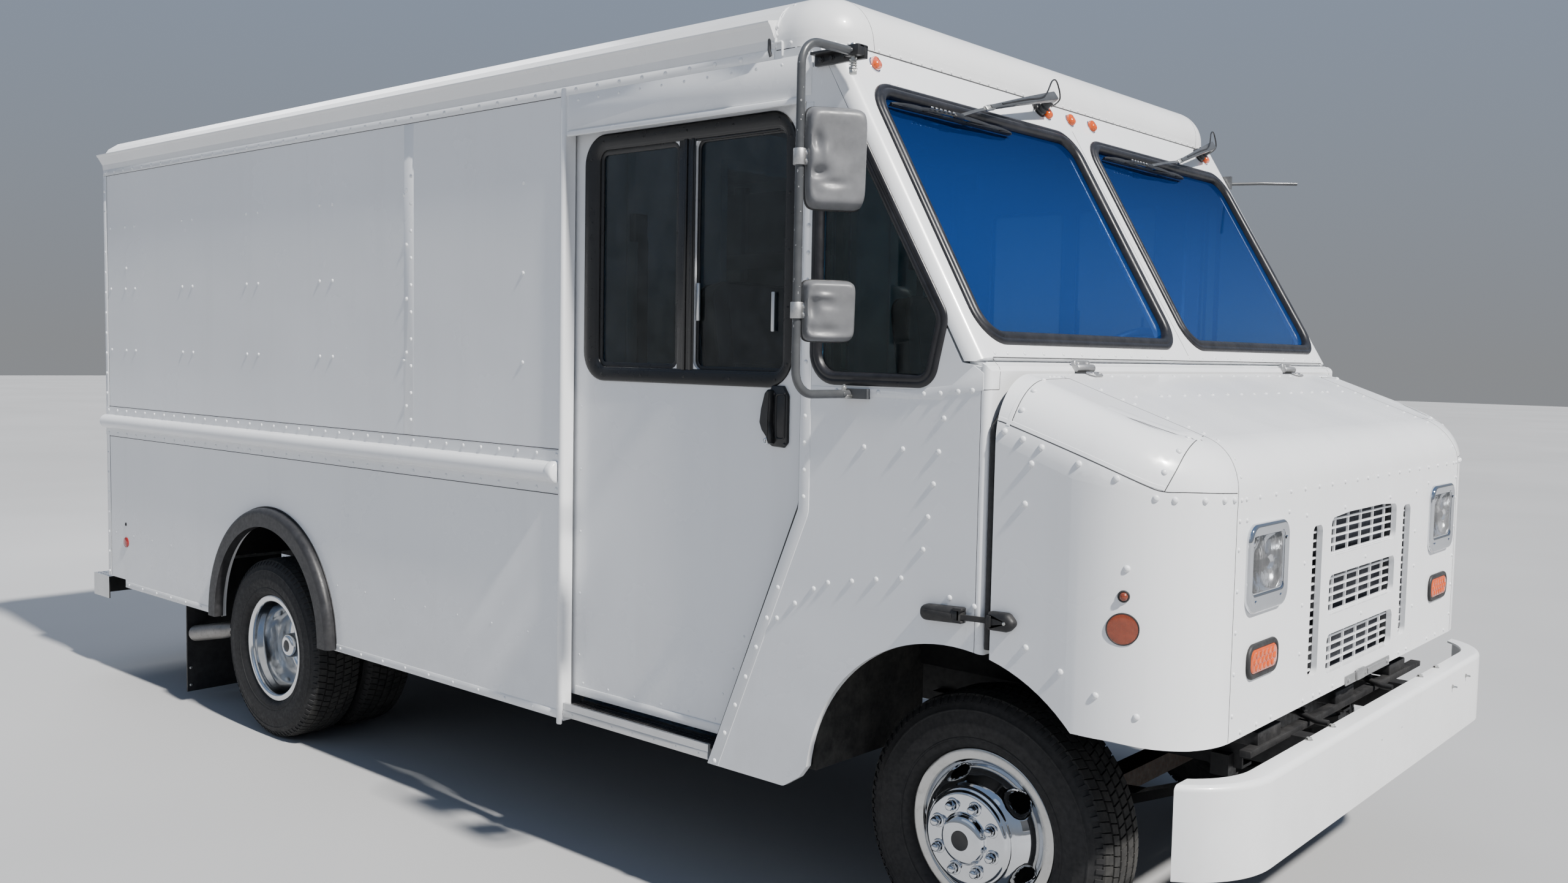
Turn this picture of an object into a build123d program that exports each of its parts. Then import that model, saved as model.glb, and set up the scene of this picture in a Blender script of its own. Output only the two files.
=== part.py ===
from build123d import *
import math
import os

# Walk-in step van, plain white riveted aluminium body on a ladder chassis.
# Millimetres.  +X forward, +Y left, +Z up.  Origin on the ground, at the middle of the
# bounding box's base.

# ---------------------------------------------------------------- driving dimensions
HALF_W = 1180.0          # body side, from the centre plane
T_SKIN = 20.0            # side wall with its posts
X_REAR = -2733.0         # rear face of the body
X_POST = 733.0           # front edge of the load-space side wall
X_DOOR_F = 1716.0        # front edge of the cab door opening
X_CAB = 2305.0           # front face of the cab below the windscreen
X_NOSE = 2328.0          # rear edge of the tilting nose
X_FASCIA = 2814.0        # flat front of the nose
X_BUMPER = 2912.0        # front face of the front bumper
X_STEP = -2912.0         # rear face of the rear bumper
Z_SKIRT = 442.0          # bottom edge of the body sides
Z_STRIP = 2440.0         # top of the riveted strip, where the roof begins
Z_LIP = 2515.0           # drip lip
Z_ROOF = 2588.0          # roof crown at the sides of the flat part
Y_LIP = 1212.0           # drip lip, from the centre plane
WS_BOTTOM = (2278.0, 1630.0)   # windscreen plane at the cowl seam (x, z)
WS_TOP = (1805.0, 2440.0)      # windscreen plane at the roof cap seam (x, z)
WS_RAKE = math.atan2(WS_BOTTOM[0] - WS_TOP[0], WS_TOP[1] - WS_BOTTOM[1])

PLATE = 177.8            # spacing of a number plate's two holes

# chassis
RAIL_Y = 432.0           # outer face of the frame rails
RAIL_Z0, RAIL_Z1 = 540.0, 700.0
FLOOR_Z0, FLOOR_Z1 = 700.0, 760.0
X_FLOOR = 640.0          # joint between load floor and cab floor, under the bulkhead

# wheels
TYRE_R = 371.0
TYRE_W = 223.0
RIM_R = 221.0            # over the rim lip
FRONT_X, REAR_X = 2156.0, -1135.0
FRONT_Y = 832.0          # centre plane of a front tyre
REAR_YO, REAR_YI = 1083.5, 843.5   # centre planes of the rear pair
KING_Y = 760.0           # king pin
SPINDLE_R = 30.0
AXLE_R = 42.0
RUN = 0.06               # radial running clearance

# wheel arches: centre x, centre z, radius
ARCH_F = (2213.0, 464.0, 455.0)
ARCH_R = (-1132.0, 455.0, 436.0)
FLARE_R = 500.0

# cab door, closed
DOOR_Y0, DOOR_Y1 = 1104.0, 1132.0
DOOR_Z0, DOOR_Z1 = 518.0, 2340.0
DOOR_X0 = 700.0
HEADER_Z = 2295.0
DOOR_BEND = 1216.0       # height where the opening's front edge turns rearward
X_DOOR_FOOT = 1390.0     # front edge of the opening at the skirt
X_SILL = 1386.0          # front end of the door sill
DOOR_WIN = (839.0, 1609.0, 1578.0, 2245.0)     # x0, x1, z0, z1 of the glazed opening
DOOR_BAR = (1193.0, 1257.0)                    # middle bar of the door window

# nose
NOSE_Z0 = 743.0
HOOD_Z = 1592.0          # hood height at the rear edge
HOOD_SLOPE = math.radians(20.0)
NOSE_RV, NOSE_RT = 280.0, 150.0    # vertical corners, top edges
T_NOSE = 15.0
SEAM_Y = 912.0           # seams between the middle and the side panels
SEAM_Z = 1322.0          # seam between hood and front panel


# ---------------------------------------------------------------- helpers
def box(x0, x1, y0, y1, z0, z1):
    x0, x1 = min(x0, x1), max(x0, x1)
    y0, y1 = min(y0, y1), max(y0, y1)
    z0, z1 = min(z0, z1), max(z0, z1)
    return Solid.make_box(x1 - x0, y1 - y0, z1 - z0, Plane(origin=(x0, y0, z0)))


def face_xz(pts, y=0.0, radii=None):
    """Closed face in an X-Z plane; radii gives one corner radius per point, or one for all."""
    vs = [Vector(px, y, pz) for px, pz in pts]
    f = Face(Wire.make_polygon(vs, close=True))
    if radii:
        rr = radii if isinstance(radii, (list, tuple)) else [radii] * len(pts)
        for r in sorted(set(rr)):
            if r:
                want = [v for v, rv in zip(vs, rr) if rv == r]
                near = [vx for vx in f.vertices()
                        if any((Vector(*tuple(vx)) - w).length < 1e-3 for w in want)]
                f = f.fillet_2d(r, near)
    return f


def slab_y(pts, y0, y1, radii=None):
    """Prism of an X-Z outline between two Y planes."""
    y0, y1 = min(y0, y1), max(y0, y1)
    return Solid.extrude(face_xz(pts, y0, radii), Vector(0, y1 - y0, 0))


def face_yz(pts, x=0.0, radii=None):
    vs = [Vector(x, py, pz) for py, pz in pts]
    f = Face(Wire.make_polygon(vs, close=True))
    if radii:
        f = f.fillet_2d(radii, f.vertices())
    return f


def slab_x(pts, x0, x1, radii=None):
    x0, x1 = min(x0, x1), max(x0, x1)
    return Solid.extrude(face_yz(pts, x0, radii), Vector(x1 - x0, 0, 0))


def slab_z(pts, z0, z1, radii=None):
    vs = [Vector(px, py, z0) for px, py in pts]
    f = Face(Wire.make_polygon(vs, close=True))
    if radii:
        rr = radii if isinstance(radii, (list, tuple)) else [radii] * len(pts)
        for r in sorted(set(rr)):
            if r:
                want = [v for v, rv in zip(vs, rr) if rv == r]
                near = [vx for vx in f.vertices()
                        if any((Vector(*tuple(vx)) - w).length < 1e-3 for w in want)]
                f = f.fillet_2d(r, near)
    return Solid.extrude(f, Vector(0, 0, z1 - z0))


def cyl_y(x, z, r, y0, y1):
    y0, y1 = min(y0, y1), max(y0, y1)
    return Solid.make_cylinder(r, y1 - y0, Plane(origin=(x, y0, z), z_dir=(0, 1, 0)))


def cyl_z(x, y, r, z0, z1):
    return Solid.make_cylinder(r, z1 - z0, Plane(origin=(x, y, z0)))


def cyl_x(y, z, r, x0, x1):
    return Solid.make_cylinder(r, x1 - x0, Plane(origin=(x0, y, z), z_dir=(1, 0, 0)))


def fuse(items):
    out = items[0]
    for it in items[1:]:
        out = out + it
    return out


def mirror_y(shape):
    return shape.mirror(Plane.XZ)


def both(shape):
    """A part and its mirror image, as separate solids of one node."""
    return Compound(children=[*solids_of(shape), *solids_of(mirror_y(shape))])


def solids_of(shape):
    return list(shape.solids())


def revolve_y(profile, y_sign=1.0, x=0.0, z=0.0):
    """Revolve an (r, y) outline about the Y axis through (x, z)."""
    vs = [Vector(x + r, y * y_sign, z) for r, y in profile]
    f = Face(Wire.make_polygon(vs, close=True))
    return Solid.revolve(f, 360, Axis((x, 0, z), (0, 1, 0)))


def ws_x(z):
    """x of the windscreen plane at height z."""
    return WS_BOTTOM[0] - (z - WS_BOTTOM[1]) * math.tan(WS_RAKE)


def slant(s, n, y):
    """Point on the windscreen plane: s up along it from the cowl seam, n inward, y across."""
    return Vector(WS_BOTTOM[0] - s * math.sin(WS_RAKE) - n * math.cos(WS_RAKE), y,
                  WS_BOTTOM[1] + s * math.cos(WS_RAKE) - n * math.sin(WS_RAKE))


def slant_slab(sy, n0, n1, radius=0.0):
    """Slab parallel to the windscreen from an outline of (s, y) points."""
    vs = [slant(s, n0, y) for s, y in sy]
    f = Face(Wire.make_polygon(vs, close=True))
    if radius:
        f = f.fillet_2d(radius, f.vertices())
    d = slant(0, n1, 0) - slant(0, n0, 0)
    return Solid.extrude(f, d)


def tube(points, r, bend):
    """Round bar along straight runs joined by tangent arcs."""
    path = FilletPolyline(*points, radius=bend)
    w = Wire(path.edges())
    start = w.position_at(0)
    prof = Face(Wire.make_circle(r, Plane(origin=start, z_dir=w.tangent_at(0))))
    return Solid.sweep(prof, w)


PARTS = {}


def put(name, shape):
    PARTS[name] = shape


# ---------------------------------------------------------------- chassis
# x of the middle, y, half length, height at the middle, height of the eyes
SPRINGS = ((FRONT_X, 430.0, 480.0, 362.5, 500.0), (REAR_X, 560.0, 600.0, 441.5, 560.0))


def ladder_frame():
    items = []
    for cx, y, half, lo, hi in SPRINGS:
        for s in (-1, 1):
            for e in (-1, 1):
                x = cx + e * (half - 25)
                items.append(box(x - 25, x + 25, s * (RAIL_Y - 20), s * (y + 35), hi + 20.5, max(RAIL_Z0 + 1, hi + 80)))
    for s in (-1, 1):
        rail = box(-2640, 2660, s * (RAIL_Y - 65), s * RAIL_Y, RAIL_Z0, RAIL_Z1)
        rail = rail - box(-2650, 2670, s * (RAIL_Y - 66), s * (RAIL_Y - 8), RAIL_Z0 + 8, RAIL_Z1 - 8)
        items.append(rail)
        # drop brackets that carry the bumpers
        items.append(box(2600, 2906, s * 372, s * 432, 570, 660))
        items.append(box(-2906, -2600, s * 372, s * 432, 392, 480))
        items.append(box(-2735, -2640, s * 372, s * 432, 392, 600))
    # cross members: x position, height range, depth
    for x, z0, z1, d in ((-2600, 550, 690, 60), (-1800, 560, 690, 60), (-640, 560, 690, 60),
                         (300, 560, 690, 60), (1150, 560, 690, 60), (2560, 545, 620, 80)):
        items.append(box(x - d / 2, x + d / 2, -RAIL_Y + 4, RAIL_Y - 4, z0, z1))
    return fuse(items)


def leaf_springs():
    out = []
    for cx, y, half, lo, hi in SPRINGS:
        pts = [(cx - half, hi), (cx - half * 0.45, lo + 22), (cx - 90, lo), (cx + 90, lo),
               (cx + half * 0.45, lo + 22), (cx + half, hi),
               (cx + half, hi + 20), (cx + half * 0.45, lo + 52), (cx + 90, lo + 42),
               (cx - 90, lo + 42), (cx - half * 0.45, lo + 52), (cx - half, hi + 20)]
        for s in (-1, 1):
            out.append(slab_y(pts, s * (y - 35), s * (y + 35)))
    return Compound(children=out)


def front_axle():
    # dropped beam with a king pin boss at each end
    beam = slab_y([(FRONT_X - 38, 300), (FRONT_X + 38, 300), (FRONT_X + 38, 362), (FRONT_X - 38, 362)],
                  -640, 640)
    items = [beam]
    for s in (-1, 1):
        items.append(slab_x([(s * 600, 300), (s * 625, 300), (s * 690, 337), (s * 735, 337), (s * 735, 400),
                             (s * 690, 400), (s * 600, 362)], FRONT_X - 38, FRONT_X + 38))
        items.append(cyl_z(FRONT_X, s * KING_Y, 36, 335, 407))
    body = fuse(items)
    for s in (-1, 1):
        body = body - cyl_z(FRONT_X, s * KING_Y, 16 + RUN, 300, 440)
    return body


def knuckle(s):
    """Fork round the king pin boss, with the wheel spindle."""
    up = slab_z([(FRONT_X - 40, s * 725), (FRONT_X + 40, s * 725), (FRONT_X + 40, s * 830),
                 (FRONT_X - 40, s * 830)], 407.5, 437.5)
    lo = slab_z([(FRONT_X - 40, s * 725), (FRONT_X + 40, s * 725), (FRONT_X + 40, s * 830),
                 (FRONT_X - 40, s * 830)], 304.5, 334.5)
    web = box(FRONT_X - 40, FRONT_X + 40, s * 802, s * 830, 304.5, 437.5)
    pin = cyl_z(FRONT_X, s * KING_Y, 16, 320, 430)
    spin = cyl_y(FRONT_X, TYRE_R, SPINDLE_R, s * 820, s * 985)
    return fuse([up, lo, web, pin, spin])


def rear_axle():
    tube_ = cyl_y(REAR_X, TYRE_R, AXLE_R, -1040, 1040)
    items = [tube_]
    items.append(cyl_y(REAR_X, TYRE_R, 62, -700, 700))
    # differential housing
    diff = Solid.make_sphere(165, Plane(origin=(REAR_X, 0, TYRE_R)), -90, 90, 360)
    items.append(diff)
    items.append(cyl_x(0, TYRE_R + 20, 60, REAR_X + 120, REAR_X + 260))
    # propeller shaft up to the gearbox
    x0, z0, x1, z1 = REAR_X + 240, TYRE_R + 22, 1190.0, 470.0
    L = math.hypot(x1 - x0, z1 - z0)
    items.append(Solid.make_cylinder(38, L, Plane(origin=(x0, 0, z0), z_dir=(x1 - x0, 0, z1 - z0))))
    # spring seats
    for s in (-1, 1):
        items.append(box(REAR_X - 70, REAR_X + 70, s * 525, s * 595, TYRE_R - 30, 441))
        # brake back plate
        items.append(cyl_y(REAR_X, TYRE_R, 150, s * 700, s * 725))
    return fuse(items)


def wheel_profile_front():
    """Steel disc wheel, (radius, distance out from the tyre's centre plane)."""
    b = SPINDLE_R + RUN
    return [(b, 30), (b, 186), (46, 196), (58, 190), (62, 176), (110, 172), (118, 160), (150, 138),
            (176, 96), (186, 70), (192, 74), (196, 88), (RIM_R, 88), (RIM_R, 76), (206, 72), (203, 40),
            (190, 14), (190, -30), (203, -55), (206, -76), (RIM_R, -80), (RIM_R, -88), (198, -88),
            (194, -56), (181, -34), (181, 10), (174, 50), (164, 88), (142, 124), (112, 146), (100, 150),
            (70, 140), (60, 120), (60, 30)]


def wheel_profile_rear():
    """Twin steel wheels bolted back to back, out from the middle between the tyres."""
    o = REAR_YO - (REAR_YO + REAR_YI) / 2          # half the spacing of the pair
    return [(AXLE_R + RUN, -70), (AXLE_R + RUN, 140), (48, 152), (56, 146), (60, 60), (92, 40), (100, 12),
            (150, 6), (165, 4), (176, 24), (181, o - 34), (181, o + 34), (194, o + 56), (197, o + 88), (RIM_R, o + 88),
            (RIM_R, o + 78), (206, o + 74), (203, o + 55), (190, o + 34), (190, o - 34),
            (203, o - 55), (206, o - 76), (RIM_R, o - 80), (RIM_R, o - 88), (198, o - 90), (192, 8),
            (192, -8), (198, -o + 90), (RIM_R, -o + 88), (RIM_R, -o + 80), (206, -o + 76),
            (203, -o + 55), (190, -o + 34), (190, -o - 34), (203, -o - 55), (206, -o - 74),
            (RIM_R, -o - 78), (RIM_R, -o - 88), (197, -o - 88), (194, -o - 56), (181, -o - 34),
            (181, -o + 34), (176, -24), (165, -14), (150, -12), (100, -14), (95, -70)]


def tyre_profile(c):
    """(radius, y) of a tyre whose centre plane is at y = c."""
    h = TYRE_W / 2
    rb = 207.0
    return [(rb, c - 71), (RIM_R + 0.7, c - 75), (RIM_R + 0.7, c - 90), (RIM_R + 22, c - 104), (290, c - h), (330, c - h + 6),
            (358, c - h + 20), (TYRE_R, c - h + 40), (TYRE_R, c + h - 40), (358, c + h - 20),
            (330, c + h - 6), (290, c + h), (RIM_R + 22, c + 104), (RIM_R + 0.7, c + 90), (RIM_R + 0.7, c + 75), (rb, c + 71),
            (rb, c + 40), (235, c + 60), (300, c + 88), (345, c + 66), (345, c - 66), (300, c - 88),
            (235, c - 60), (rb, c - 40)]


# ---------------------------------------------------------------- body shell
def side_wall(s):
    pts = [(X_REAR, 480), (-2541, 480), (-2541, Z_SKIRT), (X_POST, Z_SKIRT), (X_POST, Z_STRIP),
           (X_REAR, Z_STRIP)]
    wall = slab_y(pts, s * (HALF_W - T_SKIN), s * HALF_W)
    post = box(X_POST - 14, X_POST, s * 1142, s * (HALF_W - 5), Z_SKIRT - 6, Z_STRIP)
    wall = wall + post
    wall = wall - cyl_y(ARCH_R[0], ARCH_R[1], ARCH_R[2], s * 1100, s * 1200)
    return wall


def rub_rails():
    out = []
    x0, x1 = X_REAR, X_POST - 12
    for s in (-1, 1):
        flange = slab_y([(x0, 1172), (x1, 1172), (x1, 1306), (x0, 1306)], s * HALF_W, s * (HALF_W + 3),
                        [0, 9, 9, 0])
        # half round bar on the flange
        bar = cyl_x(0, 0, 34, x0, x1 - 14) & box(x0, x1, -40, 0, -40, 40)
        bar = bar.translate(Vector(0, -(HALF_W), 1237))
        if s > 0:
            bar = mirror_y(bar)
        out.append(flange + bar)
    return Compound(children=[q for o in out for q in solids_of(o)])


def roof_section(x0, x1):
    """Roof panel with a cove and drip lip down each side."""
    y, z = HALF_W, Z_STRIP
    outer = [(-y, z), (-y - 4, z + 30), (-Y_LIP + 8, Z_LIP - 12), (-Y_LIP, Z_LIP - 4), (-Y_LIP, Z_LIP),
             (-y + 8, Z_LIP + 8), (-y + 26, Z_LIP + 34), (-y + 70, Z_ROOF - 8), (-y + 130, Z_ROOF)]
    crown = [(-620, Z_ROOF + 10)]
    left = [(-a, b) for a, b in reversed(outer + crown)]
    inner = [(y - T_SKIN, z), (y - T_SKIN, z + 55), (y - 90, Z_ROOF - 34), (y - 140, Z_ROOF - 25),
             (620, Z_ROOF - 15)]
    inner_l = [(-a, b) for a, b in reversed(inner)]
    pts = outer + crown + left + inner + inner_l
    return slab_x(pts, x0, x1)


def cap_solid(inset):
    """Rounded block of the roof's front cap, shrunk by inset."""
    xf = WS_TOP[0] + 2 - inset
    y = HALF_W - inset
    z1 = Z_ROOF + 4 - inset
    b = box(1604 if inset == 0 else 1590, xf, -y, y, Z_STRIP - (0 if inset == 0 else 20), z1)
    vert = [e for e in b.edges().filter_by(Axis.Z) if abs(e.center().X - xf) < 1]
    b = b.fillet(150 - inset, vert)
    top = [e for e in b.edges() if abs(e.center().Z - z1) < 1 and e.center().X > 1610]
    return b.fillet(125 - inset, top)


def roof_front_cap():
    return cap_solid(0) - cap_solid(T_SKIN)


REAR_OPEN = (764.0, 760.0, 2330.0)     # half width, sill, head of the rear doorway


def rear_frame():
    y = HALF_W - T_SKIN
    pts = [(y, 480), (y, Z_STRIP + 54), (HALF_W - 91, Z_ROOF - 35.5), (HALF_W - 141, Z_ROOF - 26.5),
           (620, Z_ROOF - 16.5)]
    f = slab_x(pts + [(-a, b) for a, b in reversed(pts)], X_REAR, X_REAR + 34)
    f = f - box(X_REAR - 5, X_REAR + 60, -REAR_OPEN[0], REAR_OPEN[0], REAR_OPEN[1], REAR_OPEN[2])
    f = f - box(X_REAR - 5, X_REAR + 60, -440, 440, 470, 700)
    return f


def cab_side(s):
    pts = [(X_POST, HEADER_Z), (X_DOOR_F, HEADER_Z), (X_DOOR_F, DOOR_BEND), (X_DOOR_FOOT, 444),
           (1680, 444), (1735, 480), (1900, 700), (X_CAB - 22, 860), (X_CAB - 22, 1606),
           (WS_BOTTOM[0] - 51.4, 1617), (WS_TOP[0] - 51.4, Z_STRIP), (X_POST, Z_STRIP)]
    p = slab_y(pts, s * (HALF_W - T_SKIN), s * HALF_W, [0, 0, 60, 0, 20, 0, 0, 0, 0, 0, 0, 0])
    arch = cyl_y(ARCH_F[0], ARCH_F[1], ARCH_F[2], s * 1100, s * 1200)
    p = p - arch
    # quarter window
    q = [(1772, 1577), (2124, 1577), (2158, 1724), (1892, 2170), (1860, 2236), (1772, 2236)]
    win = slab_y(q, s * 1100, s * 1200, [60, 34, 45, 0, 40, 40])
    return p - win


def quarter_glass(s):
    q = [(1773, 1578), (2123.3, 1578), (2156.9, 1723.6), (1891, 2169.5), (1859.3, 2235), (1773, 2235)]
    return slab_y(q, s * 1166, s * 1172, [59, 33, 44, 0, 39, 39])


def ws_panes():
    """Outlines of the two windscreen openings in (s, y)."""
    s0, s1 = 68.0, 800.0
    return [[(s0, 66), (s1, 66), (s1, 1088), (s0, 1100)], [(s0, -1100), (s1, -1088), (s1, -66), (s0, -66)]]


def windshield_frame():
    L = (WS_TOP[1] - WS_BOTTOM[1]) / math.cos(WS_RAKE)
    f = slant_slab([(0, -HALF_W), (L, -HALF_W), (L, HALF_W), (0, HALF_W)], 0, 44)
    edges = [e for e in f.edges() if abs(abs(e.center().Y) - HALF_W) < 1
             and (e.center() - slant(L / 2, 0, e.center().Y)).length < 60 and e.length > 300
             and abs((e.center() - slant(L / 2, 0, e.center().Y)).Z) < 5]
    f = f.fillet(40, edges)
    for o in ws_panes():
        f = f - slant_slab(o, -20, 80, 70)
    # level top under the roof cap and level foot on the cowl
    f = f & box(1500, 2400, -1300, 1300, WS_BOTTOM[1] - 10, WS_TOP[1])
    return f


def cab_glass():
    out = []
    for o in ws_panes():
        cy = sum(p[1] for p in o) / 4
        small = [(sv + (1.0 if sv < 400 else -1.0), yv + (-1.0 if yv > cy else 1.0)) for sv, yv in o]
        out.append(slant_slab(small, 10, 16, 69))
    for s in (-1, 1):
        out.append(quarter_glass(s))
    return Compound(children=out)


def cowl():
    """Cab front below the windscreen, with the scuttle shelf."""
    y = HALF_W
    pts = [(X_CAB - 20, 700), (X_CAB, 700), (X_CAB, 1598), (2296, 1610), (WS_BOTTOM[0] + 2, WS_BOTTOM[1] - 11),
           (2236, WS_BOTTOM[1] - 11), (2236, 1600), (X_CAB - 20, 1575)]
    p = slab_y(pts, -y, y)
    ed = [e for e in p.edges() if abs(e.center().X - X_CAB) < 1 and abs(abs(e.center().Y) - y) < 1 and e.length > 400]
    p = p.fillet(16, ed)
    for s in (-1, 1):
        p = p - box(2100, X_CAB - 20.5, s * 1159, s * 1300, 600, 1700)
        p = p - box(X_CAB - 60, X_CAB + 20, s * 600, s * 1300, 600, 905)
        p = p - cyl_y(ARCH_F[0], ARCH_F[1], ARCH_F[2], s * 600, s * 1300)
    # engine opening under the inner cover
    p = p - box(X_CAB - 40, X_CAB + 20, -360, 360, 600, 1190)
    return p


def cargo_floor():
    items = [box(X_REAR + 34, X_FLOOR, -1095, 1095, FLOOR_Z0, FLOOR_Z1)]
    for s in (-1, 1):
        items.append(box(X_REAR + 34, -260, s * 1090, s * (HALF_W - T_SKIN), FLOOR_Z0, FLOOR_Z1))
        items.append(box(REAR_X - 450, REAR_X + 470, s * 672, s * (HALF_W - T_SKIN), FLOOR_Z0, 880))
    f = fuse(items)
    for s in (-1, 1):
        f = f - box(REAR_X - 438, REAR_X + 458, s * 684, s * (HALF_W - T_SKIN + 5), 600, 868)
    return f


def cab_floor():
    x0, x1 = X_POST - 60, X_CAB - 20
    items = [box(X_FLOOR + 0.5, x0 + 10, -1095, 1095, FLOOR_Z0, FLOOR_Z1), box(x0, 1726, -860, 860, FLOOR_Z0, FLOOR_Z1), box(1700, x1, -605, 605, FLOOR_Z0, FLOOR_Z1)]
    for s in (-1, 1):
        # step well: tray, riser, ends
        items.append(box(x0 + 70, 1726, s * 850, s * 1095, 478, 492))
        items.append(box(x0 + 70, 1726, s * 848, s * 860, 478, FLOOR_Z1))
        items.append(box(x0 + 58, x0 + 70, s * 848, s * 1095, 478, FLOOR_Z1))
        items.append(box(x0, x0 + 70, s * 848, s * 1095, FLOOR_Z0, FLOOR_Z1))
        # front wheel housing: rear wall, roof, inner wall
        items.append(box(1714, 1726, s * 590, s * 1095, 478, 960))
        items.append(box(1714, x1, s * 590, s * 1095, 948, 960))
        items.append(box(1760, x1, s * 1090, s * (HALF_W - T_SKIN), 948, 960))
        items.append(box(1714, x1, s * 590, s * 605, FLOOR_Z0, 960))
    f = fuse(items)
    # hole for the engine
    f = f - box(1660, x1 + 5, -380, 380, 690, 780)
    return f


def door_sills():
    p = box(X_POST + 2, X_SILL, -1176, -1097, 452, 480)
    lip = box(X_POST + 2, X_SILL, -1176, -1166, 478, 496)
    return both(p + lip)


def bulkhead():
    p = box(X_POST - 92, X_POST - 64, -1095, 1095, FLOOR_Z1, Z_STRIP)
    return p - box(600, 760, -380, 380, FLOOR_Z1 + 10, 2290)


def engine_cover():
    pts = [(1600, 760), (1600, 1130), (1720, 1230), (X_CAB - 20, 1230), (X_CAB - 20, 760)]
    inner = [(1614, 700), (1614, 1124), (1726, 1216), (X_CAB + 10, 1216), (X_CAB + 10, 700)]
    return slab_y(pts, -398, 398, [0, 40, 60, 0, 0]) - slab_y(inner, -384, 384)


def dashboard():
    pts = [(X_CAB - 20, 1232), (2130, 1232), (2040, 1300), (1995, 1480), (2030, 1520), (2236, 1585),
           (X_CAB - 20, 1560)]
    return slab_y(pts, -1095, 1095, [0, 0, 20, 20, 20, 0, 0])


def engine():
    b = box(1690, 2560, -290, 290, 625, 1170)
    g = cyl_x(0, 560, 120, 1240, 1690) + box(1240, 1700, -130, 130, 470, 625)
    b = b + g
    return b


def radiator():
    return box(2640, 2700, -350, 350, 720, 1280)


SEATS = ((1, 500.0), (-1, -560.0))


def seat_cushions():
    out = []
    for _, y in SEATS:
        cush = slab_y([(1035, 1120), (1500, 1140), (1505, 1225), (1480, 1245), (1080, 1215), (1035, 1200)],
                      y - 245, y + 245, 18)
        back = slab_y([(1030, 1222), (1078, 1222), (1010, 1850), (975, 1880), (905, 1870), (905, 1840)],
                      y - 235, y + 235, 12)
        out += [cush, back]
    return Compound(children=out)


def seat_bases():
    out = []
    for _, y in SEATS:
        out.append(fuse([box(1120, 1400, y - 150, y + 150, FLOOR_Z1, 1085),
                         box(1050, 1480, y - 210, y + 210, 1085, 1112)]))
    return Compound(children=out)


WHEEL_C = (1700.0, 500.0, 1590.0)      # centre of the steering wheel's rim
WHEEL_TILT = math.radians(38)          # its plane from level


def steering_wheel():
    n = Vector(-math.sin(WHEEL_TILT), 0, math.cos(WHEEL_TILT))
    pl = Plane(origin=WHEEL_C, z_dir=n)
    rim = Solid.make_torus(225, 15, pl)
    hub = Solid.make_cylinder(62, 40, Plane(origin=Vector(*WHEEL_C) - n * 50, z_dir=n))
    d = Vector(math.sin(WHEEL_TILT), 0, -math.cos(WHEEL_TILT))
    col = Solid.make_cylinder(32, 560, Plane(origin=Vector(*WHEEL_C) - n * 30, z_dir=d))
    items = [rim, hub, col]
    for k in range(3):
        a = math.radians(90 + 120 * k)
        xd = pl.x_dir * math.cos(a) + pl.y_dir * math.sin(a)
        base = Vector(*WHEEL_C) - n * 22
        end = Vector(*WHEEL_C) + xd * 222
        L = (end - base).length
        items.append(Solid.make_cylinder(11, L, Plane(origin=base, z_dir=(end - base))))
    return fuse(items)


# ---------------------------------------------------------------- bumpers, tank, exhaust
def plan_outline(xf, yh, r, z0, z1):
    return slab_z([(2500, -yh), (xf, -yh), (xf, yh), (2500, yh)], z0, z1, [0, r, r, 0])


def front_bumper():
    z0, z1 = 463.0, 683.0
    xf, yh, r = X_BUMPER, 1150.0, 275.0
    outer = plan_outline(xf, yh, r, z0, z1)
    top = [e for e in outer.edges() if abs(e.center().Z - z1) < 1 and e.center().X > 2600]
    outer = outer.fillet(14, top)
    inner = plan_outline(xf - 6, yh - 6, r - 6, z0 + 6, z1 - 6)
    top_i = [e for e in inner.edges() if abs(e.center().Z - (z1 - 6)) < 1 and e.center().X > 2600]
    inner = inner.fillet(8, top_i)
    hollow = plan_outline(xf - 55, yh - 55, r - 55, z0 - 10, z1 + 10)
    b = outer - inner - hollow
    b = b & box(2777, 3000, -1300, 1300, 400, 800)
    for s in (-1, 1):
        b = b - cyl_x(s * PLATE / 2, 600, 3.5, 2850, 2950)
    return b


def rear_bumper():
    z0, z1 = 362.0, 470.0
    b = box(X_STEP, X_REAR - 2, -HALF_W, HALF_W, z0, z1)
    b = b - box(X_STEP + 6, X_REAR + 5, -HALF_W + 6, HALF_W - 6, z0 - 5, z1 - 6)
    for s in (-1, 1):
        b = b - box(-2906, -2700, s * 371, s * 433, 391, 481)
    return b


def fuel_tank():
    t = box(-440, 320, 470, 900, 410, 650)
    t = t.fillet(50, t.edges().filter_by(Axis.X))
    for x in (-300, 180):
        t = t + box(x - 20, x + 20, 440, 470, 560, 640)
        t = t + box(x - 20, x + 20, 433, 475, 560, 640)
    return t


def exhaust():
    pipe = tube([(1660, -250, 600), (1560, -296, 440), (1000, -300, 430), (-640, -300, 430), (-900, -310, 505),
                 (-1390, -310, 505), (-1620, -330, 465), (-1640, -700, 410), (-1610, -1118, 368), (-1935, -1120, 303)],
                36, 84)
    muff = Solid.make_cylinder(95, 700, Plane(origin=(100, -300, 430), z_dir=(1, 0, 0)))
    return pipe + muff


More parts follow.
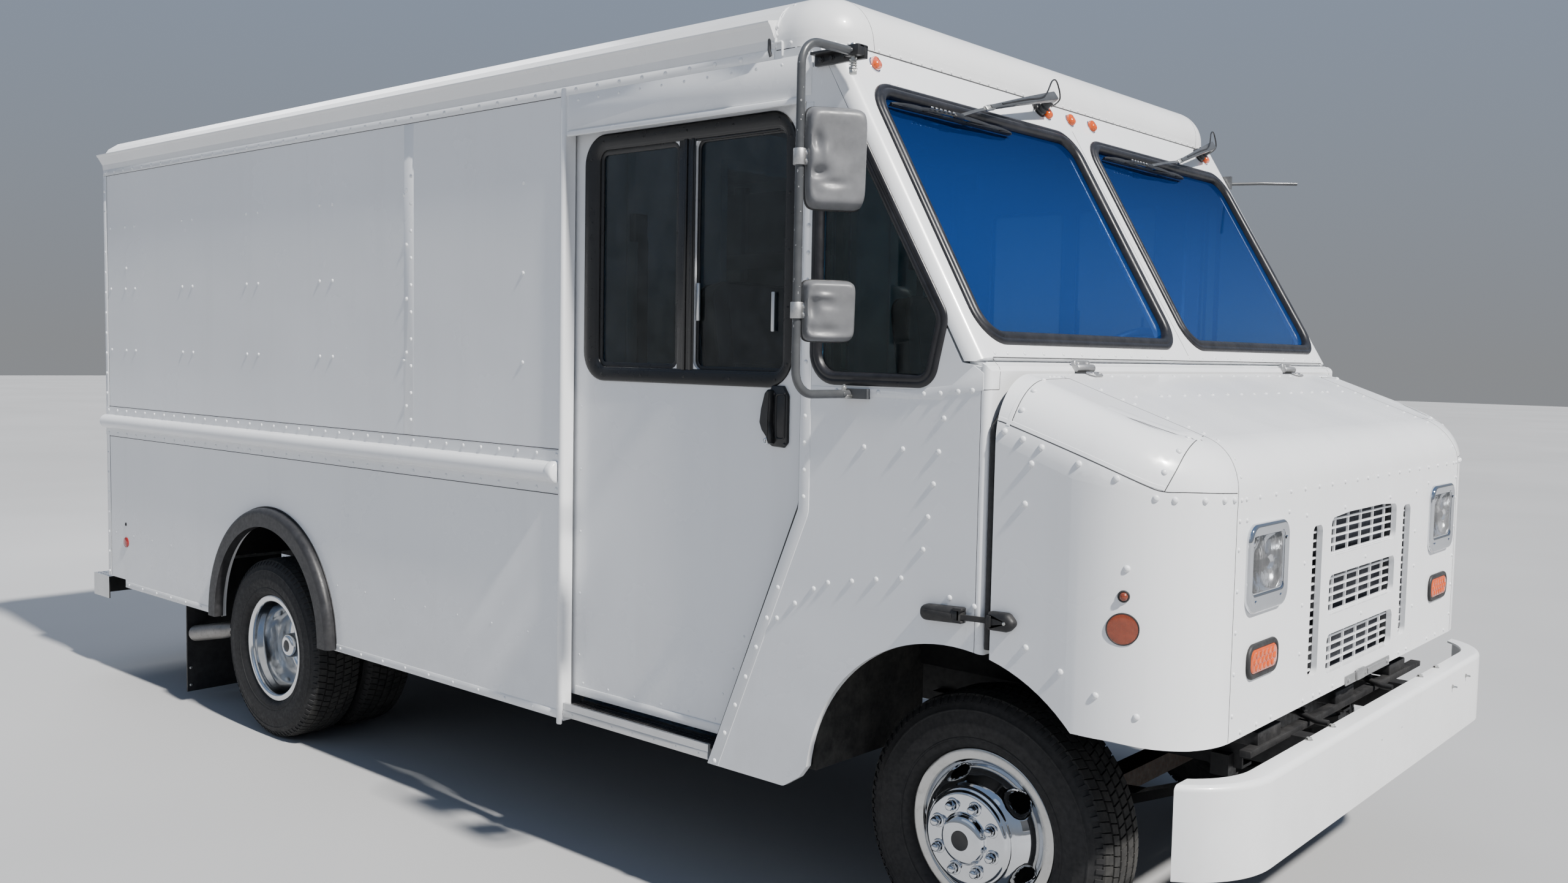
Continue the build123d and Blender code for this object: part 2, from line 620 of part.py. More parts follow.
# ---------------------------------------------------------------- outside fittings
def rear_flares():
    cx, cz, _ = ARCH_R
    ring = cyl_y(cx, cz, FLARE_R, -1218, -1180) - cyl_y(cx, cz, 424, -1240, -1170)
    ring = ring & box(cx - 600, cx + 600, -1300, -1100, 446, 1100)
    outer = [e for e in ring.edges() if abs(e.center().Y + 1218) < 1 and e.length > 700]
    big = max(outer, key=lambda e: e.length)
    ring = ring.fillet(25, [big])
    flap = box(-1973, -1965, -1150, -690, 30, 699)
    return Compound(children=[*solids_of(ring), *solids_of(flap), *solids_of(mirror_y(ring)),
                              *solids_of(mirror_y(flap))])


MIRROR = (1875.0, 1389.0, 1529.0, 2397.0)      # x, y of the upright tube, z of lower and upper arms


def mirror_arms():
    x, y, z0, z1 = MIRROR
    loop = tube([(x + 14, -1196, z1), (x, -y, z1), (x, -y, z0), (x + 14, -1196, z0)], 11.0, 60)
    up = box(x - 122, x + 41, -1194, -HALF_W, z1 - 18, z1 + 14)
    lo = box(x - 8, x + 74, -1194, -HALF_W, z0 - 12, z0 + 14)
    right = fuse([loop, up, lo])
    # bare arm on the left, with no mirror on it
    rod = tube([(1852, 1192, 2322), (1958, 1290, 2328), (2058, 1394, 2330)], 6.5, 200)
    plate = box(1800, 1880, HALF_W, 1196, 2300, 2350)
    left = rod + plate
    return Compound(children=[*solids_of(right), *solids_of(left)])


def mirror_heads():
    x, y, z0, z1 = MIRROR
    b = math.radians(33.6)
    out = []
    # head: centre height, width, height
    for zc, w, h in ((2112.0, 157.0, 248.0), (1737.0, 135.0, 150.0)):
        body = box(-26, 34, 14, 14 + w, -h / 2, h / 2)
        body = body.fillet(24, body.edges().filter_by(Axis.X))
        front = [e for e in body.edges() if abs(e.center().X - 34) < 1]
        body = body.fillet(18, front)
        clamp = box(-14, 14, -16, 22, -24, 24) - Solid.make_cylinder(11.2, 60, Plane(origin=(0, 0, -30)))
        body = body + clamp
        body = body.rotate(Axis.Z, -math.degrees(b))
        out.append(body.translate(Vector(x, -y, zc)))
    return Compound(children=[q for o in out for q in solids_of(o)])


# ---------------------------------------------------------------- nose
def nose_block(inset):
    t = inset
    xf = X_FASCIA - t
    y = HALF_W - t
    k = math.tan(HOOD_SLOPE)
    drop = t / math.cos(HOOD_SLOPE)
    x0 = X_NOSE if t == 0 else X_NOSE - 40
    z0 = NOSE_Z0 if t == 0 else NOSE_Z0 - 40
    pts = [(x0, z0), (xf, z0), (xf, HOOD_Z - drop - k * (xf - X_NOSE)), (x0, HOOD_Z - drop - k * (x0 - X_NOSE))]
    b = slab_y(pts, -y, y)
    vert = [e for e in b.edges().filter_by(Axis.Z) if abs(e.center().X - xf) < 1]
    b = b.fillet(NOSE_RV - t, vert)
    top = []
    for e in b.edges():
        c = e.center()
        ztop = HOOD_Z - drop - k * (c.X - X_NOSE)
        if abs(c.Z - ztop) < 2.0 and c.X > x0 + 20:
            top.append(e)
    return b.fillet(NOSE_RT - t, top)


def nose_shell():
    sh = nose_block(0) - nose_block(T_NOSE)
    sh = sh - cyl_y(ARCH_F[0], ARCH_F[1], ARCH_F[2], -1300, 1300)
    # foot of the side sheets: level at the back, running down round the corners
    foot = [(2450, 600), (2900, 600), (2900, 742), (2814, 743), (2776, 745), (2720, 752), (2640, 765), (2560, 769), (2450, 770)]
    return sh - slab_y(foot, -1300, 1300)


# front panel openings: name, y centre, z0, z1, half width, rise of the arched top edge
SLOTS = (
    ("upper", 0.0, 1116.0, 1220.0, 277.0, 8.0),
    ("middle", 0.0, 956.0, 1066.0, 277.0, 0.0),
    ("lower", 0.0, 798.0, 905.0, 277.0, 0.0),
)
SIDE_SLOT = (378.0, 811.0, 1210.0, 35.0)        # y centre, z0, z1, half width
LAMP = (729.0, 1143.0, 121.0, 107.0)            # headlamp y, z, half width, half height
LAMP_BODY = (98.0, 78.0)                        # half sizes of the lamp behind the panel
LAMP_PROUD = 14.0
TURN = (722.0, 914.0)                           # turn lamp y, z


def fascia(shell):
    f = shell & box(X_NOSE, 3000, -SEAM_Y, SEAM_Y, 600, SEAM_Z)
    f = f & box(X_FASCIA - 200, 3000, -1300, 1300, 600, 2000)
    for _, yc, z0, z1, hw, rise in SLOTS:
        crown = [(yc + hw / 2, z1 + rise), (yc - hw / 2, z1 + rise)] if rise else []
        f = f - slab_x([(yc - hw, z0), (yc + hw, z0), (yc + hw, z1), *crown, (yc - hw, z1)], 2700, 2900, 22)
    y, z0, z1, hw = SIDE_SLOT
    for s in (-1, 1):
        f = f - slab_x([(s * y - hw, z0), (s * y + hw, z0), (s * y + hw, z1), (s * y - hw, z1)], 2700, 2900, 20)
        a, b = LAMP_BODY[0] + 4, LAMP_BODY[1] + 4
        f = f - slab_x([(s * LAMP[0] - a, LAMP[1] - b), (s * LAMP[0] + a, LAMP[1] - b),
                        (s * LAMP[0] + a, LAMP[1] + b), (s * LAMP[0] - a, LAMP[1] + b)], 2700, 2900, 20)
    return f


def hood(shell):
    h = shell & box(X_NOSE - 1, 3000, -SEAM_Y, SEAM_Y, SEAM_Z, 2000)
    return h


def nose_sides(shell):
    a = shell & box(X_NOSE - 1, 3000, -1300, -SEAM_Y, 600, 2000)
    return Compound(children=[*solids_of(a), *solids_of(mirror_y(a))])


def grille():
    """Thin cross bars behind the front panel's openings: y of the uprights, z of the rungs."""
    xb = X_FASCIA - T_NOSE
    z0, z1 = 772.0, 1236.0
    items = []
    for y in (-430, -303, -199, -95, 9, 113, 217, 321, 430):
        items.append(box(xb - 7, xb - 1, y - 2.5, y + 2.5, z0, z1))
    for k in range(21):
        z = z0 + 2.5 + k * (z1 - z0 - 5) / 20
        items.append(box(xb - 7, xb - 1, -432.5, 432.5, z - 2.5, z + 2.5))
    # the rim touches the panel
    for y in (-430, 430):
        items.append(box(xb - 7, xb, y - 2.5, y + 2.5, z0, z1))
    return fuse(items)


def headlights():
    y, z, hw, hh = LAMP
    a, b = LAMP_BODY
    out = []
    for s in (-1, 1):
        flange = slab_x([(s * y - hw, z - hh), (s * y + hw, z - hh), (s * y + hw, z + hh), (s * y - hw, z + hh)],
                        X_FASCIA, X_FASCIA + LAMP_PROUD, 40)
        body = slab_x([(s * y - a, z - b), (s * y + a, z - b), (s * y + a, z + b), (s * y - a, z + b)],
                      X_FASCIA - 70, X_FASCIA + 2, 18)
        rec = slab_x([(s * y - 97, z - 63), (s * y + 97, z - 63), (s * y + 97, z + 81), (s * y - 97, z + 81)],
                     X_FASCIA + 5, X_FASCIA + 30, 18)
        out.append((flange + body) - rec)
    return Compound(children=[q for o in out for q in solids_of(o)])


# ---------------------------------------------------------------- doors
def cab_door(s):
    y0, y1 = s * DOOR_Y0, s * DOOR_Y1
    slope = (X_DOOR_F - X_DOOR_FOOT) / (DOOR_BEND - 444)
    foot = X_DOOR_FOOT + slope * (DOOR_Z0 - 444) + 15
    pts = [(DOOR_X0, DOOR_Z0), (foot, DOOR_Z0), (X_DOOR_F + 14, DOOR_BEND), (X_DOOR_F + 14, DOOR_Z1),
           (DOOR_X0, DOOR_Z1)]
    p = slab_y(pts, y0, y1, [0, 0, 60, 0, 0])
    x0, x1, z0, z1 = DOOR_WIN
    a, b = DOOR_BAR
    for u0, u1 in ((x0, a), (b, x1)):
        p = p - slab_y([(u0, z0), (u1, z0), (u1, z1), (u0, z1)], s * 1000, s * 1200, 30)
    return p


def door_glass(s):
    x0, x1, z0, z1 = DOOR_WIN
    a, b = DOOR_BAR
    out = []
    for u0, u1, yy in ((x0, a, 1122), (b, x1, 1114)):
        out.append(slab_y([(u0 + 1, z0 + 1), (u1 - 1, z0 + 1), (u1 - 1, z1 - 1), (u0 + 1, z1 - 1)],
                          s * yy, s * (yy - 5), 29))
    return Compound(children=out)


REAR_DOOR = (4.0, 757.0, 768.0, 2322.0)        # inner edge, outer edge, bottom, top
REAR_WIN = (110.0, 650.0, 1500.0, 2150.0)


def rear_door(s):
    y0, y1, z0, z1 = REAR_DOOR
    p = box(X_REAR, X_REAR + 34, s * y0, s * y1, z0, z1)
    w = REAR_WIN
    return p - slab_x([(s * w[0], w[2]), (s * w[1], w[2]), (s * w[1], w[3]), (s * w[0], w[3])],
                      X_REAR - 20, X_REAR + 60, 60)


def rear_glass(s):
    w = REAR_WIN
    return slab_x([(s * (w[0] + 1), w[2] + 1), (s * (w[1] - 1), w[2] + 1), (s * (w[1] - 1), w[3] - 1),
                   (s * (w[0] + 1), w[3] - 1)], X_REAR + 12, X_REAR + 18, 59)


# ---------------------------------------------------------------- everything
def build():
    put("ladder_frame", ladder_frame())
    put("leaf_springs", leaf_springs())
    put("front_axle", front_axle())
    put("rear_axle", rear_axle())
    for side, s in (("right", -1), ("left", 1)):
        put(f"{side}_knuckle", knuckle(s))
        put(f"{side}_front_wheel", revolve_y([(r, FRONT_Y + y) for r, y in wheel_profile_front()], s, FRONT_X, TYRE_R))
        put(f"{side}_front_tyre", revolve_y(tyre_profile(FRONT_Y), s, FRONT_X, TYRE_R))
        mid = (REAR_YO + REAR_YI) / 2
        put(f"{side}_rear_wheels", revolve_y([(r, mid + y) for r, y in wheel_profile_rear()], s, REAR_X, TYRE_R))
        put(f"{side}_rear_tyres", Compound(children=[revolve_y(tyre_profile(REAR_YO), s, REAR_X, TYRE_R),
                                                     revolve_y(tyre_profile(REAR_YI), s, REAR_X, TYRE_R)]))
        put(f"{side}_side_wall", side_wall(s))
        put(f"{side}_cab_side", cab_side(s))
        put(f"{side}_cab_door", cab_door(s))
        put(f"{side}_cab_door_glass", door_glass(s))
        put(f"{side}_rear_door", rear_door(s))
        put(f"{side}_rear_door_glass", rear_glass(s))
    put("rub_rails", rub_rails())
    put("roof", roof_section(X_REAR, 1603))
    put("roof_front_cap", roof_front_cap())
    put("rear_frame", rear_frame())
    put("windshield_frame", windshield_frame())
    put("cab_glass", cab_glass())
    put("cowl", cowl())
    put("cargo_floor", cargo_floor())
    put("cab_floor", cab_floor())
    put("door_sills", door_sills())
    put("bulkhead", bulkhead())
    put("engine_cover", engine_cover())
    put("dashboard", dashboard())
    put("engine", engine())
    put("radiator", radiator())
    put("seat_cushions", seat_cushions())
    put("seat_bases", seat_bases())
    put("steering_wheel", steering_wheel())
    put("front_bumper", front_bumper())
    put("rear_bumper", rear_bumper())
    put("fuel_tank", fuel_tank())
    put("exhaust", exhaust())
    put("rear_flares", rear_flares())
    put("mirror_arms", mirror_arms())
    put("mirror_heads", mirror_heads())
    shell = nose_shell()
    put("fascia", fascia(shell))
    put("hood", hood(shell))
    put("nose_sides", nose_sides(shell))
    put("grille", grille())
    put("headlights", headlights())


build()
os.makedirs("parts", exist_ok=True)
for name, shape in PARTS.items():
    export_step(shape if isinstance(shape, (Solid, Compound)) else Compound(children=list(shape.solids())),
                f"parts/{name}.step")
print(len(PARTS), "nodes")
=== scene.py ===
import math
import random

import bmesh
import bpy
from mathutils import Matrix, Vector
from mathutils.bvhtree import BVHTree


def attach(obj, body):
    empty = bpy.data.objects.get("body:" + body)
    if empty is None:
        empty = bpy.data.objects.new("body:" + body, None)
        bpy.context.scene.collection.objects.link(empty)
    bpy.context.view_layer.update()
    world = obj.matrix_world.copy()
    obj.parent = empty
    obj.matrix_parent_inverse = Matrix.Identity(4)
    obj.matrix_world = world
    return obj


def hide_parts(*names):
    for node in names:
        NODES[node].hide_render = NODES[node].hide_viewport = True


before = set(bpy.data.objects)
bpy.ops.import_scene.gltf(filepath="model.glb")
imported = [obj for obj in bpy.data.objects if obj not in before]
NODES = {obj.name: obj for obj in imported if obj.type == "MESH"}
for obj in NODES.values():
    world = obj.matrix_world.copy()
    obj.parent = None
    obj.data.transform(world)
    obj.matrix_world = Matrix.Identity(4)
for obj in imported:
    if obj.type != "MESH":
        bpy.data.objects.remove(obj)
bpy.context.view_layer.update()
MM = 0.001
random.seed(7)


# ================================================================ mesh helpers (millimetres)
class Geo:
    """Vertices, faces and material numbers of one piece, in millimetres."""

    def __init__(self):
        self.v, self.f, self.m = [], [], []

    def add(self, verts, faces, mat=0):
        n = len(self.v)
        self.v += [tuple(p) for p in verts]
        self.f += [tuple(i + n for i in f) for f in faces]
        self.m += [mat] * len(faces)
        return self

    def mirrored(self):
        g = Geo()
        g.v = [(x, -y, z) for x, y, z in self.v]
        g.f = [tuple(reversed(f)) for f in self.f]
        g.m = list(self.m)
        return g

    def join(self, other):
        n = len(self.v)
        self.v += other.v
        self.f += [tuple(i + n for i in f) for f in other.f]
        self.m += other.m
        return self


class Fr:
    """A place with three directions: a and b across, c out."""

    def __init__(self, o, a, b, c=None):
        self.o, self.a, self.b = Vector(o), Vector(a).normalized(), Vector(b).normalized()
        self.c = Vector(c).normalized() if c is not None else self.a.cross(self.b)

    def __call__(self, a, b, c=0.0):
        return self.o + self.a * a + self.b * b + self.c * c


def fr_normal(o, n, up=(0, 0, 1)):
    """Frame with c along n, b as near up as it can be."""
    n = Vector(n).normalized()
    u = Vector(up)
    if abs(n.dot(u)) > 0.97:
        u = Vector((1, 0, 0))
    a = u.cross(n).normalized()
    return Fr(o, a, n.cross(a), n)


def FY(x, y, z, s=-1):
    """Frame on a side of the body: a along x, b up, c out of that side."""
    return Fr((x, y, z), (1, 0, 0), (0, 0, 1), (0, s, 0))


def FX(x, y, z, d=1):
    """Frame on the front (d 1) or back (d -1): a along y, b up, c out."""
    return Fr((x, y, z), (0, 1, 0), (0, 0, 1), (d, 0, 0))


def FZ(x, y, z):
    return Fr((x, y, z), (1, 0, 0), (0, 1, 0), (0, 0, 1))


def rounded(pts, radii, seg=6):
    """Closed outline with round corners."""
    n, out = len(pts), []
    for i in range(n):
        r = radii[i] if isinstance(radii, (list, tuple)) else radii
        p0, p1, p2 = (Vector(pts[(i + k) % n]) for k in (-1, 0, 1))
        if r <= 0:
            out.append(p1)
            continue
        a, b = (p0 - p1).normalized(), (p2 - p1).normalized()
        ang = math.acos(max(-1, min(1, a.dot(b))))
        c = p1 + (a + b).normalized() * (r / math.sin(ang / 2))
        s, e = p1 + a * (r / math.tan(ang / 2)) - c, p1 + b * (r / math.tan(ang / 2)) - c
        a0, a1 = math.atan2(s.y, s.x), math.atan2(e.y, e.x)
        d = (a1 - a0 + math.pi) % (2 * math.pi) - math.pi
        for k in range(seg + 1):
            t = a0 + d * k / seg
            out.append(c + Vector((math.cos(t), math.sin(t))) * r)
    return out


def rect(x0, x1, y0, y1, r, seg=6):
    return rounded([(x0, y0), (x1, y0), (x1, y1), (x0, y1)], r, seg)


def out_normals(path):
    """Outward mitred normals of a closed outline."""
    n = len(path)
    area = sum(path[i].x * path[(i + 1) % n].y - path[(i + 1) % n].x * path[i].y for i in range(n))
    sg = 1 if area > 0 else -1
    res = []
    for i in range(n):
        d0, d1 = path[i] - path[i - 1], path[(i + 1) % n] - path[i]
        n0 = Vector((d0.y, -d0.x)).normalized() * sg if d0.length > 1e-6 else None
        n1 = Vector((d1.y, -d1.x)).normalized() * sg if d1.length > 1e-6 else None
        n0, n1 = n0 or n1, n1 or n0
        m = (n0 + n1)
        m = m.normalized() if m.length > 1e-6 else n0
        res.append(m / max(0.35, m.dot(n0)))
    return res


def loft(g, path, fr, rings, mat=0, cap0=True, cap1=True, wrap=False):
    """Rings of the outline, each (how far out, height), joined in order."""
    path = [Vector(p) for p in path]
    nr, n, verts, faces = out_normals(path), len(path), [], []
    for off, h in rings:
        verts += [fr(p.x + q.x * off, p.y + q.y * off, h) for p, q in zip(path, nr)]
    k = len(rings)
    for j in range(k if wrap else k - 1):
        j2 = (j + 1) % k
        faces += [(j * n + i, j * n + (i + 1) % n, j2 * n + (i + 1) % n, j2 * n + i) for i in range(n)]
    if not wrap:
        if cap0:
            faces.append(tuple(range(n)))
        if cap1:
            faces.append(tuple((k - 1) * n + i for i in range(n)))
    return g.add(verts, faces, mat)


def prism(g, path, fr, z0, z1, bev=0.0, bev0=0.0, steps=3, mat=0):
    """Outline pulled from z0 to z1, with its far and near edges rounded."""
    rings = []
    if bev0:
        rings += [(-bev0 * (1 - math.sin(k * math.pi / 2 / steps)), z0 + bev0 * (1 - math.cos(k * math.pi / 2 / steps)))
                  for k in range(steps + 1)]
    else:
        rings.append((0, z0))
    if bev:
        rings += [(-bev * (1 - math.cos(k * math.pi / 2 / steps)), z1 - bev + bev * math.sin(k * math.pi / 2 / steps))
                  for k in range(steps + 1)]
    else:
        rings.append((0, z1))
    return loft(g, path, fr, rings, mat)


def rbox(g, fr, a0, a1, b0, b1, c0, c1, r=1.5, mat=0, steps=2):
    """Box with round edges on all sides of its far face and round corners."""
    rr = min(r, abs(a1 - a0) / 2.05, abs(b1 - b0) / 2.05)
    rc = min(r, abs(c1 - c0) / 2.05)
    return prism(g, rect(a0, a1, b0, b1, rr, 3), fr, c0, c1, rc, rc, steps, mat)


def lathe(g, profile, fr, seg=32, mat=0, arc=None):
    """Turn (radius, height) points about the frame's c axis."""
    verts, faces, rows = [], [], []
    for r, h in profile:
        if r < 1e-6:
            rows.append([len(verts)] * seg)
            verts.append(fr(0, 0, h))
        else:
            rows.append(list(range(len(verts), len(verts) + seg)))
            verts += [fr(r * math.cos(2 * math.pi * k / seg), r * math.sin(2 * math.pi * k / seg), h) for k in range(seg)]
    for j in range(len(rows) - 1):
        a, b = rows[j], rows[j + 1]
        for k in range(seg):
            q = []
            for i in (a[k], a[(k + 1) % seg], b[(k + 1) % seg], b[k]):
                if i not in q:
                    q.append(i)
            if len(q) > 2:
                faces.append(tuple(q))
    return g.add(verts, faces, mat)


def bend_path(points, bend, seg=6):
    """Straight runs joined by round bends."""
    pts = [Vector(p) for p in points]
    out = [pts[0]]
    for i in range(1, len(pts) - 1):
        r = bend[i - 1] if isinstance(bend, (list, tuple)) else bend
        a, b = (pts[i - 1] - pts[i]), (pts[i + 1] - pts[i])
        la, lb = a.length, b.length
        a.normalize()
        b.normalize()
        ang = math.acos(max(-1, min(1, a.dot(b))))
        if ang > 3.10:
            out.append(pts[i])
            continue
        d = min(r / math.tan(ang / 2), la * 0.49, lb * 0.49)
        r = d * math.tan(ang / 2)
        c = pts[i] + (a + b).normalized() * (r / math.sin(ang / 2))
        s, e = pts[i] + a * d - c, pts[i] + b * d - c
        tot = math.pi - ang
        for k in range(seg + 1):
            t = k / seg
            out.append(c + (s * math.sin((1 - t) * tot) + e * math.sin(t * tot)) / math.sin(tot))
    out.append(pts[-1])
    return out


def sweep(g, path, section, up=(0, 0, 1), mat=0, closed=False, caps=True, fixed=False):
    """Carry a closed (a, b) section along a path without twist; b starts near up."""
    pts = [Vector(p) for p in path]
    n, m = len(pts), len(section)
    tans = []
    for i in range(n):
        if closed:
            t = pts[(i + 1) % n] - pts[i - 1]
        else:
            t = pts[min(i + 1, n - 1)] - pts[max(i - 1, 0)]
        tans.append(t.normalized())
    b = Vector(up)
    b = (b - tans[0] * b.dot(tans[0])).normalized()
    verts, faces = [], []
    for i in range(n):
        if fixed:
            b = Vector(up)
        b = (b - tans[i] * b.dot(tans[i])).normalized()
        a = b.cross(tans[i])
        verts += [pts[i] + a * p + b * q for p, q in section]
    for i in range(n if closed else n - 1):
        j = (i + 1) % n
        faces += [(i * m + k, i * m + (k + 1) % m, j * m + (k + 1) % m, j * m + k) for k in range(m)]
    if caps and not closed:
        faces += [tuple(range(m)), tuple((n - 1) * m + k for k in range(m))]
    return g.add(verts, faces, mat)


def circle(r, seg=10):
    return [(r * math.cos(2 * math.pi * k / seg), r * math.sin(2 * math.pi * k / seg)) for k in range(seg)]


def tube(g, points, r, bend=20, seg=10, mat=0, arcs=6):
    return sweep(g, bend_path(points, bend, arcs), circle(r, seg), mat=mat,
                 up=(0.13, 0.21, 0.97))


def rivet(g, p, n, r=7.0, h=3.2, seg=10, mat=0):
    """Round head rivet."""
    return lathe(g, [(r * 1.02, -0.6), (r, 0.3), (r * 0.86, h * 0.55), (r * 0.52, h * 0.88), (0, h)], fr_normal(p, n), seg, mat)


def hexbolt(g, p, n, r=8.0, h=6.0, mat=0, washer=1.5, spin=0.0):
    """Hexagon head on a washer."""
    fr = fr_normal(p, n)
    lathe(g, [(r * 1.35, 0), (r * 1.35, washer * 0.8), (r * 1.25, washer), (0, washer)], fr, 16, mat)
    hexa = [Vector((r * math.cos(spin + math.pi / 3 * k), r * math.sin(spin + math.pi / 3 * k))) for k in range(6)]
    loft(g, hexa, fr, [(0, washer), (0, h - 1.0), (-1.2, h)], mat, cap0=False)
    return g


def make(name, g, mats, body, slot=None, sharp=38, stands_for=(), smooth=True, tidy=True):
    """One object from a Geo, riding on a body."""
    me = bpy.data.meshes.new(name)
    me.from_pydata([(x * MM, y * MM, z * MM) for x, y, z in g.v], [], g.f)
    mats = mats if isinstance(mats, (list, tuple)) else [mats]
    for m in mats:
        me.materials.append(m)
    me.polygons.foreach_set("material_index", g.m)
    me.validate()
    if tidy:
        bm = bmesh.new()
        bm.from_mesh(me)
        bmesh.ops.recalc_face_normals(bm, faces=bm.faces[:])
        bm.to_mesh(me)
        bm.free()
    me.polygons.foreach_set("use_smooth", [smooth] * len(me.polygons))
    if smooth:
        me.set_sharp_from_angle(angle=math.radians(sharp))
    me.update()
    o = bpy.data.objects.new(name, me)
    bpy.context.scene.collection.objects.link(o)
    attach(o, body)
    if stands_for:
        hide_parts(*stands_for)
    return o


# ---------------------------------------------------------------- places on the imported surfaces
_trees = {}


def tree(*names):
    if names not in _trees:
        vs, fs = [], []
        for nm in names:
            me = NODES[nm].data
            n = len(vs)
            vs += [v.co.copy() for v in me.vertices]
            fs += [tuple(i + n for i in p.vertices) for p in me.polygons]
        _trees[names] = (BVHTree.FromPolygons(vs, fs), vs, fs)
    return _trees[names]


def snap(p, *names):
    """Nearest point of some nodes, with the surface normal there, in millimetres."""
    hit = tree(*names)[0].find_nearest(Vector(p) * MM)
    return hit[0] / MM, hit[1]


def shoot(o, d, *names):
    """First point that a ray meets, with its normal."""
    hit = tree(*names)[0].ray_cast(Vector(o) * MM, Vector(d).normalized())
    if hit[0] is None:
        return None
    n = hit[1]
    if n.dot(Vector(d)) > 0:
        n = -n
    return hit[0] / MM, n


def cut_lines(names, co, no, keep, out_from):
    """Lines where a plane cuts the outer skin of some nodes: lists of (point, normal)."""
    _, vs, fs = tree(*names)
    co, no, inside = Vector(co), Vector(no).normalized(), Vector(out_from)
    segs = []
    for f in fs:
        p = [vs[i] / MM for i in f]
        d = [(q - co).dot(no) for q in p]
        if min(d) > 0 or max(d) < 0:
            continue
        nrm = (p[1] - p[0]).cross(p[2] - p[0])
        if nrm.length < 1e-9:
            continue
        nrm.normalize()
        pts = []
        for i in range(len(p)):
            j = (i + 1) % len(p)
            if (d[i] < 0) != (d[j] < 0):
                t = d[i] / (d[i] - d[j])
                pts.append(p[i].lerp(p[j], t))
        if len(pts) == 2 and (pts[0] - pts[1]).length > 1e-4:
            mid = (pts[0] + pts[1]) / 2
            if nrm.dot(mid - inside) > 0 and abs(nrm.dot(no)) < 0.9 and keep(mid):
                segs.append((pts[0], pts[1], nrm))
    # join end to end
    key = lambda q: (round(q.x, 1), round(q.y, 1), round(q.z, 1))
    ends = {}
    for k, (a, b, _n) in enumerate(segs):
        ends.setdefault(key(a), []).append(k)
        ends.setdefault(key(b), []).append(k)
    used, lines = set(), []

    def walk(start_key, k):
        line, cur = [], start_key
        while k is not None:
            used.add(k)
            a, b, nn = segs[k]
            if key(a) != cur:
                a, b = b, a
            line.append((a, nn, b))
            cur = key(b)
            nxt = [q for q in ends[cur] if q not in used]
            k = nxt[0] if nxt else None
        return line

    order = sorted(range(len(segs)), key=lambda k: min(len(ends[key(segs[k][0])]), len(ends[key(segs[k][1])])))
    for k in order:
        if k in used:
            continue
        a, b, _n = segs[k]
        st = key(a) if len(ends[key(a)]) == 1 else key(b)
        ln = walk(st, k)
        pts = [(ln[0][0], ln[0][1])] + [(q[2], q[1]) for q in ln]
        # mean normals
        res = []
        for i, (q, nn) in enumerate(pts):
            m = Vector((0, 0, 0))
            for j in (i, min(i + 1, len(pts) - 1)):
                m += pts[j][1]
            res.append((q, m.normalized()))
        lines.append(res)
    return lines


def ribbon(g, line, w, h, mat=0, edge=0.5, sink=0.4):
    """A thin strip that lies on a surface along a line of (point, normal)."""
    n = len(line)
    verts, faces = [], []
    for i, (p, nn) in enumerate(line):
        t = (line[min(i + 1, n - 1)][0] - line[max(i - 1, 0)][0]).normalized()
        c = nn.cross(t).normalized()
        for a, b in ((-w / 2, -sink), (-w / 2 + edge, h), (w / 2 - edge, h), (w / 2, -sink)):
            verts.append(p + c * a + nn * b)
    for i in range(n - 1):
        faces += [(i * 4 + k, i * 4 + k + 1, i * 4 + 5 + k, i * 4 + 4 + k) for k in range(3)]
    faces += [(0, 1, 2, 3), (n * 4 - 4, n * 4 - 3, n * 4 - 2, n * 4 - 1)]
    return g.add(verts, faces, mat)


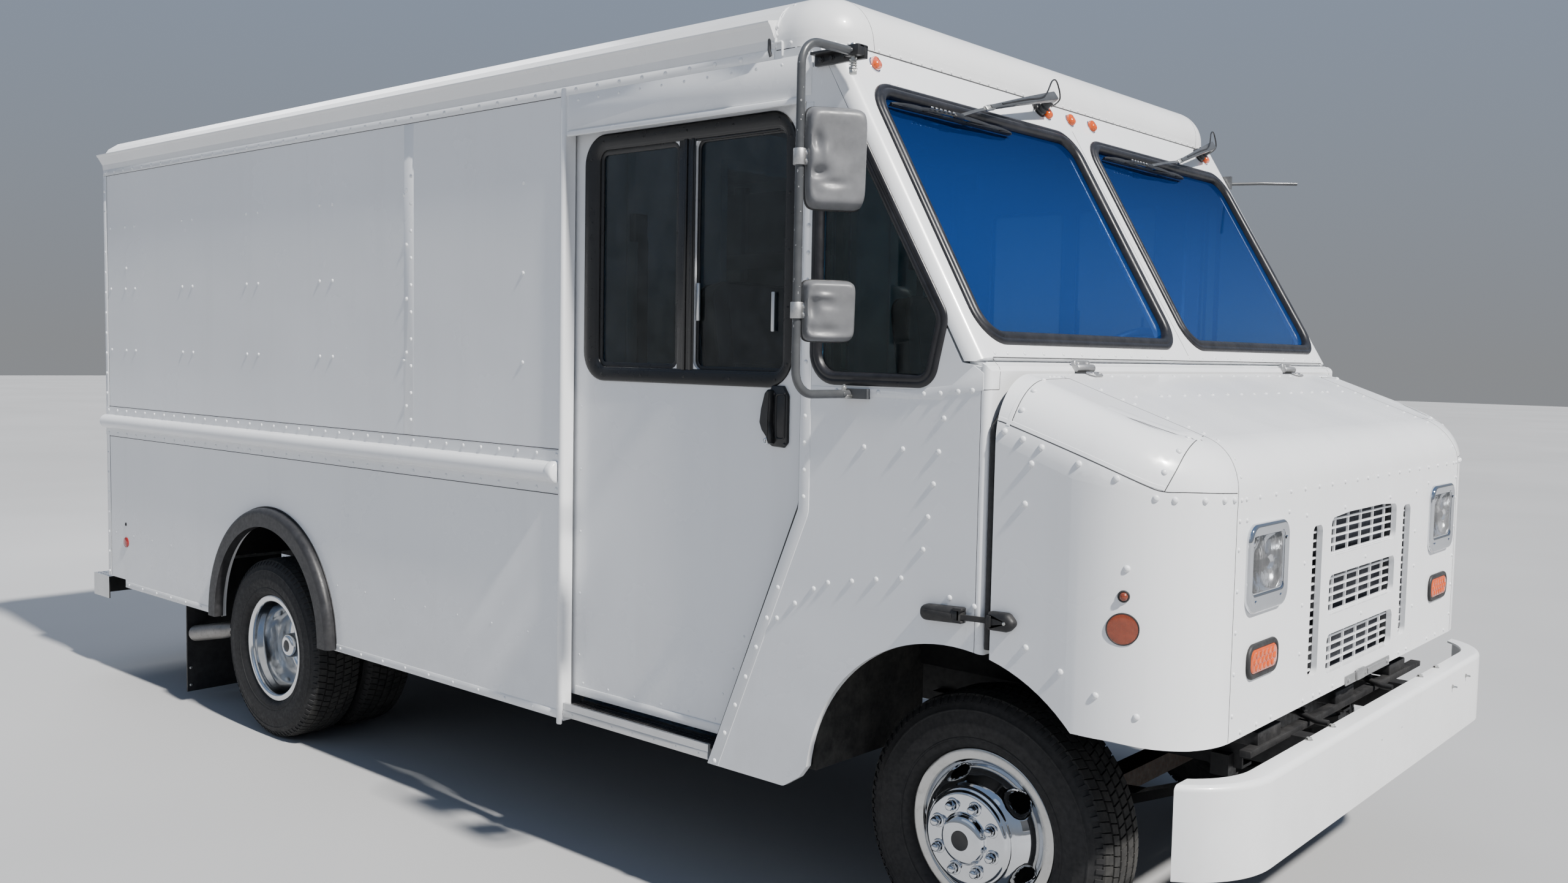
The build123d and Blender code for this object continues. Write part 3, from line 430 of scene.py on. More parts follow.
# ================================================================ materials
class Mat:
    """A small node material."""

    def __init__(self, name, color=(0.8, 0.8, 0.8), rough=0.5, metal=0.0, coat=0.0, coat_rough=0.1, spec=0.5, ior=1.5):
        self.m = bpy.data.materials.new(name)
        self.m.use_nodes = True
        self.t = self.m.node_tree
        self.t.nodes.clear()
        self.out = self.node("ShaderNodeOutputMaterial")
        self.p = self.node("ShaderNodeBsdfPrincipled")
        self.link(self.p.outputs[0], self.out.inputs[0])
        i = self.p.inputs
        i["Base Color"].default_value = (*color, 1)
        i["Roughness"].default_value = rough
        i["Metallic"].default_value = metal
        i["Coat Weight"].default_value = coat
        i["Coat Roughness"].default_value = coat_rough
        i["Specular IOR Level"].default_value = spec
        i["IOR"].default_value = ior
        self.co = self.node("ShaderNodeTexCoord").outputs["Object"]
        self.m.diffuse_color = (*color, 1)

    def node(self, kind, **kw):
        n = self.t.nodes.new(kind)
        for k, v in kw.items():
            setattr(n, k, v)
        return n

    def link(self, a, b):
        self.t.links.new(a, b)

    def scaled(self, sx, sy, sz, rot=(0, 0, 0)):
        n = self.node("ShaderNodeMapping")
        n.inputs["Scale"].default_value = (sx, sy, sz)
        n.inputs["Rotation"].default_value = rot
        self.link(self.co, n.inputs["Vector"])
        return n.outputs[0]

    def noise(self, scale, detail=3.0, rough=0.5, vec=None, dist=0.0):
        n = self.node("ShaderNodeTexNoise")
        n.inputs["Scale"].default_value = scale
        n.inputs["Detail"].default_value = detail
        n.inputs["Roughness"].default_value = rough
        n.inputs["Distortion"].default_value = dist
        self.link(vec or self.co, n.inputs["Vector"])
        return n.outputs[0]

    def ramp(self, fac, stops):
        n = self.node("ShaderNodeValToRGB")
        e = n.color_ramp.elements
        while len(e) > len(stops):
            e.remove(e[-1])
        while len(e) < len(stops):
            e.new(1.0)
        for el, (p, c) in zip(e, stops):
            el.position = p
            el.color = (c, c, c, 1) if isinstance(c, (int, float)) else (*c, 1)
        self.link(fac, n.inputs[0])
        return n.outputs[0]

    def val(self, fac, lo, hi, a=0.3, b=0.7):
        n = self.node("ShaderNodeMapRange")
        n.inputs["From Min"].default_value = a
        n.inputs["From Max"].default_value = b
        n.inputs["To Min"].default_value = lo
        n.inputs["To Max"].default_value = hi
        self.link(fac, n.inputs["Value"])
        return n.outputs[0]

    def math(self, op, a, b=None):
        n = self.node("ShaderNodeMath", operation=op)
        for k, q in enumerate((a, b)):
            if q is None:
                continue
            if isinstance(q, (int, float)):
                n.inputs[k].default_value = q
            else:
                self.link(q, n.inputs[k])
        return n.outputs[0]

    def mix(self, fac, a, b):
        n = self.node("ShaderNodeMix", data_type="RGBA")
        for sock, q in ((n.inputs[0], fac), (n.inputs[6], a), (n.inputs[7], b)):
            if isinstance(q, (int, float)):
                sock.default_value = q
            elif isinstance(q, tuple):
                sock.default_value = (*q, 1)
            else:
                self.link(q, sock)
        return n.outputs[2]

    def axis(self, k):
        n = self.node("ShaderNodeSeparateXYZ")
        self.link(self.co, n.inputs[0])
        return n.outputs[k]

    def color(self, sock):
        self.link(sock, self.p.inputs["Base Color"])
        return self

    def rough(self, sock):
        self.link(sock, self.p.inputs["Roughness"])
        return self

    def bump(self, height, strength=0.2, dist=0.001):
        n = self.node("ShaderNodeBump")
        n.inputs["Strength"].default_value = strength
        n.inputs["Distance"].default_value = dist
        self.link(height, n.inputs["Height"])
        have = self.p.inputs["Normal"]
        if have.is_linked:
            self.link(have.links[0].from_socket, n.inputs["Normal"])
        self.link(n.outputs[0], have)
        return self


def paint(name, base=(0.80, 0.81, 0.825), wave=1.0, dirt=0.5, rough=(0.17, 0.30), top=0.95):
    """Gloss enamel on thin sheet: slow waves, orange peel, road dust low down and in streaks."""
    m = Mat(name, base, 0.25, coat=0.25, coat_rough=0.07)
    slow = m.noise(0.8, 2.0)
    c = m.mix(m.val(slow, 0.0, 1.0), tuple(v * 0.965 for v in base), tuple(min(1.0, v * 1.03) for v in base))
    streak = m.noise(1.0, 5.0, 0.6, m.scaled(9.0, 9.0, 0.8))
    c = m.mix(m.val(streak, 0.0, 0.10, 0.52, 0.8), c, (0.50, 0.49, 0.47))
    low = m.val(m.axis(2), 1.0, 0.0, 0.36, top)
    cloud = m.noise(6.0, 6.0, 0.65)
    d = m.math("MULTIPLY", low, m.val(cloud, 0.15, 1.0, 0.3, 0.75))
    d = m.math("MULTIPLY", d, 0.42 * dirt)
    c = m.mix(d, c, (0.36, 0.335, 0.30))
    speck = m.val(m.noise(520.0, 1.0), 0.0, 0.35 * dirt, 0.70, 0.78)
    c = m.mix(m.math("MULTIPLY", speck, low), c, (0.22, 0.2, 0.18))
    m.color(c)
    r = m.val(m.noise(3.1, 4.0), rough[0], rough[1])
    m.rough(m.math("ADD", r, m.math("MULTIPLY", d, 0.9)))
    m.bump(m.noise(1.0, 1.5, 0.4, m.scaled(1.6, 1.6, 2.4)), 0.5 * wave, 0.012)
    m.bump(m.noise(5.5, 1.0), 0.35 * wave, 0.0014)
    m.bump(m.noise(380.0, 2.0), 0.10, 0.0003)
    return m.m


def metal(name, base, rough=(0.05, 0.12), scale=9.0, brush=None, dirt=0.0, bump=0.0, dark=(0.05, 0.045, 0.04)):
    m = Mat(name, base, sum(rough) / 2, metal=1.0)
    c = m.mix(m.val(m.noise(scale, 4.0), 0.0, 1.0), tuple(v * 0.93 for v in base), tuple(min(1, v * 1.05) for v in base))
    if dirt:
        grime = m.val(m.noise(scale * 4, 6.0, 0.7), 0.0, dirt, 0.5, 0.78)
        c = m.mix(grime, c, dark)
    m.color(c)
    n = m.noise(scale * 2, 5.0, 0.6, m.scaled(*brush) if brush else None)
    m.rough(m.val(n, rough[0], rough[1]))
    if bump:
        m.bump(m.noise(60.0, 3.0, 0.6, m.scaled(*brush) if brush else None), bump, 0.0005)
    return m.m


def rubber(name, base=(0.013, 0.013, 0.014), rough=(0.42, 0.62), dust=0.3, grain=350.0, dust_col=(0.12, 0.115, 0.11), bump=0.25):
    m = Mat(name, base, 0.5, spec=0.4)
    c = m.mix(m.val(m.noise(40.0, 4.0), 0, 1), tuple(v * 0.75 for v in base), tuple(v * 1.35 for v in base))
    d = m.math("MULTIPLY", m.val(m.noise(11.0, 6.0, 0.7), 0.0, dust, 0.4, 0.8), 1.0)
    c = m.mix(d, c, dust_col)
    m.color(c)
    m.rough(m.math("ADD", m.val(m.noise(90.0, 3.0), rough[0], rough[1]), m.math("MULTIPLY", d, 0.5)))
    m.bump(m.noise(grain, 3.0), bump, 0.0006)
    return m.m


def plastic(name, base, rough=(0.35, 0.5), grain=700.0, bump=0.15, fade=0.2, fade_col=(0.3, 0.3, 0.3), coat=0.0):
    m = Mat(name, base, 0.4, coat=coat)
    c = m.mix(m.val(m.noise(25.0, 4.0), 0, 1), tuple(v * 0.85 for v in base), tuple(min(1, v * 1.15) for v in base))
    c = m.mix(m.val(m.noise(7.0, 6.0, 0.7), 0.0, fade, 0.45, 0.8), c, fade_col)
    m.color(c)
    m.rough(m.val(m.noise(60.0, 3.0), rough[0], rough[1]))
    m.bump(m.noise(grain, 3.0), bump, 0.0004)
    return m.m


def glass(name, tint, haze=0.0, spec_tint=None, ior=1.5, dust=0.06):
    """Sheet glass that lets lamps through, with a little dust."""
    m = Mat(name, tint, 0.0, ior=ior)
    m.p.inputs["Transmission Weight"].default_value = 1.0
    m.p.inputs["Roughness"].default_value = 0.015
    if spec_tint:
        m.p.inputs["Specular Tint"].default_value = (*spec_tint, 1)
        m.p.inputs["Specular IOR Level"].default_value = 1.0
    c = m.mix(m.val(m.noise(3.0, 3.0), 0, 1), tuple(v * 0.92 for v in tint), tuple(min(1, v * 1.06) for v in tint))
    m.color(c)
    film = m.node("ShaderNodeBsdfDiffuse")
    film.inputs["Color"].default_value = (0.55, 0.56, 0.56, 1)
    mixd = m.node("ShaderNodeMixShader")
    m.link(m.val(m.noise(14.0, 7.0, 0.7), 0.0, dust, 0.35, 0.85), mixd.inputs[0])
    m.link(m.p.outputs[0], mixd.inputs[1])
    m.link(film.outputs[0], mixd.inputs[2])
    lp = m.node("ShaderNodeLightPath")
    tr = m.node("ShaderNodeBsdfTransparent")
    tr.inputs["Color"].default_value = (*[min(1, v * 0.9 + 0.05) for v in tint], 1)
    mx = m.node("ShaderNodeMixShader")
    m.link(lp.outputs["Is Shadow Ray"], mx.inputs[0])
    m.link(mixd.outputs[0], mx.inputs[1])
    m.link(tr.outputs[0], mx.inputs[2])
    m.link(mx.outputs[0], m.out.inputs[0])
    return m.m


def screen_glass_painted_sky():
    """Windscreen: deep sky-blue gloss as a painted sky reflection, with painted shade denser to the top, clearer low
    down.
    """
    m = Mat("windscreen_glass_painted_sky", (0.10, 0.30, 0.70), 0.0)
    m.p.inputs["Transmission Weight"].default_value = 1.0
    m.p.inputs["Roughness"].default_value = 0.01
    # blue specular tint: painted sky colour in the reflections
    m.p.inputs["Specular Tint"].default_value = (0.45, 0.7, 1.0, 1)
    # see-through tint darker towards the top: painted shade of the reflected sky
    m.color(m.mix(m.val(m.axis(2), 0.0, 1.0, 1.65, 2.3), (0.30, 0.52, 0.84), (0.06, 0.20, 0.52)))
    # blue glossy layer: painted sky reflection, darker towards the top
    painted_sky_sheen = m.node("ShaderNodeBsdfGlossy")
    m.link(m.mix(m.val(m.axis(2), 0.0, 1.0, 1.75, 2.35), (0.04, 0.22, 0.70), (0.02, 0.07, 0.24)), painted_sky_sheen.inputs["Color"])
    painted_sky_sheen.inputs["Roughness"].default_value = 0.05
    # dark blue diffuse layer: painted dark reflection, darker towards the top
    painted_dark_sky = m.node("ShaderNodeBsdfDiffuse")
    m.link(m.mix(m.val(m.axis(2), 0.0, 1.0, 1.75, 2.35), (0.005, 0.065, 0.27), (0.002, 0.014, 0.07)), painted_dark_sky.inputs["Color"])
    two = m.node("ShaderNodeMixShader")
    two.inputs[0].default_value = 0.5
    m.link(painted_dark_sky.outputs[0], two.inputs[1])
    m.link(painted_sky_sheen.outputs[0], two.inputs[2])
    # the painted reflection layers take more of the glass towards the top
    mixd = m.node("ShaderNodeMixShader")
    m.link(m.val(m.axis(2), 0.22, 0.74, 1.68, 2.32), mixd.inputs[0])
    m.link(m.p.outputs[0], mixd.inputs[1])
    m.link(two.outputs[0], mixd.inputs[2])
    lp = m.node("ShaderNodeLightPath")
    tr = m.node("ShaderNodeBsdfTransparent")
    tr.inputs["Color"].default_value = (0.35, 0.5, 0.72, 1)
    mx = m.node("ShaderNodeMixShader")
    m.link(lp.outputs["Is Shadow Ray"], mx.inputs[0])
    m.link(mixd.outputs[0], mx.inputs[1])
    m.link(tr.outputs[0], mx.inputs[2])
    m.link(mx.outputs[0], m.out.inputs[0])
    return m.m


def lens(name, tint, rough=0.12, sub=0.0, emit=0.0):
    """Coloured lamp plastic."""
    m = Mat(name, tint, rough, coat=0.6, coat_rough=0.04)
    c = m.mix(m.val(m.noise(60.0, 3.0), 0, 1), tuple(v * 0.8 for v in tint), tuple(min(1, v * 1.15) for v in tint))
    m.color(c)
    m.p.inputs["Transmission Weight"].default_value = 0.35
    m.rough(m.val(m.noise(200.0, 2.0), rough * 0.7, rough * 1.5))
    m.bump(m.noise(160.0, 1.0), 0.25, 0.0006)
    return m.m


def vinyl(name, base, grain=260.0):
    """Upholstery hide with a fine pebble grain, worn lighter on top."""
    m = Mat(name, base, 0.55, spec=0.35)
    v = m.node("ShaderNodeTexVoronoi", feature="F1")
    v.inputs["Scale"].default_value = grain
    m.link(m.co, v.inputs["Vector"])
    wear = m.val(m.noise(9.0, 5.0, 0.65), 0, 1, 0.42, 0.78)
    c = m.mix(m.val(m.noise(30.0, 4.0), 0, 1), tuple(q * 0.8 for q in base), tuple(q * 1.2 for q in base))
    c = m.mix(m.math("MULTIPLY", wear, 0.35), c, tuple(min(1, q * 2.2 + 0.01) for q in base))
    m.color(c)
    m.rough(m.val(m.noise(50.0, 3.0), 0.42, 0.62))
    m.bump(v.outputs["Distance"], 0.35, 0.0006)
    m.bump(m.noise(22.0, 4.0), 0.25, 0.002)
    return m.m


def webbing(name, base):
    m = Mat(name, base, 0.6)
    w = m.node("ShaderNodeTexWave", wave_type="BANDS", bands_direction="DIAGONAL")
    w.inputs["Scale"].default_value = 260.0
    w.inputs["Distortion"].default_value = 0.6
    m.link(m.co, w.inputs["Vector"])
    m.color(m.mix(w.outputs[0], tuple(q * 0.7 for q in base), tuple(q * 1.25 for q in base)))
    m.bump(w.outputs[0], 0.5, 0.0006)
    return m.m


WHITE = paint("white_enamel")
WHITE_NOSE = paint("white_enamel_nose", (0.80, 0.81, 0.825), wave=0.5, dirt=0.5)
WHITE_ROOF = paint("white_enamel_roof", (0.78, 0.785, 0.79), wave=1.2, dirt=0.3, rough=(0.25, 0.4))
WHITE_BUMPER = paint("white_enamel_bumper", (0.79, 0.80, 0.81), wave=0.15, dirt=0.8, rough=(0.22, 0.36), top=0.72)
WHITE_IN = paint("white_inside", (0.52, 0.53, 0.53), wave=0.8, dirt=0.2, rough=(0.4, 0.55))
SEAM = rubber("seam_line", (0.05, 0.05, 0.052), (0.6, 0.8), 0.35, 200.0, (0.2, 0.2, 0.2))
CHROME = metal("bright_chrome", (0.66, 0.68, 0.71), (0.03, 0.09), 6.0, dirt=0.10)
LIP = metal("satin_rim_lip", (0.52, 0.52, 0.51), (0.16, 0.30), 12.0, dirt=0.25, bump=0.05)
CHROME_OLD = metal("chrome_dusty", (0.72, 0.73, 0.74), (0.07, 0.2), 8.0, dirt=0.28)
ALU = metal("bare_sheet_aluminium", (0.62, 0.63, 0.64), (0.28, 0.44), 7.0, (1.0, 40.0, 40.0), dirt=0.12, bump=0.1)
ALU_IN = metal("mill_aluminium_inside", (0.50, 0.51, 0.52), (0.35, 0.5), 5.0, (1.0, 30.0, 30.0), dirt=0.12, bump=0.12)
ZINC = metal("zinc_plate", (0.55, 0.55, 0.53), (0.3, 0.5), 40.0, dirt=0.3, bump=0.15)
CAST = metal("grey_casting", (0.46, 0.46, 0.46), (0.45, 0.62), 90.0, dirt=0.35, bump=0.35)
IRON = metal("rusty_iron", (0.045, 0.038, 0.034), (0.55, 0.75), 30.0, dirt=0.6, bump=0.5, dark=(0.10, 0.045, 0.02))
PIPE = metal("aluminised_pipe", (0.30, 0.29, 0.28), (0.4, 0.6), 20.0, dirt=0.35, bump=0.2)
BLACK_STEEL = plastic("black_chassis_paint", (0.010, 0.010, 0.011), (0.5, 0.7), 300.0, 0.3, 0.35, (0.045, 0.042, 0.038))
BLACK_TRIM = plastic("black_anodised", (0.006, 0.006, 0.0065), (0.26, 0.38), 900.0, 0.05, 0.1, (0.03, 0.03, 0.032), coat=0.1)
BLACK_PLASTIC = plastic("black_plastic", (0.014, 0.014, 0.015), (0.32, 0.48), 700.0, 0.2, 0.2, (0.09, 0.09, 0.09))
GREY_TUBE = plastic("dark_grey_enamel", (0.055, 0.058, 0.062), (0.28, 0.42), 600.0, 0.1, 0.25, (0.16, 0.16, 0.16), coat=0.15)
GREY_HEAD = plastic("grey_moulding", (0.135, 0.137, 0.143), (0.36, 0.5), 520.0, 0.3, 0.4, (0.19, 0.19, 0.195))
RUBBER = rubber("black_rubber")
RUBBER_FLARE = rubber("flare_rubber", (0.018, 0.018, 0.02), (0.34, 0.5), 0.25, 240.0, (0.10, 0.10, 0.10), 0.15)
GASKET = rubber("gasket_rubber", (0.011, 0.011, 0.013), (0.26, 0.4), 0.25, 300.0, (0.06, 0.058, 0.065), 0.1)
TYRE = rubber("tyre_rubber", (0.010, 0.010, 0.011), (0.58, 0.78), 0.30, 260.0, (0.04, 0.038, 0.036), 0.3)
TREAD = rubber("tread_rubber", (0.014, 0.014, 0.014), (0.7, 0.9), 0.6, 200.0, (0.075, 0.072, 0.066), 0.5)
GLASS_WS_PAINTED_SKY = screen_glass_painted_sky()
GLASS_SIDE = glass("side_glass", (0.30, 0.36, 0.35), dust=0.05)
GLASS_QUARTER = glass("quarter_glass", (0.20, 0.36, 0.35), dust=0.04)
GLASS_REAR = glass("rear_glass", (0.42, 0.47, 0.46), dust=0.08)
GLASS_LAMP = glass("lamp_glass", (0.95, 0.96, 0.97), dust=0.04)
AMBER = lens("amber_lens", (0.86, 0.115, 0.006))
AMBER_DEEP = lens("amber_reflector", (0.30, 0.055, 0.02), 0.22)
AMBER_DOT = lens("amber_dots", (0.95, 0.26, 0.03), 0.1)
RED = lens("red_lens", (0.50, 0.012, 0.010))
CLEAR = lens("clear_lens", (0.75, 0.76, 0.78))
MIRROR = metal("silvered_glass", (0.88, 0.89, 0.90), (0.01, 0.03), 3.0)
VINYL = vinyl("seat_vinyl_dark", (0.030, 0.031, 0.034))
VINYL_TAN = vinyl("engine_cover_mat", (0.045, 0.045, 0.045), 180.0)
DASH = plastic("dash_moulding", (0.045, 0.047, 0.05), (0.5, 0.65), 400.0, 0.35, 0.15, (0.09, 0.09, 0.09))
BELT = webbing("belt_webbing", (0.02, 0.02, 0.022))
FLOOR_MAT = rubber("floor_rubber", (0.02, 0.02, 0.02), (0.6, 0.8), 0.7, 120.0, (0.12, 0.115, 0.105), 0.5)
RAD = metal("radiator_core", (0.05, 0.05, 0.055), (0.5, 0.7), 40.0, (1.0, 1.0, 60.0), dirt=0.3, bump=0.3)
# near-black sheet colour behind the grille: painted shade inside the nose
PAINTED_SHADE_NAVY = plastic("painted_shade_screen", (0.010, 0.012, 0.022), (0.5, 0.7), 300.0, 0.3, 0.2, (0.03, 0.03, 0.04))
# near-black for the inner faces of the nose sheets: painted shade inside the nose
NOSE_IN_PAINTED_SHADE = plastic("nose_inside_painted_shade", (0.03, 0.03, 0.032), (0.6, 0.8), 300.0, 0.3, 0.3, (0.07, 0.07, 0.07))
LED = metal("reflector_bright", (0.82, 0.83, 0.85), (0.06, 0.14), 30.0)

CAD_MATERIALS = {
    "white": (WHITE, ("right_side_wall", "left_side_wall", "right_cab_side", "left_cab_side", "right_cab_door",
                      "left_cab_door", "right_rear_door", "left_rear_door", "rub_rails", "rear_frame",
                      "windshield_frame", "cowl")),
    "roof": (WHITE_ROOF, ("roof", "roof_front_cap")),
    "nose": (WHITE_NOSE, ("fascia", "hood", "nose_sides", "grille")),
    "bumper": (WHITE_BUMPER, ("front_bumper",)),
    "chassis": (BLACK_STEEL, ("ladder_frame", "leaf_springs", "fuel_tank")),
    "step": (ALU, ("rear_bumper",)),
    "iron": (IRON, ("front_axle", "rear_axle", "right_knuckle", "left_knuckle", "engine")),
    "pipe": (PIPE, ("exhaust",)),
    "inside": (WHITE_IN, ("bulkhead",)),
    "alu": (ALU, ("door_sills",)),
    "alu_in": (ALU_IN, ("cargo_floor",)),
    "floor": (FLOOR_MAT, ("cab_floor",)),
    "dash": (DASH, ("dashboard",)),
    "cover": (VINYL_TAN, ("engine_cover",)),
    "seatbase": (BLACK_STEEL, ("seat_bases",)),
    "wheel": (BLACK_PLASTIC, ("steering_wheel",)),
    "rad": (RAD, ("radiator",)),
    "flare": (RUBBER_FLARE, ("rear_flares",)),
    "tube": (GREY_TUBE, ("mirror_arms",)),
    "lampbody": (CHROME, ("headlights",)),
    # the windscreen glass carries a painted sky reflection and painted shade
    "ws_painted_sky": (GLASS_WS_PAINTED_SKY, ("cab_glass",)),
    "side": (GLASS_SIDE, ("right_cab_door_glass", "left_cab_door_glass")),
    "rear": (GLASS_REAR, ("right_rear_door_glass", "left_rear_door_glass")),
}
for mat_, names_ in CAD_MATERIALS.values():
    for nm_ in names_:
        me_ = NODES[nm_].data
        me_.materials.clear()
        me_.materials.append(mat_)

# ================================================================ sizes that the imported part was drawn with
HALF_W = 1180.0
X_REAR, X_POST, X_DOOR_F, X_CAB, X_NOSE, X_FASCIA, X_BUMPER = -2733.0, 733.0, 1716.0, 2305.0, 2328.0, 2814.0, 2912.0
Z_STRIP = 2440.0
WS_BOTTOM, WS_TOP = (2278.0, 1630.0), (1805.0, 2440.0)
RAKE = math.atan2(WS_BOTTOM[0] - WS_TOP[0], WS_TOP[1] - WS_BOTTOM[1])
FRONT_X, REAR_X, TYRE_R, RIM_R = 2156.0, -1135.0, 371.0, 221.0
FRONT_Y, REAR_YO, REAR_YI = 832.0, 1083.5, 843.5
WS_LEN = (WS_TOP[1] - WS_BOTTOM[1]) / math.cos(RAKE)


def ws_frame():
    """a across to the left, b up the windscreen plane, c out of it."""
    up = (-math.sin(RAKE), 0, math.cos(RAKE))
    out = (math.cos(RAKE), 0, math.sin(RAKE))
    return Fr((WS_BOTTOM[0], 0, WS_BOTTOM[1]), (0, 1, 0), up, out)


WSF = ws_frame()


def both(name, g, mats, body, slot=None, **kw):
    """A right-hand piece and its mirror image; body may name the right body."""
    a = make("right_" + name, g, mats, body, slot, **kw)
    other = body.replace("right_", "left_") if body.startswith("right_") else body
    b = make("left_" + name, g.mirrored(), mats, other, slot, **kw)
    return a, b


# ================================================================ wheels and tyres
def wheel_frame(x, y, s):
    """c points out of the van; a forward, b up."""
    return Fr((x, y, TYRE_R), (1, 0, 0), (0, 0, 1), (0, s, 0))


def tyre(g, fr, tread_seg=84):
    """Tyre about the frame's c axis: carcass, sidewall rings, tread blocks."""
    h = 111.5
    side = [(RIM_R + 0.8, 86), (RIM_R + 3, 92), (RIM_R + 10, 100), (RIM_R + 18, 104.5), (RIM_R + 26, 105.0), (RIM_R + 27.5, 107.0),
            (RIM_R + 31, 107.2), (RIM_R + 32.5, 106), (268, 109.5), (286, 111.2), (287.5, 111.5), (292, 111.5), (293.5, 110.9),
            (308, 110.2), (322, 107.6), (323.5, 108.6), (327, 108.2), (328.5, 106.4), (340, 102.5), (350, 97), (357, 90.5), (361, 86)]
    prof = [(207, 71)] + side + [(362, 74), (362, 0)]
    full = prof + [(r, -c) for r, c in reversed(prof[:-1])] + [(207, 40)]
    lathe(g, full, fr, 144, 0)
    # tread: five ribs of blocks
    ribs = ((-88, -58, 0.0), (-50, -22, 0.5), (-14, 14, 0.0), (22, 50, 0.5), (58, 88, 0.0))
    for c0, c1, ph in ribs:
        n = tread_seg
        shoulder = abs(c0 + c1) > 120
        for k in range(n):
            a0 = (k + ph + 0.07) * 2 * math.pi / n
            a1 = (k + ph + 0.93) * 2 * math.pi / n
            sk = 0.12 * 2 * math.pi / n * (1 if c0 + c1 > 0 else -1)
            vs = []
            for rr, e in ((360.5, 0.0), (TYRE_R - 1.0, 0.0), (TYRE_R, 0.6)):
                for aa, cc, sgn, ea in ((a0, c0, -1, 1), (a1, c0, -1, -1), (a1, c1, 1, -1), (a0, c1, 1, 1)):
                    edge = -sgn * e
                    drop = 0.0
                    if shoulder and ((cc < 0) == (c0 + c1 < 0)) and abs(cc) > 80:
                        drop = 5.0 if rr > 361 else 0.0
                        edge += sgn * (3.0 if rr < 361 else 0.0)
                    th = aa + (sk if cc == c1 else -sk) + ea * e / 371
                    vs.append(fr((rr - drop) * math.cos(th), (rr - drop) * math.sin(th), cc + edge))
            g.add(vs, [(0, 1, 5, 4), (1, 2, 6, 5), (2, 3, 7, 6), (3, 0, 4, 7), (4, 5, 9, 8), (5, 6, 10, 9), (6, 7, 11, 10),
                       (7, 4, 8, 11), (8, 9, 10, 11)], 1)
    # shoulder notches run down the side
    for k in range(tread_seg):
        for sg in (-1, 1):
            a = (k + 0.5) * 2 * math.pi / tread_seg
            w = 0.26 * 2 * math.pi / tread_seg
            vs = []
            for rr, cc in ((345, 100.0), (357, 92.5), (362, 87.5)):
                for aa in (a - w, a + w):
                    vs.append(fr(rr * math.cos(aa), rr * math.sin(aa), sg * (cc - 1.0)))
                for aa in (a + w * 0.8, a - w * 0.8):
                    vs.append(fr((rr + 1.5) * math.cos(aa), (rr + 1.5) * math.sin(aa), sg * (cc + 2.2)))
            g.add(vs, [(0, 1, 5, 4), (1, 2, 6, 5), (2, 3, 7, 6), (3, 0, 4, 7), (4, 5, 9, 8), (5, 6, 10, 9), (6, 7, 11, 10), (7, 4, 8, 11),
                       (0, 3, 2, 1), (8, 9, 10, 11)], 0)
    return g


def dished(g, profile, fr, seg, holes, mat=0):
    """A turned sheet with drawn-in hand holes. holes: (count, first angle, radius, half length along, half width across, lo, hi)."""
    count, first, rc, hl, hw, r_lo, r_hi = holes
    rows, verts, faces = [], [], []
    # refine the profile where the holes are
    prof = [profile[0]]
    for (r0, h0), (r1, h1) in zip(profile, profile[1:]):
        L = math.hypot(r1 - r0, h1 - h0)
        inside = r_lo - 6 <= max(r0, r1) and min(r0, r1) <= r_hi + 6
        n = max(1, int(L / 3.0)) if inside else 1
        for k in range(1, n + 1):
            prof.append((r0 + (r1 - r0) * k / n, h0 + (h1 - h0) * k / n))
    es = []
    for r, h in prof:
        row = []
        for k in range(seg):
            th = 2 * math.pi * k / seg
            e = 9.0
            if r_lo - 8 < r < r_hi + 8:
                for q in range(count):
                    d = (th - first - 2 * math.pi * q / count + math.pi) % (2 * math.pi) - math.pi
                    e = min(e, math.hypot(d * r / hl, (r - rc) / hw))
            t = max(0.0, min(1.0, (1.22 - e) / 0.30))
            dip = -13.0 * t * t * (3 - 2 * t)
            row.append(len(verts))
            es.append(e)
            verts.append(fr(r * math.cos(th), r * math.sin(th), h + dip))
        rows.append(row)
    for a, b in zip(rows, rows[1:]):
        for k in range(seg):
            q = (a[k], a[(k + 1) % seg], b[(k + 1) % seg], b[k])
            if sum(es[i] for i in q) / 4 > 0.93:
                faces.append(q)
    return g.add(verts, faces, mat)


def lug(g, fr, a, b, base, r=12.5, L=24.0, mat=0):
    """Cone-ended wheel nut on a ringed seat."""
    f = Fr(fr(a, b, base), fr.a, fr.b, fr.c)
    lathe(g, [(r * 1.55, -1), (r * 1.55, 1.5), (r * 1.45, 3), (r * 1.15, 3.4), (r * 1.12, 5.5)], f, 20, mat)
    hexa = [Vector((r * 1.05 * math.cos(math.pi / 3 * k + 0.3), r * 1.05 * math.sin(math.pi / 3 * k + 0.3))) for k in range(6)]
    loft(g, hexa, f, [(0, 3), (0, L * 0.55), (-0.8, L * 0.6)], mat, cap0=False, cap1=False)
    lathe(g, [(r * 0.98, L * 0.55), (r * 0.93, L * 0.70), (r * 0.80, L * 0.86), (r * 0.52, L * 0.96), (0, L)], f, 16, mat)


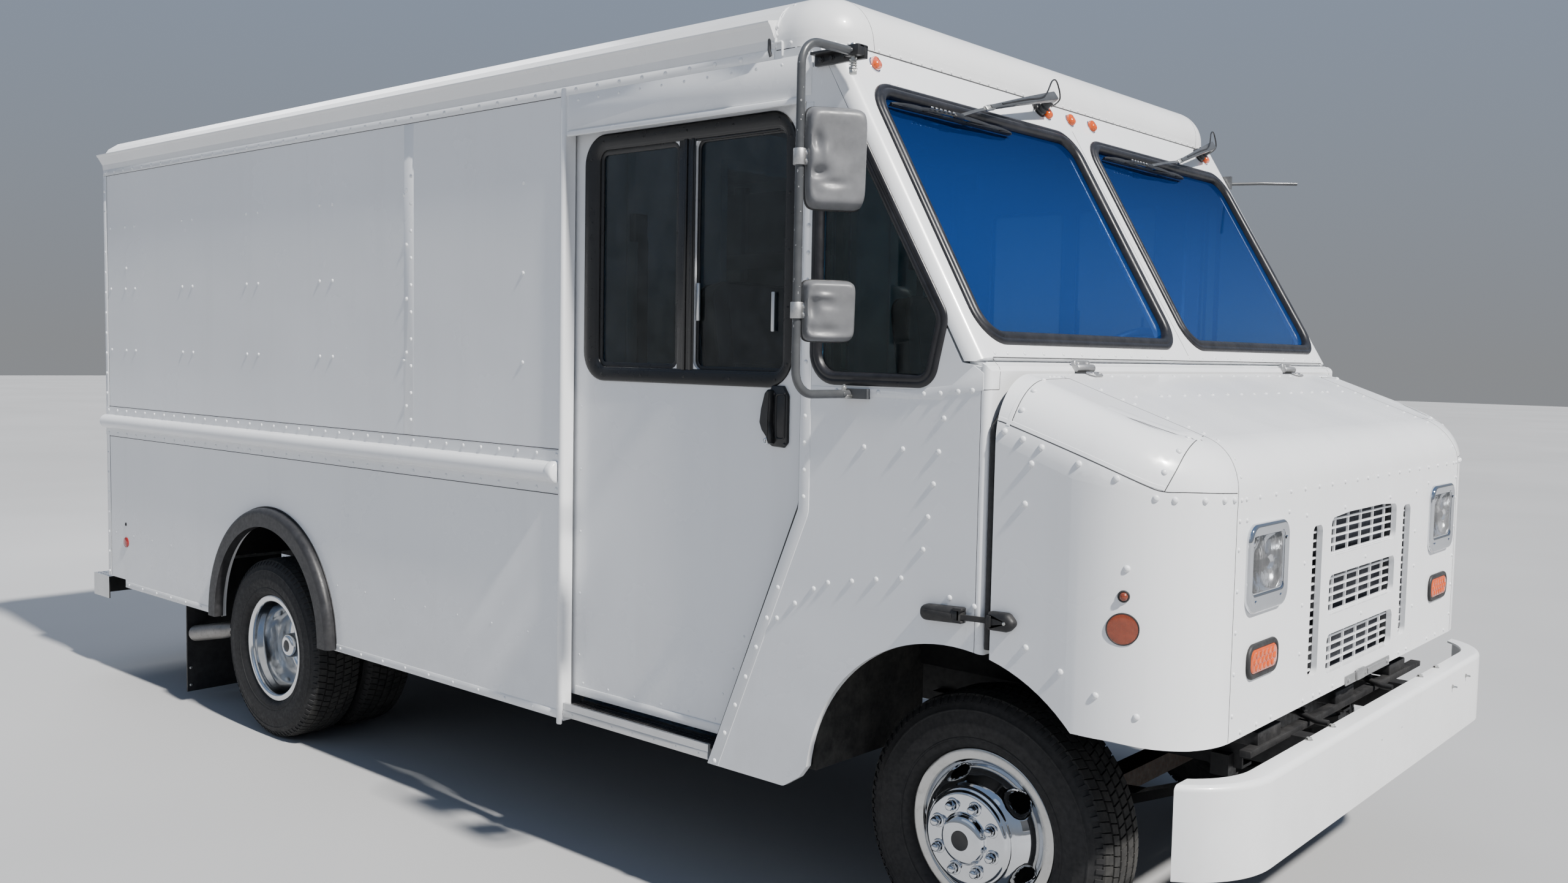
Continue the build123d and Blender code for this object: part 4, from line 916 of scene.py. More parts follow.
def front_wheel(g, fr):
    """Polished full-face cover: flat lip, bowl with hand holes, stepped disc, hub dome. 0 chrome, 1 dark, 2 black cap."""
    lathe(g, [(206, 40), (209, 74), (RIM_R, 78), (RIM_R + 0.5, 84), (RIM_R - 1, 88), (RIM_R - 4, 89.5), (RIM_R - 16, 90), (RIM_R - 28, 89), (RIM_R - 33, 87),
              (186, 82)], fr, 128, 3)
    bowl = [(186, 82), (184.5, 76), (183, 70), (181.5, 71.5), (178, 80), (172, 94), (164, 109), (155, 123), (146, 134), (139, 141),
            (134, 144.5), (131.5, 147), (131, 151), (129, 154), (125.5, 155), (123, 157), (121.5, 161), (119.5, 164), (116, 165.5),
            (112, 166), (78, 166), (70, 167)]
    dished(g, bowl, fr, 240, (5, math.radians(FRONT_HOLE), 163.0, 34.0, 15.0, 146.0, 181.0))
    lathe(g, [(70, 167), (67, 168.5), (65.5, 173), (64, 180), (60, 185), (52, 188.5), (42, 190.5), (30, 191.2), (26.5, 191.0)], fr, 64, 0)
    lathe(g, [(26.5, 191.0), (25.5, 192.2), (24, 192.0), (22, 191.3), (0, 191.6)], fr, 40, 2)
    for k in range(8):
        t = 2 * math.pi * (k + 0.5) / 8 + math.radians(4)
        lug(g, fr, 90 * math.cos(t), 90 * math.sin(t), 165.5, 12.5, 27)
    # dark drum and rim well behind the cover
    lathe(g, [(181, 66), (179, 30), (176, 6), (150, 0), (60, 0), (30.1, 0)], fr, 64, 1)
    lathe(g, [(206, 72), (203, 40), (190, 14), (190, -30), (203, -55), (206, -76), (RIM_R, -80), (RIM_R, -88), (198, -88),
              (194, -56), (181, -34), (181, 10), (176, 30)], fr, 96, 1)
    return g


def rear_wheel(g, fr):
    """Deep outer wheel of a pair; fr stands on the middle plane between the tyres. 0 chrome, 1 dark, 2 black."""
    o = 120.0
    lathe(g, [(206, o + 60), (209, o + 74), (RIM_R, o + 77), (RIM_R + 0.5, o + 84), (RIM_R - 1, o + 87.5), (RIM_R - 4, o + 89), (RIM_R - 20, o + 89.5),
              (RIM_R - 24, o + 88), (194, o + 84)], fr, 128, 0)
    barrel = [(194, o + 84), (191.5, o + 78), (190.5, o + 66), (189.5, o + 58), (183, o + 40), (181, o + 30), (180.5, o + 0), (180.5, o - 30),
              (181.0, o - 44), (178, o - 60), (174, o - 76), (170, o - 84), (165, o - 90)]
    lathe(g, barrel, fr, 128, 0)
    disc = [(165, 30), (162, 27.5), (150, 26), (138, 26.5), (126, 28), (120, 31), (112, 37), (108, 40), (104, 41.5), (66, 41.5), (62, 42)]
    dished(g, disc, fr, 240, (8, math.radians(12), 143.0, 20.0, 11.0, 122.0, 164.0))
    lathe(g, [(62, 42), (58.5, 46), (55, 60), (52, 92), (50, 128), (47.5, 143), (44, 149), (36, 152), (26, 152.5), (24.5, 152), (23.5, 150.6)], fr, 64, 0)
    lathe(g, [(23.5, 150.6), (22, 151.2), (0, 151.5)], fr, 32, 2)
    for k in range(8):
        t = 2 * math.pi * (k + 0.5) / 8
        lug(g, fr, 83 * math.cos(t), 83 * math.sin(t), 41.5, 12.5, 30)
    # inner drum, behind the disc, and the inner wheel
    lathe(g, [(165, 30), (165, 10), (150, -2), (60, -6), (43, -6)], fr, 64, 1)
    lathe(g, [(206, o + 72), (203, o + 55), (190, o + 34), (190, o - 34), (203, o - 55), (206, o - 76), (RIM_R, o - 80), (RIM_R, o - 88), (198, o - 90),
              (192, 8), (192, -8), (198, -o + 90), (RIM_R, -o + 88), (RIM_R, -o + 80), (206, -o + 76), (203, -o + 55), (190, -o + 34),
              (190, -o - 34), (203, -o - 55), (206, -o - 74), (RIM_R, -o - 78), (RIM_R, -o - 88), (197, -o - 88), (194, -o - 56),
              (181, -o - 34), (181, -o + 34), (176, -24), (165, -14), (150, -12), (100, -14), (95, -70), (42.1, -70)], fr, 96, 1)
    return g


FRONT_HOLE = 42.0
for side, s in (("right", -1), ("left", 1)):
    g = tyre(Geo(), wheel_frame(FRONT_X, s * FRONT_Y, s))
    make(f"{side}_front_tyre_tread", g, [TYRE, TREAD], f"{side}_front_wheel", "tyre_black", stands_for=(f"{side}_front_tyre",), sharp=32)
    g = front_wheel(Geo(), wheel_frame(FRONT_X, s * FRONT_Y, s))
    make(f"{side}_front_wheel_cover", g, [CHROME, BLACK_STEEL, BLACK_PLASTIC, LIP], f"{side}_front_wheel", "chrome_plate",
         stands_for=(f"{side}_front_wheel",), sharp=50)
    g = tyre(Geo(), wheel_frame(REAR_X, s * REAR_YO, s))
    tyre(g, wheel_frame(REAR_X, s * REAR_YI, s))
    make(f"{side}_rear_tyre_treads", g, [TYRE, TREAD], f"{side}_rear_wheels", "tyre_black", stands_for=(f"{side}_rear_tyres",), sharp=32)
    g = rear_wheel(Geo(), wheel_frame(REAR_X, s * (REAR_YO + REAR_YI) / 2, s))
    make(f"{side}_rear_wheel_pair", g, [CHROME_OLD, BLACK_STEEL, BLACK_PLASTIC], f"{side}_rear_wheels", "chrome_plate",
         stands_for=(f"{side}_rear_wheels",), sharp=50)

# ================================================================ body sides: strips, seams, rivets
g = Geo()
sy = -HALF_W
# lap strip under the roof, from the rear corner to the cap
rbox(g, FY(0, sy, 0), X_REAR + 2, 1600, 2418, 2446, -0.5, 2.2, 1.2)
# lap of the two side sheets
rbox(g, FY(0, sy, 0), -164, -104, 1312, 2416, -0.5, 0.2, 0.2)
# rear corner angle
rbox(g, FY(0, sy, 0), X_REAR + 1, X_REAR + 34, 484, 2417, -0.5, 1.6, 1.0)
# lap along the skirt
rbox(g, FY(0, sy, 0), -2530, -1636, 444, 470, -0.5, 1.2, 0.8)
rbox(g, FY(0, sy, 0), -628, 716, 444, 470, -0.5, 1.2, 0.8)
both("side_laps", g, WHITE, "van_body", "white_paint")

g = Geo()


def side_row(pts, y=sy, r=7.5, h=4.6, off=0.0):
    for x, z in pts:
        rivet(g, (x, y - off, z), (0, -1, 0), r, h)


side_row([(-2702 + 99.5 * k, 2432) for k in range(43)], off=2.0)
side_row([(-120, 2231 - 96.1 * k) for k in range(10)], off=1.0)
side_row([(-148, 2183 - 192.2 * k) for k in range(5)], off=1.0)
side_row([(-166, 2170), (-166, 1580)])
for xa, xb in ((-2498, -2395), (-1910, -1811), (-1323, -1226), (-743, -649)):
    side_row([(x, z) for x in (xa, xb) for z in (2164, 1874, 1584)], r=7.0, h=4.2)
side_row([(-2660, 2166), (-2660, 1877), (-2660, 1586), (-2488, 1971)], r=7.0, h=4.2)
side_row([(520, z) for z in (2164, 1874, 1584)], r=7.0, h=4.2)
side_row([(-2717, 2345 - 97 * k) for k in range(20) if not 1150 < 2345 - 97 * k < 1330], off=1.4)
side_row([(-2700 + 100 * k, 1294) for k in range(35)], y=sy - 3, r=6.5, h=3.8)
side_row([(-2700 + 100 * k, 1184) for k in range(35)], y=sy - 3, r=6.5, h=3.8)
side_row([(-2500 + 148 * k, 457) for k in range(6)] + [(-600 + 148 * k, 457) for k in range(9)], r=6.0, h=3.4, off=1.0)
side_row([(-2640 + 196 * k, 700) for k in range(4)] + [(-620 + 196 * k, 700) for k in range(7)], r=4.0, h=1.6)
both("side_rivets", g, WHITE, "van_body", "white_paint", sharp=60)

# rub rail end caps
g = Geo()
f = Fr((0, sy, 1237), (0, -1, 0), (0, 0, 1), (1, 0, 0))
half = [(35.5 * math.sin(math.pi * k / 16), -35.5 * math.cos(math.pi * k / 16)) for k in range(17)]
capline = [Vector((-2.0, -35.5))] + [Vector((max(0.0, a), b)) for a, b in half] + [Vector((-2.0, 35.5))]
loft(g, capline, f, [(0, 676), (1.6, 680), (1.6, 700), (0, 705), (-3, 708), (-7, 709.5)], 0)
both("rub_rail_caps", g, WHITE, "van_body", "white_paint")


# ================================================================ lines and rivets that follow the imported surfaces
def line_on(points, names, step=9.0):
    """Points along a smooth line, each put on the nearest surface: (point, outward normal)."""
    pts = [Vector(p) for p in points]
    out = []
    for i in range(len(pts) - 1):
        p0, p1, p2, p3 = pts[max(i - 1, 0)], pts[i], pts[i + 1], pts[min(i + 2, len(pts) - 1)]
        n = max(1, int((p2 - p1).length / step))
        for k in range(n if i < len(pts) - 2 else n + 1):
            t = k / n
            q = 0.5 * ((2 * p1) + (p2 - p0) * t + (2 * p0 - 5 * p1 + 4 * p2 - p3) * t * t + (3 * p1 - p0 - 3 * p2 + p3) * t ** 3)
            out.append(q)
    res = []
    for q in out:
        c, n = snap(q, *names)
        if n.dot(c - Vector((c.x - 600 if abs(c.x) > 600 else 0, 0, 1100))) < 0:
            n = -n
        res.append((c, n))
    return res


def studs(g, pts, names, r=6.5, h=3.0, mat=0, lift=0.0):
    for p in pts:
        c, n = snap(p, *names)
        if n.dot(c - Vector((c.x - 600, 0, 1000))) < 0:
            n = -n
        rivet(g, c + n * lift, n, r, h, mat=mat)


NOSE = ("hood", "nose_sides", "fascia")

# ---------------------------------------------------------------- cab side panels
g = Geo()
edge = rounded([(X_DOOR_F, 2291), (X_DOOR_F, 1216), (1390, 445), (1431, 445), (1752, 1205), (1752, 2262), (1742, 2270), (1742, 2291)],
               [0, 60, 0, 0, 90, 0, 0, 0], 8)
prism(g, edge, FY(0, sy, 0), -0.5, 1.5, 0.8, steps=2)
# lap over the window panel, and the small filler over the header
rbox(g, FY(0, sy, 0), 744, 1733, 2311, 2418, -0.5, 1.3, 0.8)
low = rounded([(1752, 1524), (2172, 1524), (2186, 1538), (2290, 1551), (2290, 1592), (2262, 1610), (2200, 1560), (2080, 1546), (1752, 1546)],
              [0, 4, 4, 0, 0, 0, 0, 0, 0], 3)
prism(g, low, FY(0, sy, 0), -0.5, 1.2, 0.7, steps=2)
# header drip strip
prism(g, rect(0, 16, -0.5, 10, 2.5, 3), Fr((748, sy, 2290), (0, 0, 1), (0, -1, 0), (1, 0, 0)), 0, 962, 1.5, 1.5, 2)
both("cab_panel_laps", g, WHITE, "van_body", "white_paint")

g = Geo()
cab_pts = [(2178, 1478), (2165, 1395), (2152, 1314), (2138, 1231), (2126, 1148), (1933, 1393), (2056, 1395), (1774, 1003), (1823, 1026),
           (1903, 1040), (1982, 1055), (2061, 1068), (2209, 1038), (2281, 1026), (1709, 955), (1645, 905), (2166, 1539), (2218, 1545),
           (2259, 1549), (1976, 1535), (2116, 1536), (1840, 1535)]
for x, z in cab_pts:
    rivet(g, (x, sy - 0.2, z), (0, -1, 0), 7.5, 4.6)
for k in range(15):
    rivet(g, (1733, sy - 1.5, 2258 - 72.2 * k), (0, -1, 0), 6.8, 4.0)
for x, z in ((1648, 990), (1609, 900), (1571, 812), (1533, 722), (1495, 634), (1456, 546), (1418, 457)):
    rivet(g, (x, sy - 1.5, z), (0, -1, 0), 7.5, 4.6)
for x in range(790, 1720, 93):
    rivet(g, (x, sy - 1.2, 2400), (0, -1, 0), 5.0, 2.2)
for x, z in ((1606, 2455), (1656, 2455), (1608, 2503), (1605, 2482), (1717, 2420), (1731, 2396)):
    rivet(g, (x, sy - 0.4, z), (0, -1, 0), 6.0, 2.8)
both("cab_rivets", g, WHITE, "van_body", "white_paint", sharp=60)

# cap joint: raised edge, bent drip bead, sealant bead in the gap
g = Geo()
cap_edge = [(1602, -1181, 2462), (1602, -1181.5, 2492), (1603, -1178, 2519), (1603, -1160, 2540), (1603, -1128, 2562), (1603, -1085, 2580),
            (1603, -1030, 2590), (1603, -940, 2593), (1603, -600, 2594), (1603, 0, 2594)]
ribbon(g, line_on(cap_edge, ("roof_front_cap",)), 12.0, 2.2, 0, 1.0)
bead = [(1593, sy - 2.5, 2461), (1628, sy - 2.5, 2462), (1630, sy - 2.5, 2424)]
sweep(g, bend_path(bead, 4, 4), circle(3.2, 8), up=(0, -1, 0))
strip2 = [(1733, sy - 2.5, 2423), (1736, sy - 2.5, 2380)]
sweep(g, strip2, circle(2.6, 8), up=(0, -1, 0))
both("cap_joint", g, WHITE, "van_body", "white_paint")
g = Geo()
seal = bend_path([(1590, sy - 4, 2500), (1583, sy - 3.4, 2470), (1582, sy - 2.6, 2445), (1588, sy - 2, 2427)], 12, 5)
sweep(g, seal, [(a * 1.6, b) for a, b in circle(3.6, 8)], up=(0, -1, 0))
both("cap_sealant", g, SEAM, "van_body", "black_rubber")

# ---------------------------------------------------------------- roof: long seams, cross seams and rivets
g = Geo()
names = ("roof",)
for x in (-2100, -1480, -860, -240, 380, 1000):
    ln = line_on([(x, -1040, 2588), (x, -620, 2598), (x, 0, 2598), (x, 620, 2598), (x, 1040, 2588)], names, 40.0)
    ribbon(g, ln, 42.0, 1.3, 0, 1.0)
for s in (-1, 1):
    for x in (-2100, -1480, -860, -240, 380, 1000):
        for y in range(60, 1060, 100):
            for dx in (-13, 13):
                rivet(g, (x + dx, s * y, 2598 - max(0.0, (y - 620)) * 10 / 430 + 1.0), (0, 0, 1), 5.5, 2.2)
make("roof_sheets", g, WHITE_ROOF, "van_body", "white_paint", sharp=60)

# rounded front cap: rivets over its lower edge, seams
g = Geo()
for k in range(45):
    y = -1089 + 49.5 * k
    if abs(y) < 1085:
        studs(g, [(1808, y, 2448)], ("roof_front_cap",), 5.0, 2.8)
for s in (-1, 1):
    studs(g, [(1800, s * 1105, 2449), (1780, s * 1140, 2449), (1750, s * 1165, 2449), (1706, s * 1178, 2449)], ("roof_front_cap",), 4.4, 2.0)
    studs(g, [(1620, s * 1120, 2562), (1620, s * 1040, 2588), (1620, s * 930, 2594)] + [(1620, s * y, 2594) for y in range(70, 900, 105)],
          ("roof_front_cap",), 5.0, 2.2)
make("cap_rivets", g, WHITE_ROOF, "van_body", "white_paint", sharp=60)
g = Geo()
for s in (-1, 1):
    ln = line_on([(1808, s * 1010, 2444), (1806, s * 1016, 2480), (1790, s * 1026, 2540), (1750, s * 1036, 2580), (1690, s * 1044, 2591), (1606, s * 1050, 2592)],
                 ("roof_front_cap",))
    ribbon(g, ln, 2.4, 0.25, 0, 0.4)
low_seam = [(1606, -1180.5, 2441), (1700, -1179, 2441), (1760, -1160, 2441), (1795, -1118, 2441), (1807, -1040, 2441), (1808, -900, 2441), (1808, 0, 2441),
            (1808, 900, 2441), (1807, 1040, 2441), (1795, 1118, 2441), (1760, 1160, 2441), (1700, 1179, 2441), (1606, 1180.5, 2441)]
ribbon(g, line_on(low_seam, ("roof_front_cap",), 14.0), 3.0, 0.3, 0, 0.4)
make("cap_seams", g, SEAM, "van_body", "black_rubber")

# ---------------------------------------------------------------- windscreen surround
g = Geo()
PANES = [[(66, 68), (66, 800), (1088, 800), (1100, 68)], [(-1100, 68), (-1088, 800), (-66, 800), (-66, 68)]]
gasket = [(31, -0.4), (30.4, 3), (28, 6.4), (23, 8.6), (18, 8.6), (15.6, 7.0), (14, 7.2), (12, 9.2), (6, 10.4), (-1, 9.4), (-5.5, 5.4), (-8.5, 0),
          (-10, -9.4), (-1, -11.5), (2, -0.6)]
for o in PANES:
    loft(g, rounded(o, 70, 10), WSF, gasket, wrap=True)
make("windscreen_gaskets", g, GASKET, "van_body", "black_rubber", sharp=60)

g = Geo()
QUARTER = [(1772, 1577), (2124, 1577), (2158, 1724), (1892, 2170), (1860, 2236), (1772, 2236)]
qpath = rounded(QUARTER, [60, 34, 45, 0, 40, 40], 9)
qg = [(27, -3), (26.5, 2.5), (24, 5.4), (19, 7.2), (14.5, 7.2), (12.4, 5.9), (10.8, 6), (8.6, 7.6), (3, 8.4), (-2, 7), (-6, 2.5), (-8.5, -7.6),
      (-1, -9.5), (2, -0.6)]
loft(g, qpath, FY(0, sy, 0), qg, wrap=True)
both("quarter_gasket", g, GASKET, "van_body", "black_rubber", sharp=60)

# inner slider bar of the quarter window and its latch
g = Geo()
rbox(g, FY(0, -1166, 0), 1838, 1856, 1590, 2228, -14, -2, 2.0)
rbox(g, FY(0, -1166, 0), 1795, 1806, 1590, 2228, -12, -2, 2.0)
both("quarter_bars", g, BLACK_TRIM, "van_body", "black_rubber")

# seams and rivets round the windscreen
g = Geo()
for y in (193, 286, 386, 481, 577, 673, 771, 872, 966, 1047, 1106):
    for s in (-1, 1):
        rivet(g, WSF(s * y, 13.5, 0.0), WSF.c, 6.0, 3.4)
for y in (97, 0):
    rivet(g, WSF(y, 13.5, 0.0), WSF.c, 5.2, 2.4)
for s in (-1, 1):
    for y in (967, 1002):
        rivet(g, WSF(s * y, 842, 0.0), WSF.c, 5.0, 2.2)
    for k in range(8):
        rivet(g, WSF(s * (30 if k % 2 else 24), 90 + 92 * k, 0.0), WSF.c, 3.6, 1.5)
make("windscreen_rivets", g, WHITE, "van_body", "white_paint", sharp=60)
g = Geo()
ribbon(g, [(WSF(-11 * k / 10, 8 + 84 * k, 0.1), WSF.c) for k in range(11)], 2.2, 0.3, 0, 0.4)
ribbon(g, [(Vector((2277.5, -1122 + 22.44 * k, 1630.5)), Vector((0.96, 0, 0.28))) for k in range(101)], 3.4, 0.4, 0, 0.5)
for s in (-1, 1):
    ln = line_on([(2271, s * 1112, 1626), (2284, s * 1118, 1619), (2297, s * 1126, 1608), (2305, s * 1131, 1590), (2305.5, s * 1133, 1553)],
                 ("cowl", "windshield_frame"), 5.0)
    ribbon(g, ln, 2.4, 0.3, 0, 0.4)
    ln = line_on([(2305.5, s * 1134, 1553), (2305, s * 1160, 1553), (2303, s * 1172, 1553), (2296, s * 1179, 1552), (2270, s * 1180, 1552)],
                 ("cowl", "right_cab_side" if s < 0 else "left_cab_side"), 4.0)
    ribbon(g, ln, 2.4, 0.3, 0, 0.4)
make("cowl_seams", g, SEAM, "van_body", "black_rubber")

# ---------------------------------------------------------------- clearance lamps over the windscreen
g = Geo()
for y in (-1040, -144, 2, 146, 1040):
    o = WSF(y, 893, 0)
    f = Fr(o, WSF.a, WSF.b, WSF.c)
    drop = [Vector((17 * math.cos(t) * (1 - 0.28 * math.sin(t)), 21 * math.sin(t) - 2)) for t in [2 * math.pi * k / 28 for k in range(28)]]
    loft(g, drop, f, [(2.5, 0), (2.5, 2.5), (1, 3.5), (-1, 3.5)], 1)
    loft(g, drop, f, [(-0.5, 2), (-0.8, 9), (-2.5, 14), (-5.5, 17.5), (-9.5, 19.5), (-13.5, 20.2)], 0)
make("clearance_lamps", g, [AMBER, CHROME], "van_body", "clear_glass")


# ---------------------------------------------------------------- wipers
def wiper(g, piv, elbow, ends, n_bar=6):
    """piv, elbow: (across, up, out) on the windscreen plane; ends: the blade's two ends. 0 grey arm, 1 black, 2 bright."""
    P, E = WSF(*piv), WSF(*elbow)
    # motor boot: ribbed cone from the panel to the pivot
    base = WSF(piv[0], piv[1], -4)
    f = Fr(base, WSF.a, WSF.b, WSF.c)
    L = piv[2]
    lathe(g, [(30, 2), (30, 6), (25, 8), (24, 14), (27, 16), (22, 20), (21, 26), (24, 28), (19, 32), (17, L - 14), (15, L - 12)], f, 24, 1)
    lathe(g, [(15, L - 12), (15.5, L - 4), (13.5, L - 2), (13.5, L + 4), (11, L + 8), (6, L + 9.5), (0, L + 10)], f, 20, 2)
    # flat channel arm: wide at the pivot, narrow at the joint
    d = (E - P)
    t = d.normalized()
    out = WSF.c - t * WSF.c.dot(t)
    out.normalize()
    w = out.cross(t)
    ring = []
    n = 10
    for k in range(n + 1):
        u = k / n
        half = 15 - 8.5 * u
        dep = 13 - 5 * u
        c = P + d * (u * 1.0) + out * (6 + 5 * math.sin(math.pi * u) * 0.6)
        ring.append([c - w * half - out * dep, c - w * half, c - w * (half - 3) + out * 2.4, c + w * (half - 3) + out * 2.4, c + w * half,
                     c + w * half - out * dep, c + w * (half - 1.8) - out * dep, c + w * (half - 1.8) - out * 1.5, c - w * (half - 1.8) - out * 1.5,
                     c - w * (half - 1.8) - out * dep])
    vs = [p for r in ring for p in r]
    m = len(ring[0])
    g.add(vs, [(i * m + k, i * m + (k + 1) % m, (i + 1) * m + (k + 1) % m, (i + 1) * m + k) for i in range(n) for k in range(m)]
          + [tuple(range(m)), tuple(n * m + k for k in range(m))], 0)
    # steel strip from the arm to the blade's clip
    a, b = WSF(*ends[0]), WSF(*ends[1])
    mid = (a + b) / 2
    clip = mid + WSF.c * 17
    fE = Fr(E, t, w, out)
    rbox(g, fE, -22, 26, -8.5, 8.5, -4, 6, 2.0, 2)
    sweep(g, bend_path([E + t * 10, E.lerp(clip, 0.55) + WSF.c * 4, clip], 60, 6), [(-4.5, -1.6), (4.5, -1.6), (4.5, 1.6), (-4.5, 1.6)], up=WSF.c, mat=0)
    # blade: two-level bows, squeegee
    bt = (b - a).normalized()
    Lb = (b - a).length
    up = WSF.c
    side = up.cross(bt)

    def bow(x0, x1, h0, h1, wd, mat):
        rows = []
        N = 14
        for k in range(N + 1):
            u = k / N
            x = x0 + (x1 - x0) * u
            h = h0 + (h1 - h0) * math.sin(math.pi * u) ** 0.8
            hw = wd * (0.45 + 0.55 * math.sin(math.pi * u))
            c = a + bt * x + up * h
            rows.append([c - side * hw, c - side * hw * 0.8 + up * 2.6, c + side * hw * 0.8 + up * 2.6, c + side * hw])
        vs = [p for r in rows for p in r]
        fs = [(i * 4 + k, i * 4 + (k + 1) % 4, i * 4 + 4 + (k + 1) % 4, i * 4 + 4 + k) for i in range(N) for k in range(4)]
        g.add(vs, fs + [(0, 1, 2, 3), (N * 4, N * 4 + 1, N * 4 + 2, N * 4 + 3)], mat)

    bow(Lb * 0.17, Lb * 0.83, 8, 17, 7, 1)
    for x0, x1 in ((0.02, 0.33), (0.67, 0.98)):
        bow(Lb * x0, Lb * x1, 4, 10.5, 5.5, 1)
    for x0, x1 in ((0.0, 0.11), (0.24, 0.40), (0.60, 0.76), (0.89, 1.0)):
        bow(Lb * x0, Lb * x1, 1.5, 5.5, 5, 1)
    rail = [(-4.2, -1.2), (4.2, -1.2), (4.2, 1.4), (-4.2, 1.4)]
    sweep(g, [a + up * 0.5, mid + up * 0.5, b + up * 0.5], rail, up=up, mat=1)
    lip = [(-2.6, -1), (-1.2, -4.5), (-0.5, -9.3), (0.5, -9.3), (1.2, -4.5), (2.6, -1)]
    sweep(g, [a, mid, b], lip, up=up, mat=1)
    fc = Fr(clip, bt, side, up)
    rbox(g, fc, -24, 24, -8, 8, -6, 5, 2.5, 1)
    # slots along the top bow
    for k in range(n_bar):
        x = Lb * (0.27 + 0.035 * k)
        rbox(g, Fr(a + bt * x + up * 24.5, bt, side, up), -5, 5, -2.2, 2.2, -3, 0.8, 0.6, 2)
    # washer hose: loop from the boot over the arm
    hose = [P + WSF.b * -10 + WSF.c * -34 + WSF.a * 24, P + WSF.a * 46 + WSF.b * 4 + WSF.c * -6, P + WSF.a * 30 + WSF.b * 46 + WSF.c * 16,
            P + WSF.a * -14 + WSF.b * 40 + WSF.c * 22, P + d * 0.22 + out * 13, P + d * 0.5 + out * 13, P + d * 0.85 + out * 10]
    pts = []
    for i in range(len(hose) - 1):
        p0, p1, p2, p3 = hose[max(i - 1, 0)], hose[i], hose[i + 1], hose[min(i + 2, len(hose) - 1)]
        for k in range(7):
            u = k / 7
            pts.append(0.5 * ((2 * p1) + (p2 - p0) * u + (2 * p0 - 5 * p1 + 4 * p2 - p3) * u * u + (3 * p1 - p0 - 3 * p2 + p3) * u ** 3))
    pts.append(hose[-1])
    sweep(g, pts, circle(2.6, 8), up=(0.3, 0.2, 0.9), mat=1)


g = Geo()
wiper(g, (-180, 905, 66), (-578, 812, 34), [(-1050, 762, 2), (-455, 764, 2)])
wiper(g, (1005, 905, 66), (690, 812, 34), [(125, 764, 2), (720, 762, 2)])
make("wipers", g, [GREY_TUBE, BLACK_PLASTIC, ZINC], "van_body", "black_rubber", sharp=45)

# ---------------------------------------------------------------- cowl hinges for the nose
g = Geo()
for s in (-1, 1):
    y = s * 723
    # leaf on the cowl, cast knuckle and leaf on the nose
    f = Fr((2292, y, 1606), (0, 1, 0), (-0.2, 0, 0.98), (0.98, 0, 0.2))
    prism(g, rect(-42, 42, -9, 20, 8, 4), f, 2, 13, 4)
    lathe(g, [(0, -46), (9, -45), (11, -42), (11, 42), (9, 45), (0, 46)], Fr((2308, y, 1606), (1, 0, 0), (0, 0, 1), (0, 1, 0)), 16)
    for dy in (-24, 24):
        hexbolt(g, f(dy, 8, 12.5), f.c, 5.5, 4.5, 0)
make("cowl_hinge_bodies", g, CAST, "van_body", "galvanised")
g = Geo()
for s in (-1, 1):
    y = s * 723
    leaf = [Vector((-36, -2)), Vector((36, -2)), Vector((32, 14)), Vector((20, 24)), Vector((-20, 24)), Vector((-32, 14))]
    f = Fr((2330, y, 1593), (0, 1, 0), (math.cos(math.radians(20)), 0, -math.sin(math.radians(20))),
           (math.sin(math.radians(20)), 0, math.cos(math.radians(20))))
    prism(g, rounded([tuple(v) for v in leaf], 7, 3), f, 0.2, 5, 2.5)
    for a, b in ((-18, 12), (18, 12)):
        rivet(g, f(a, b, 5), f.c, 5.5, 3)
make("cowl_hinge_leaves", g, CAST, "nose", "galvanised")

# ---------------------------------------------------------------- nose seams, rivets, edge seal
SIDE_SEAM = [(2330, -1180, 1482), (2361, -1172, 1471), (2499, -1170, 1426), (2615, -1162, 1385), (2690, -1128, 1350), (2724, -1105, 1338), (2760, -1066, 1337),
             (2790, -1012, 1334), (2806, -955, 1331), (2813, -912, 1329)]
HOOP = [(2363, -1174, 1470), (2367, -1160, 1500), (2369, -1130, 1537), (2369, -1090, 1563), (2366, -1030, 1578), (2361, -960, 1581), (2359, -893, 1581)]
HOOD_SEAM = [(2359, -893, 1581), (2465, -886, 1542), (2583, -876, 1499), (2706, -868, 1452), (2764, -874, 1422), (2795, -888, 1386), (2810, -903, 1340),
             (2814, -910, 1300), (2814, -911, 1200), (2814, -911, 1000), (2814, -911, 745)]
BALL = [(2724, -1105, 1338), (2734, -1081, 1376), (2736, -1029, 1422), (2726, -960, 1445), (2706, -868, 1453)]
g = Geo()
for pts in (SIDE_SEAM, HOOP, HOOD_SEAM, BALL):
    for m in (1, -1):
        ribbon(g, line_on([(x, y * m, z) for x, y, z in pts], NOSE, 7.0), 3.0, 0.35, 0, 0.5)
make("nose_seams", g, SEAM, "nose", "black_rubber")

# the upper sheets lap over the side and front sheets
g = Geo()


def shifted(pts, dz=0.0, dx=0.0):
    return [(x + dx, y, z + dz) for x, y, z in pts]


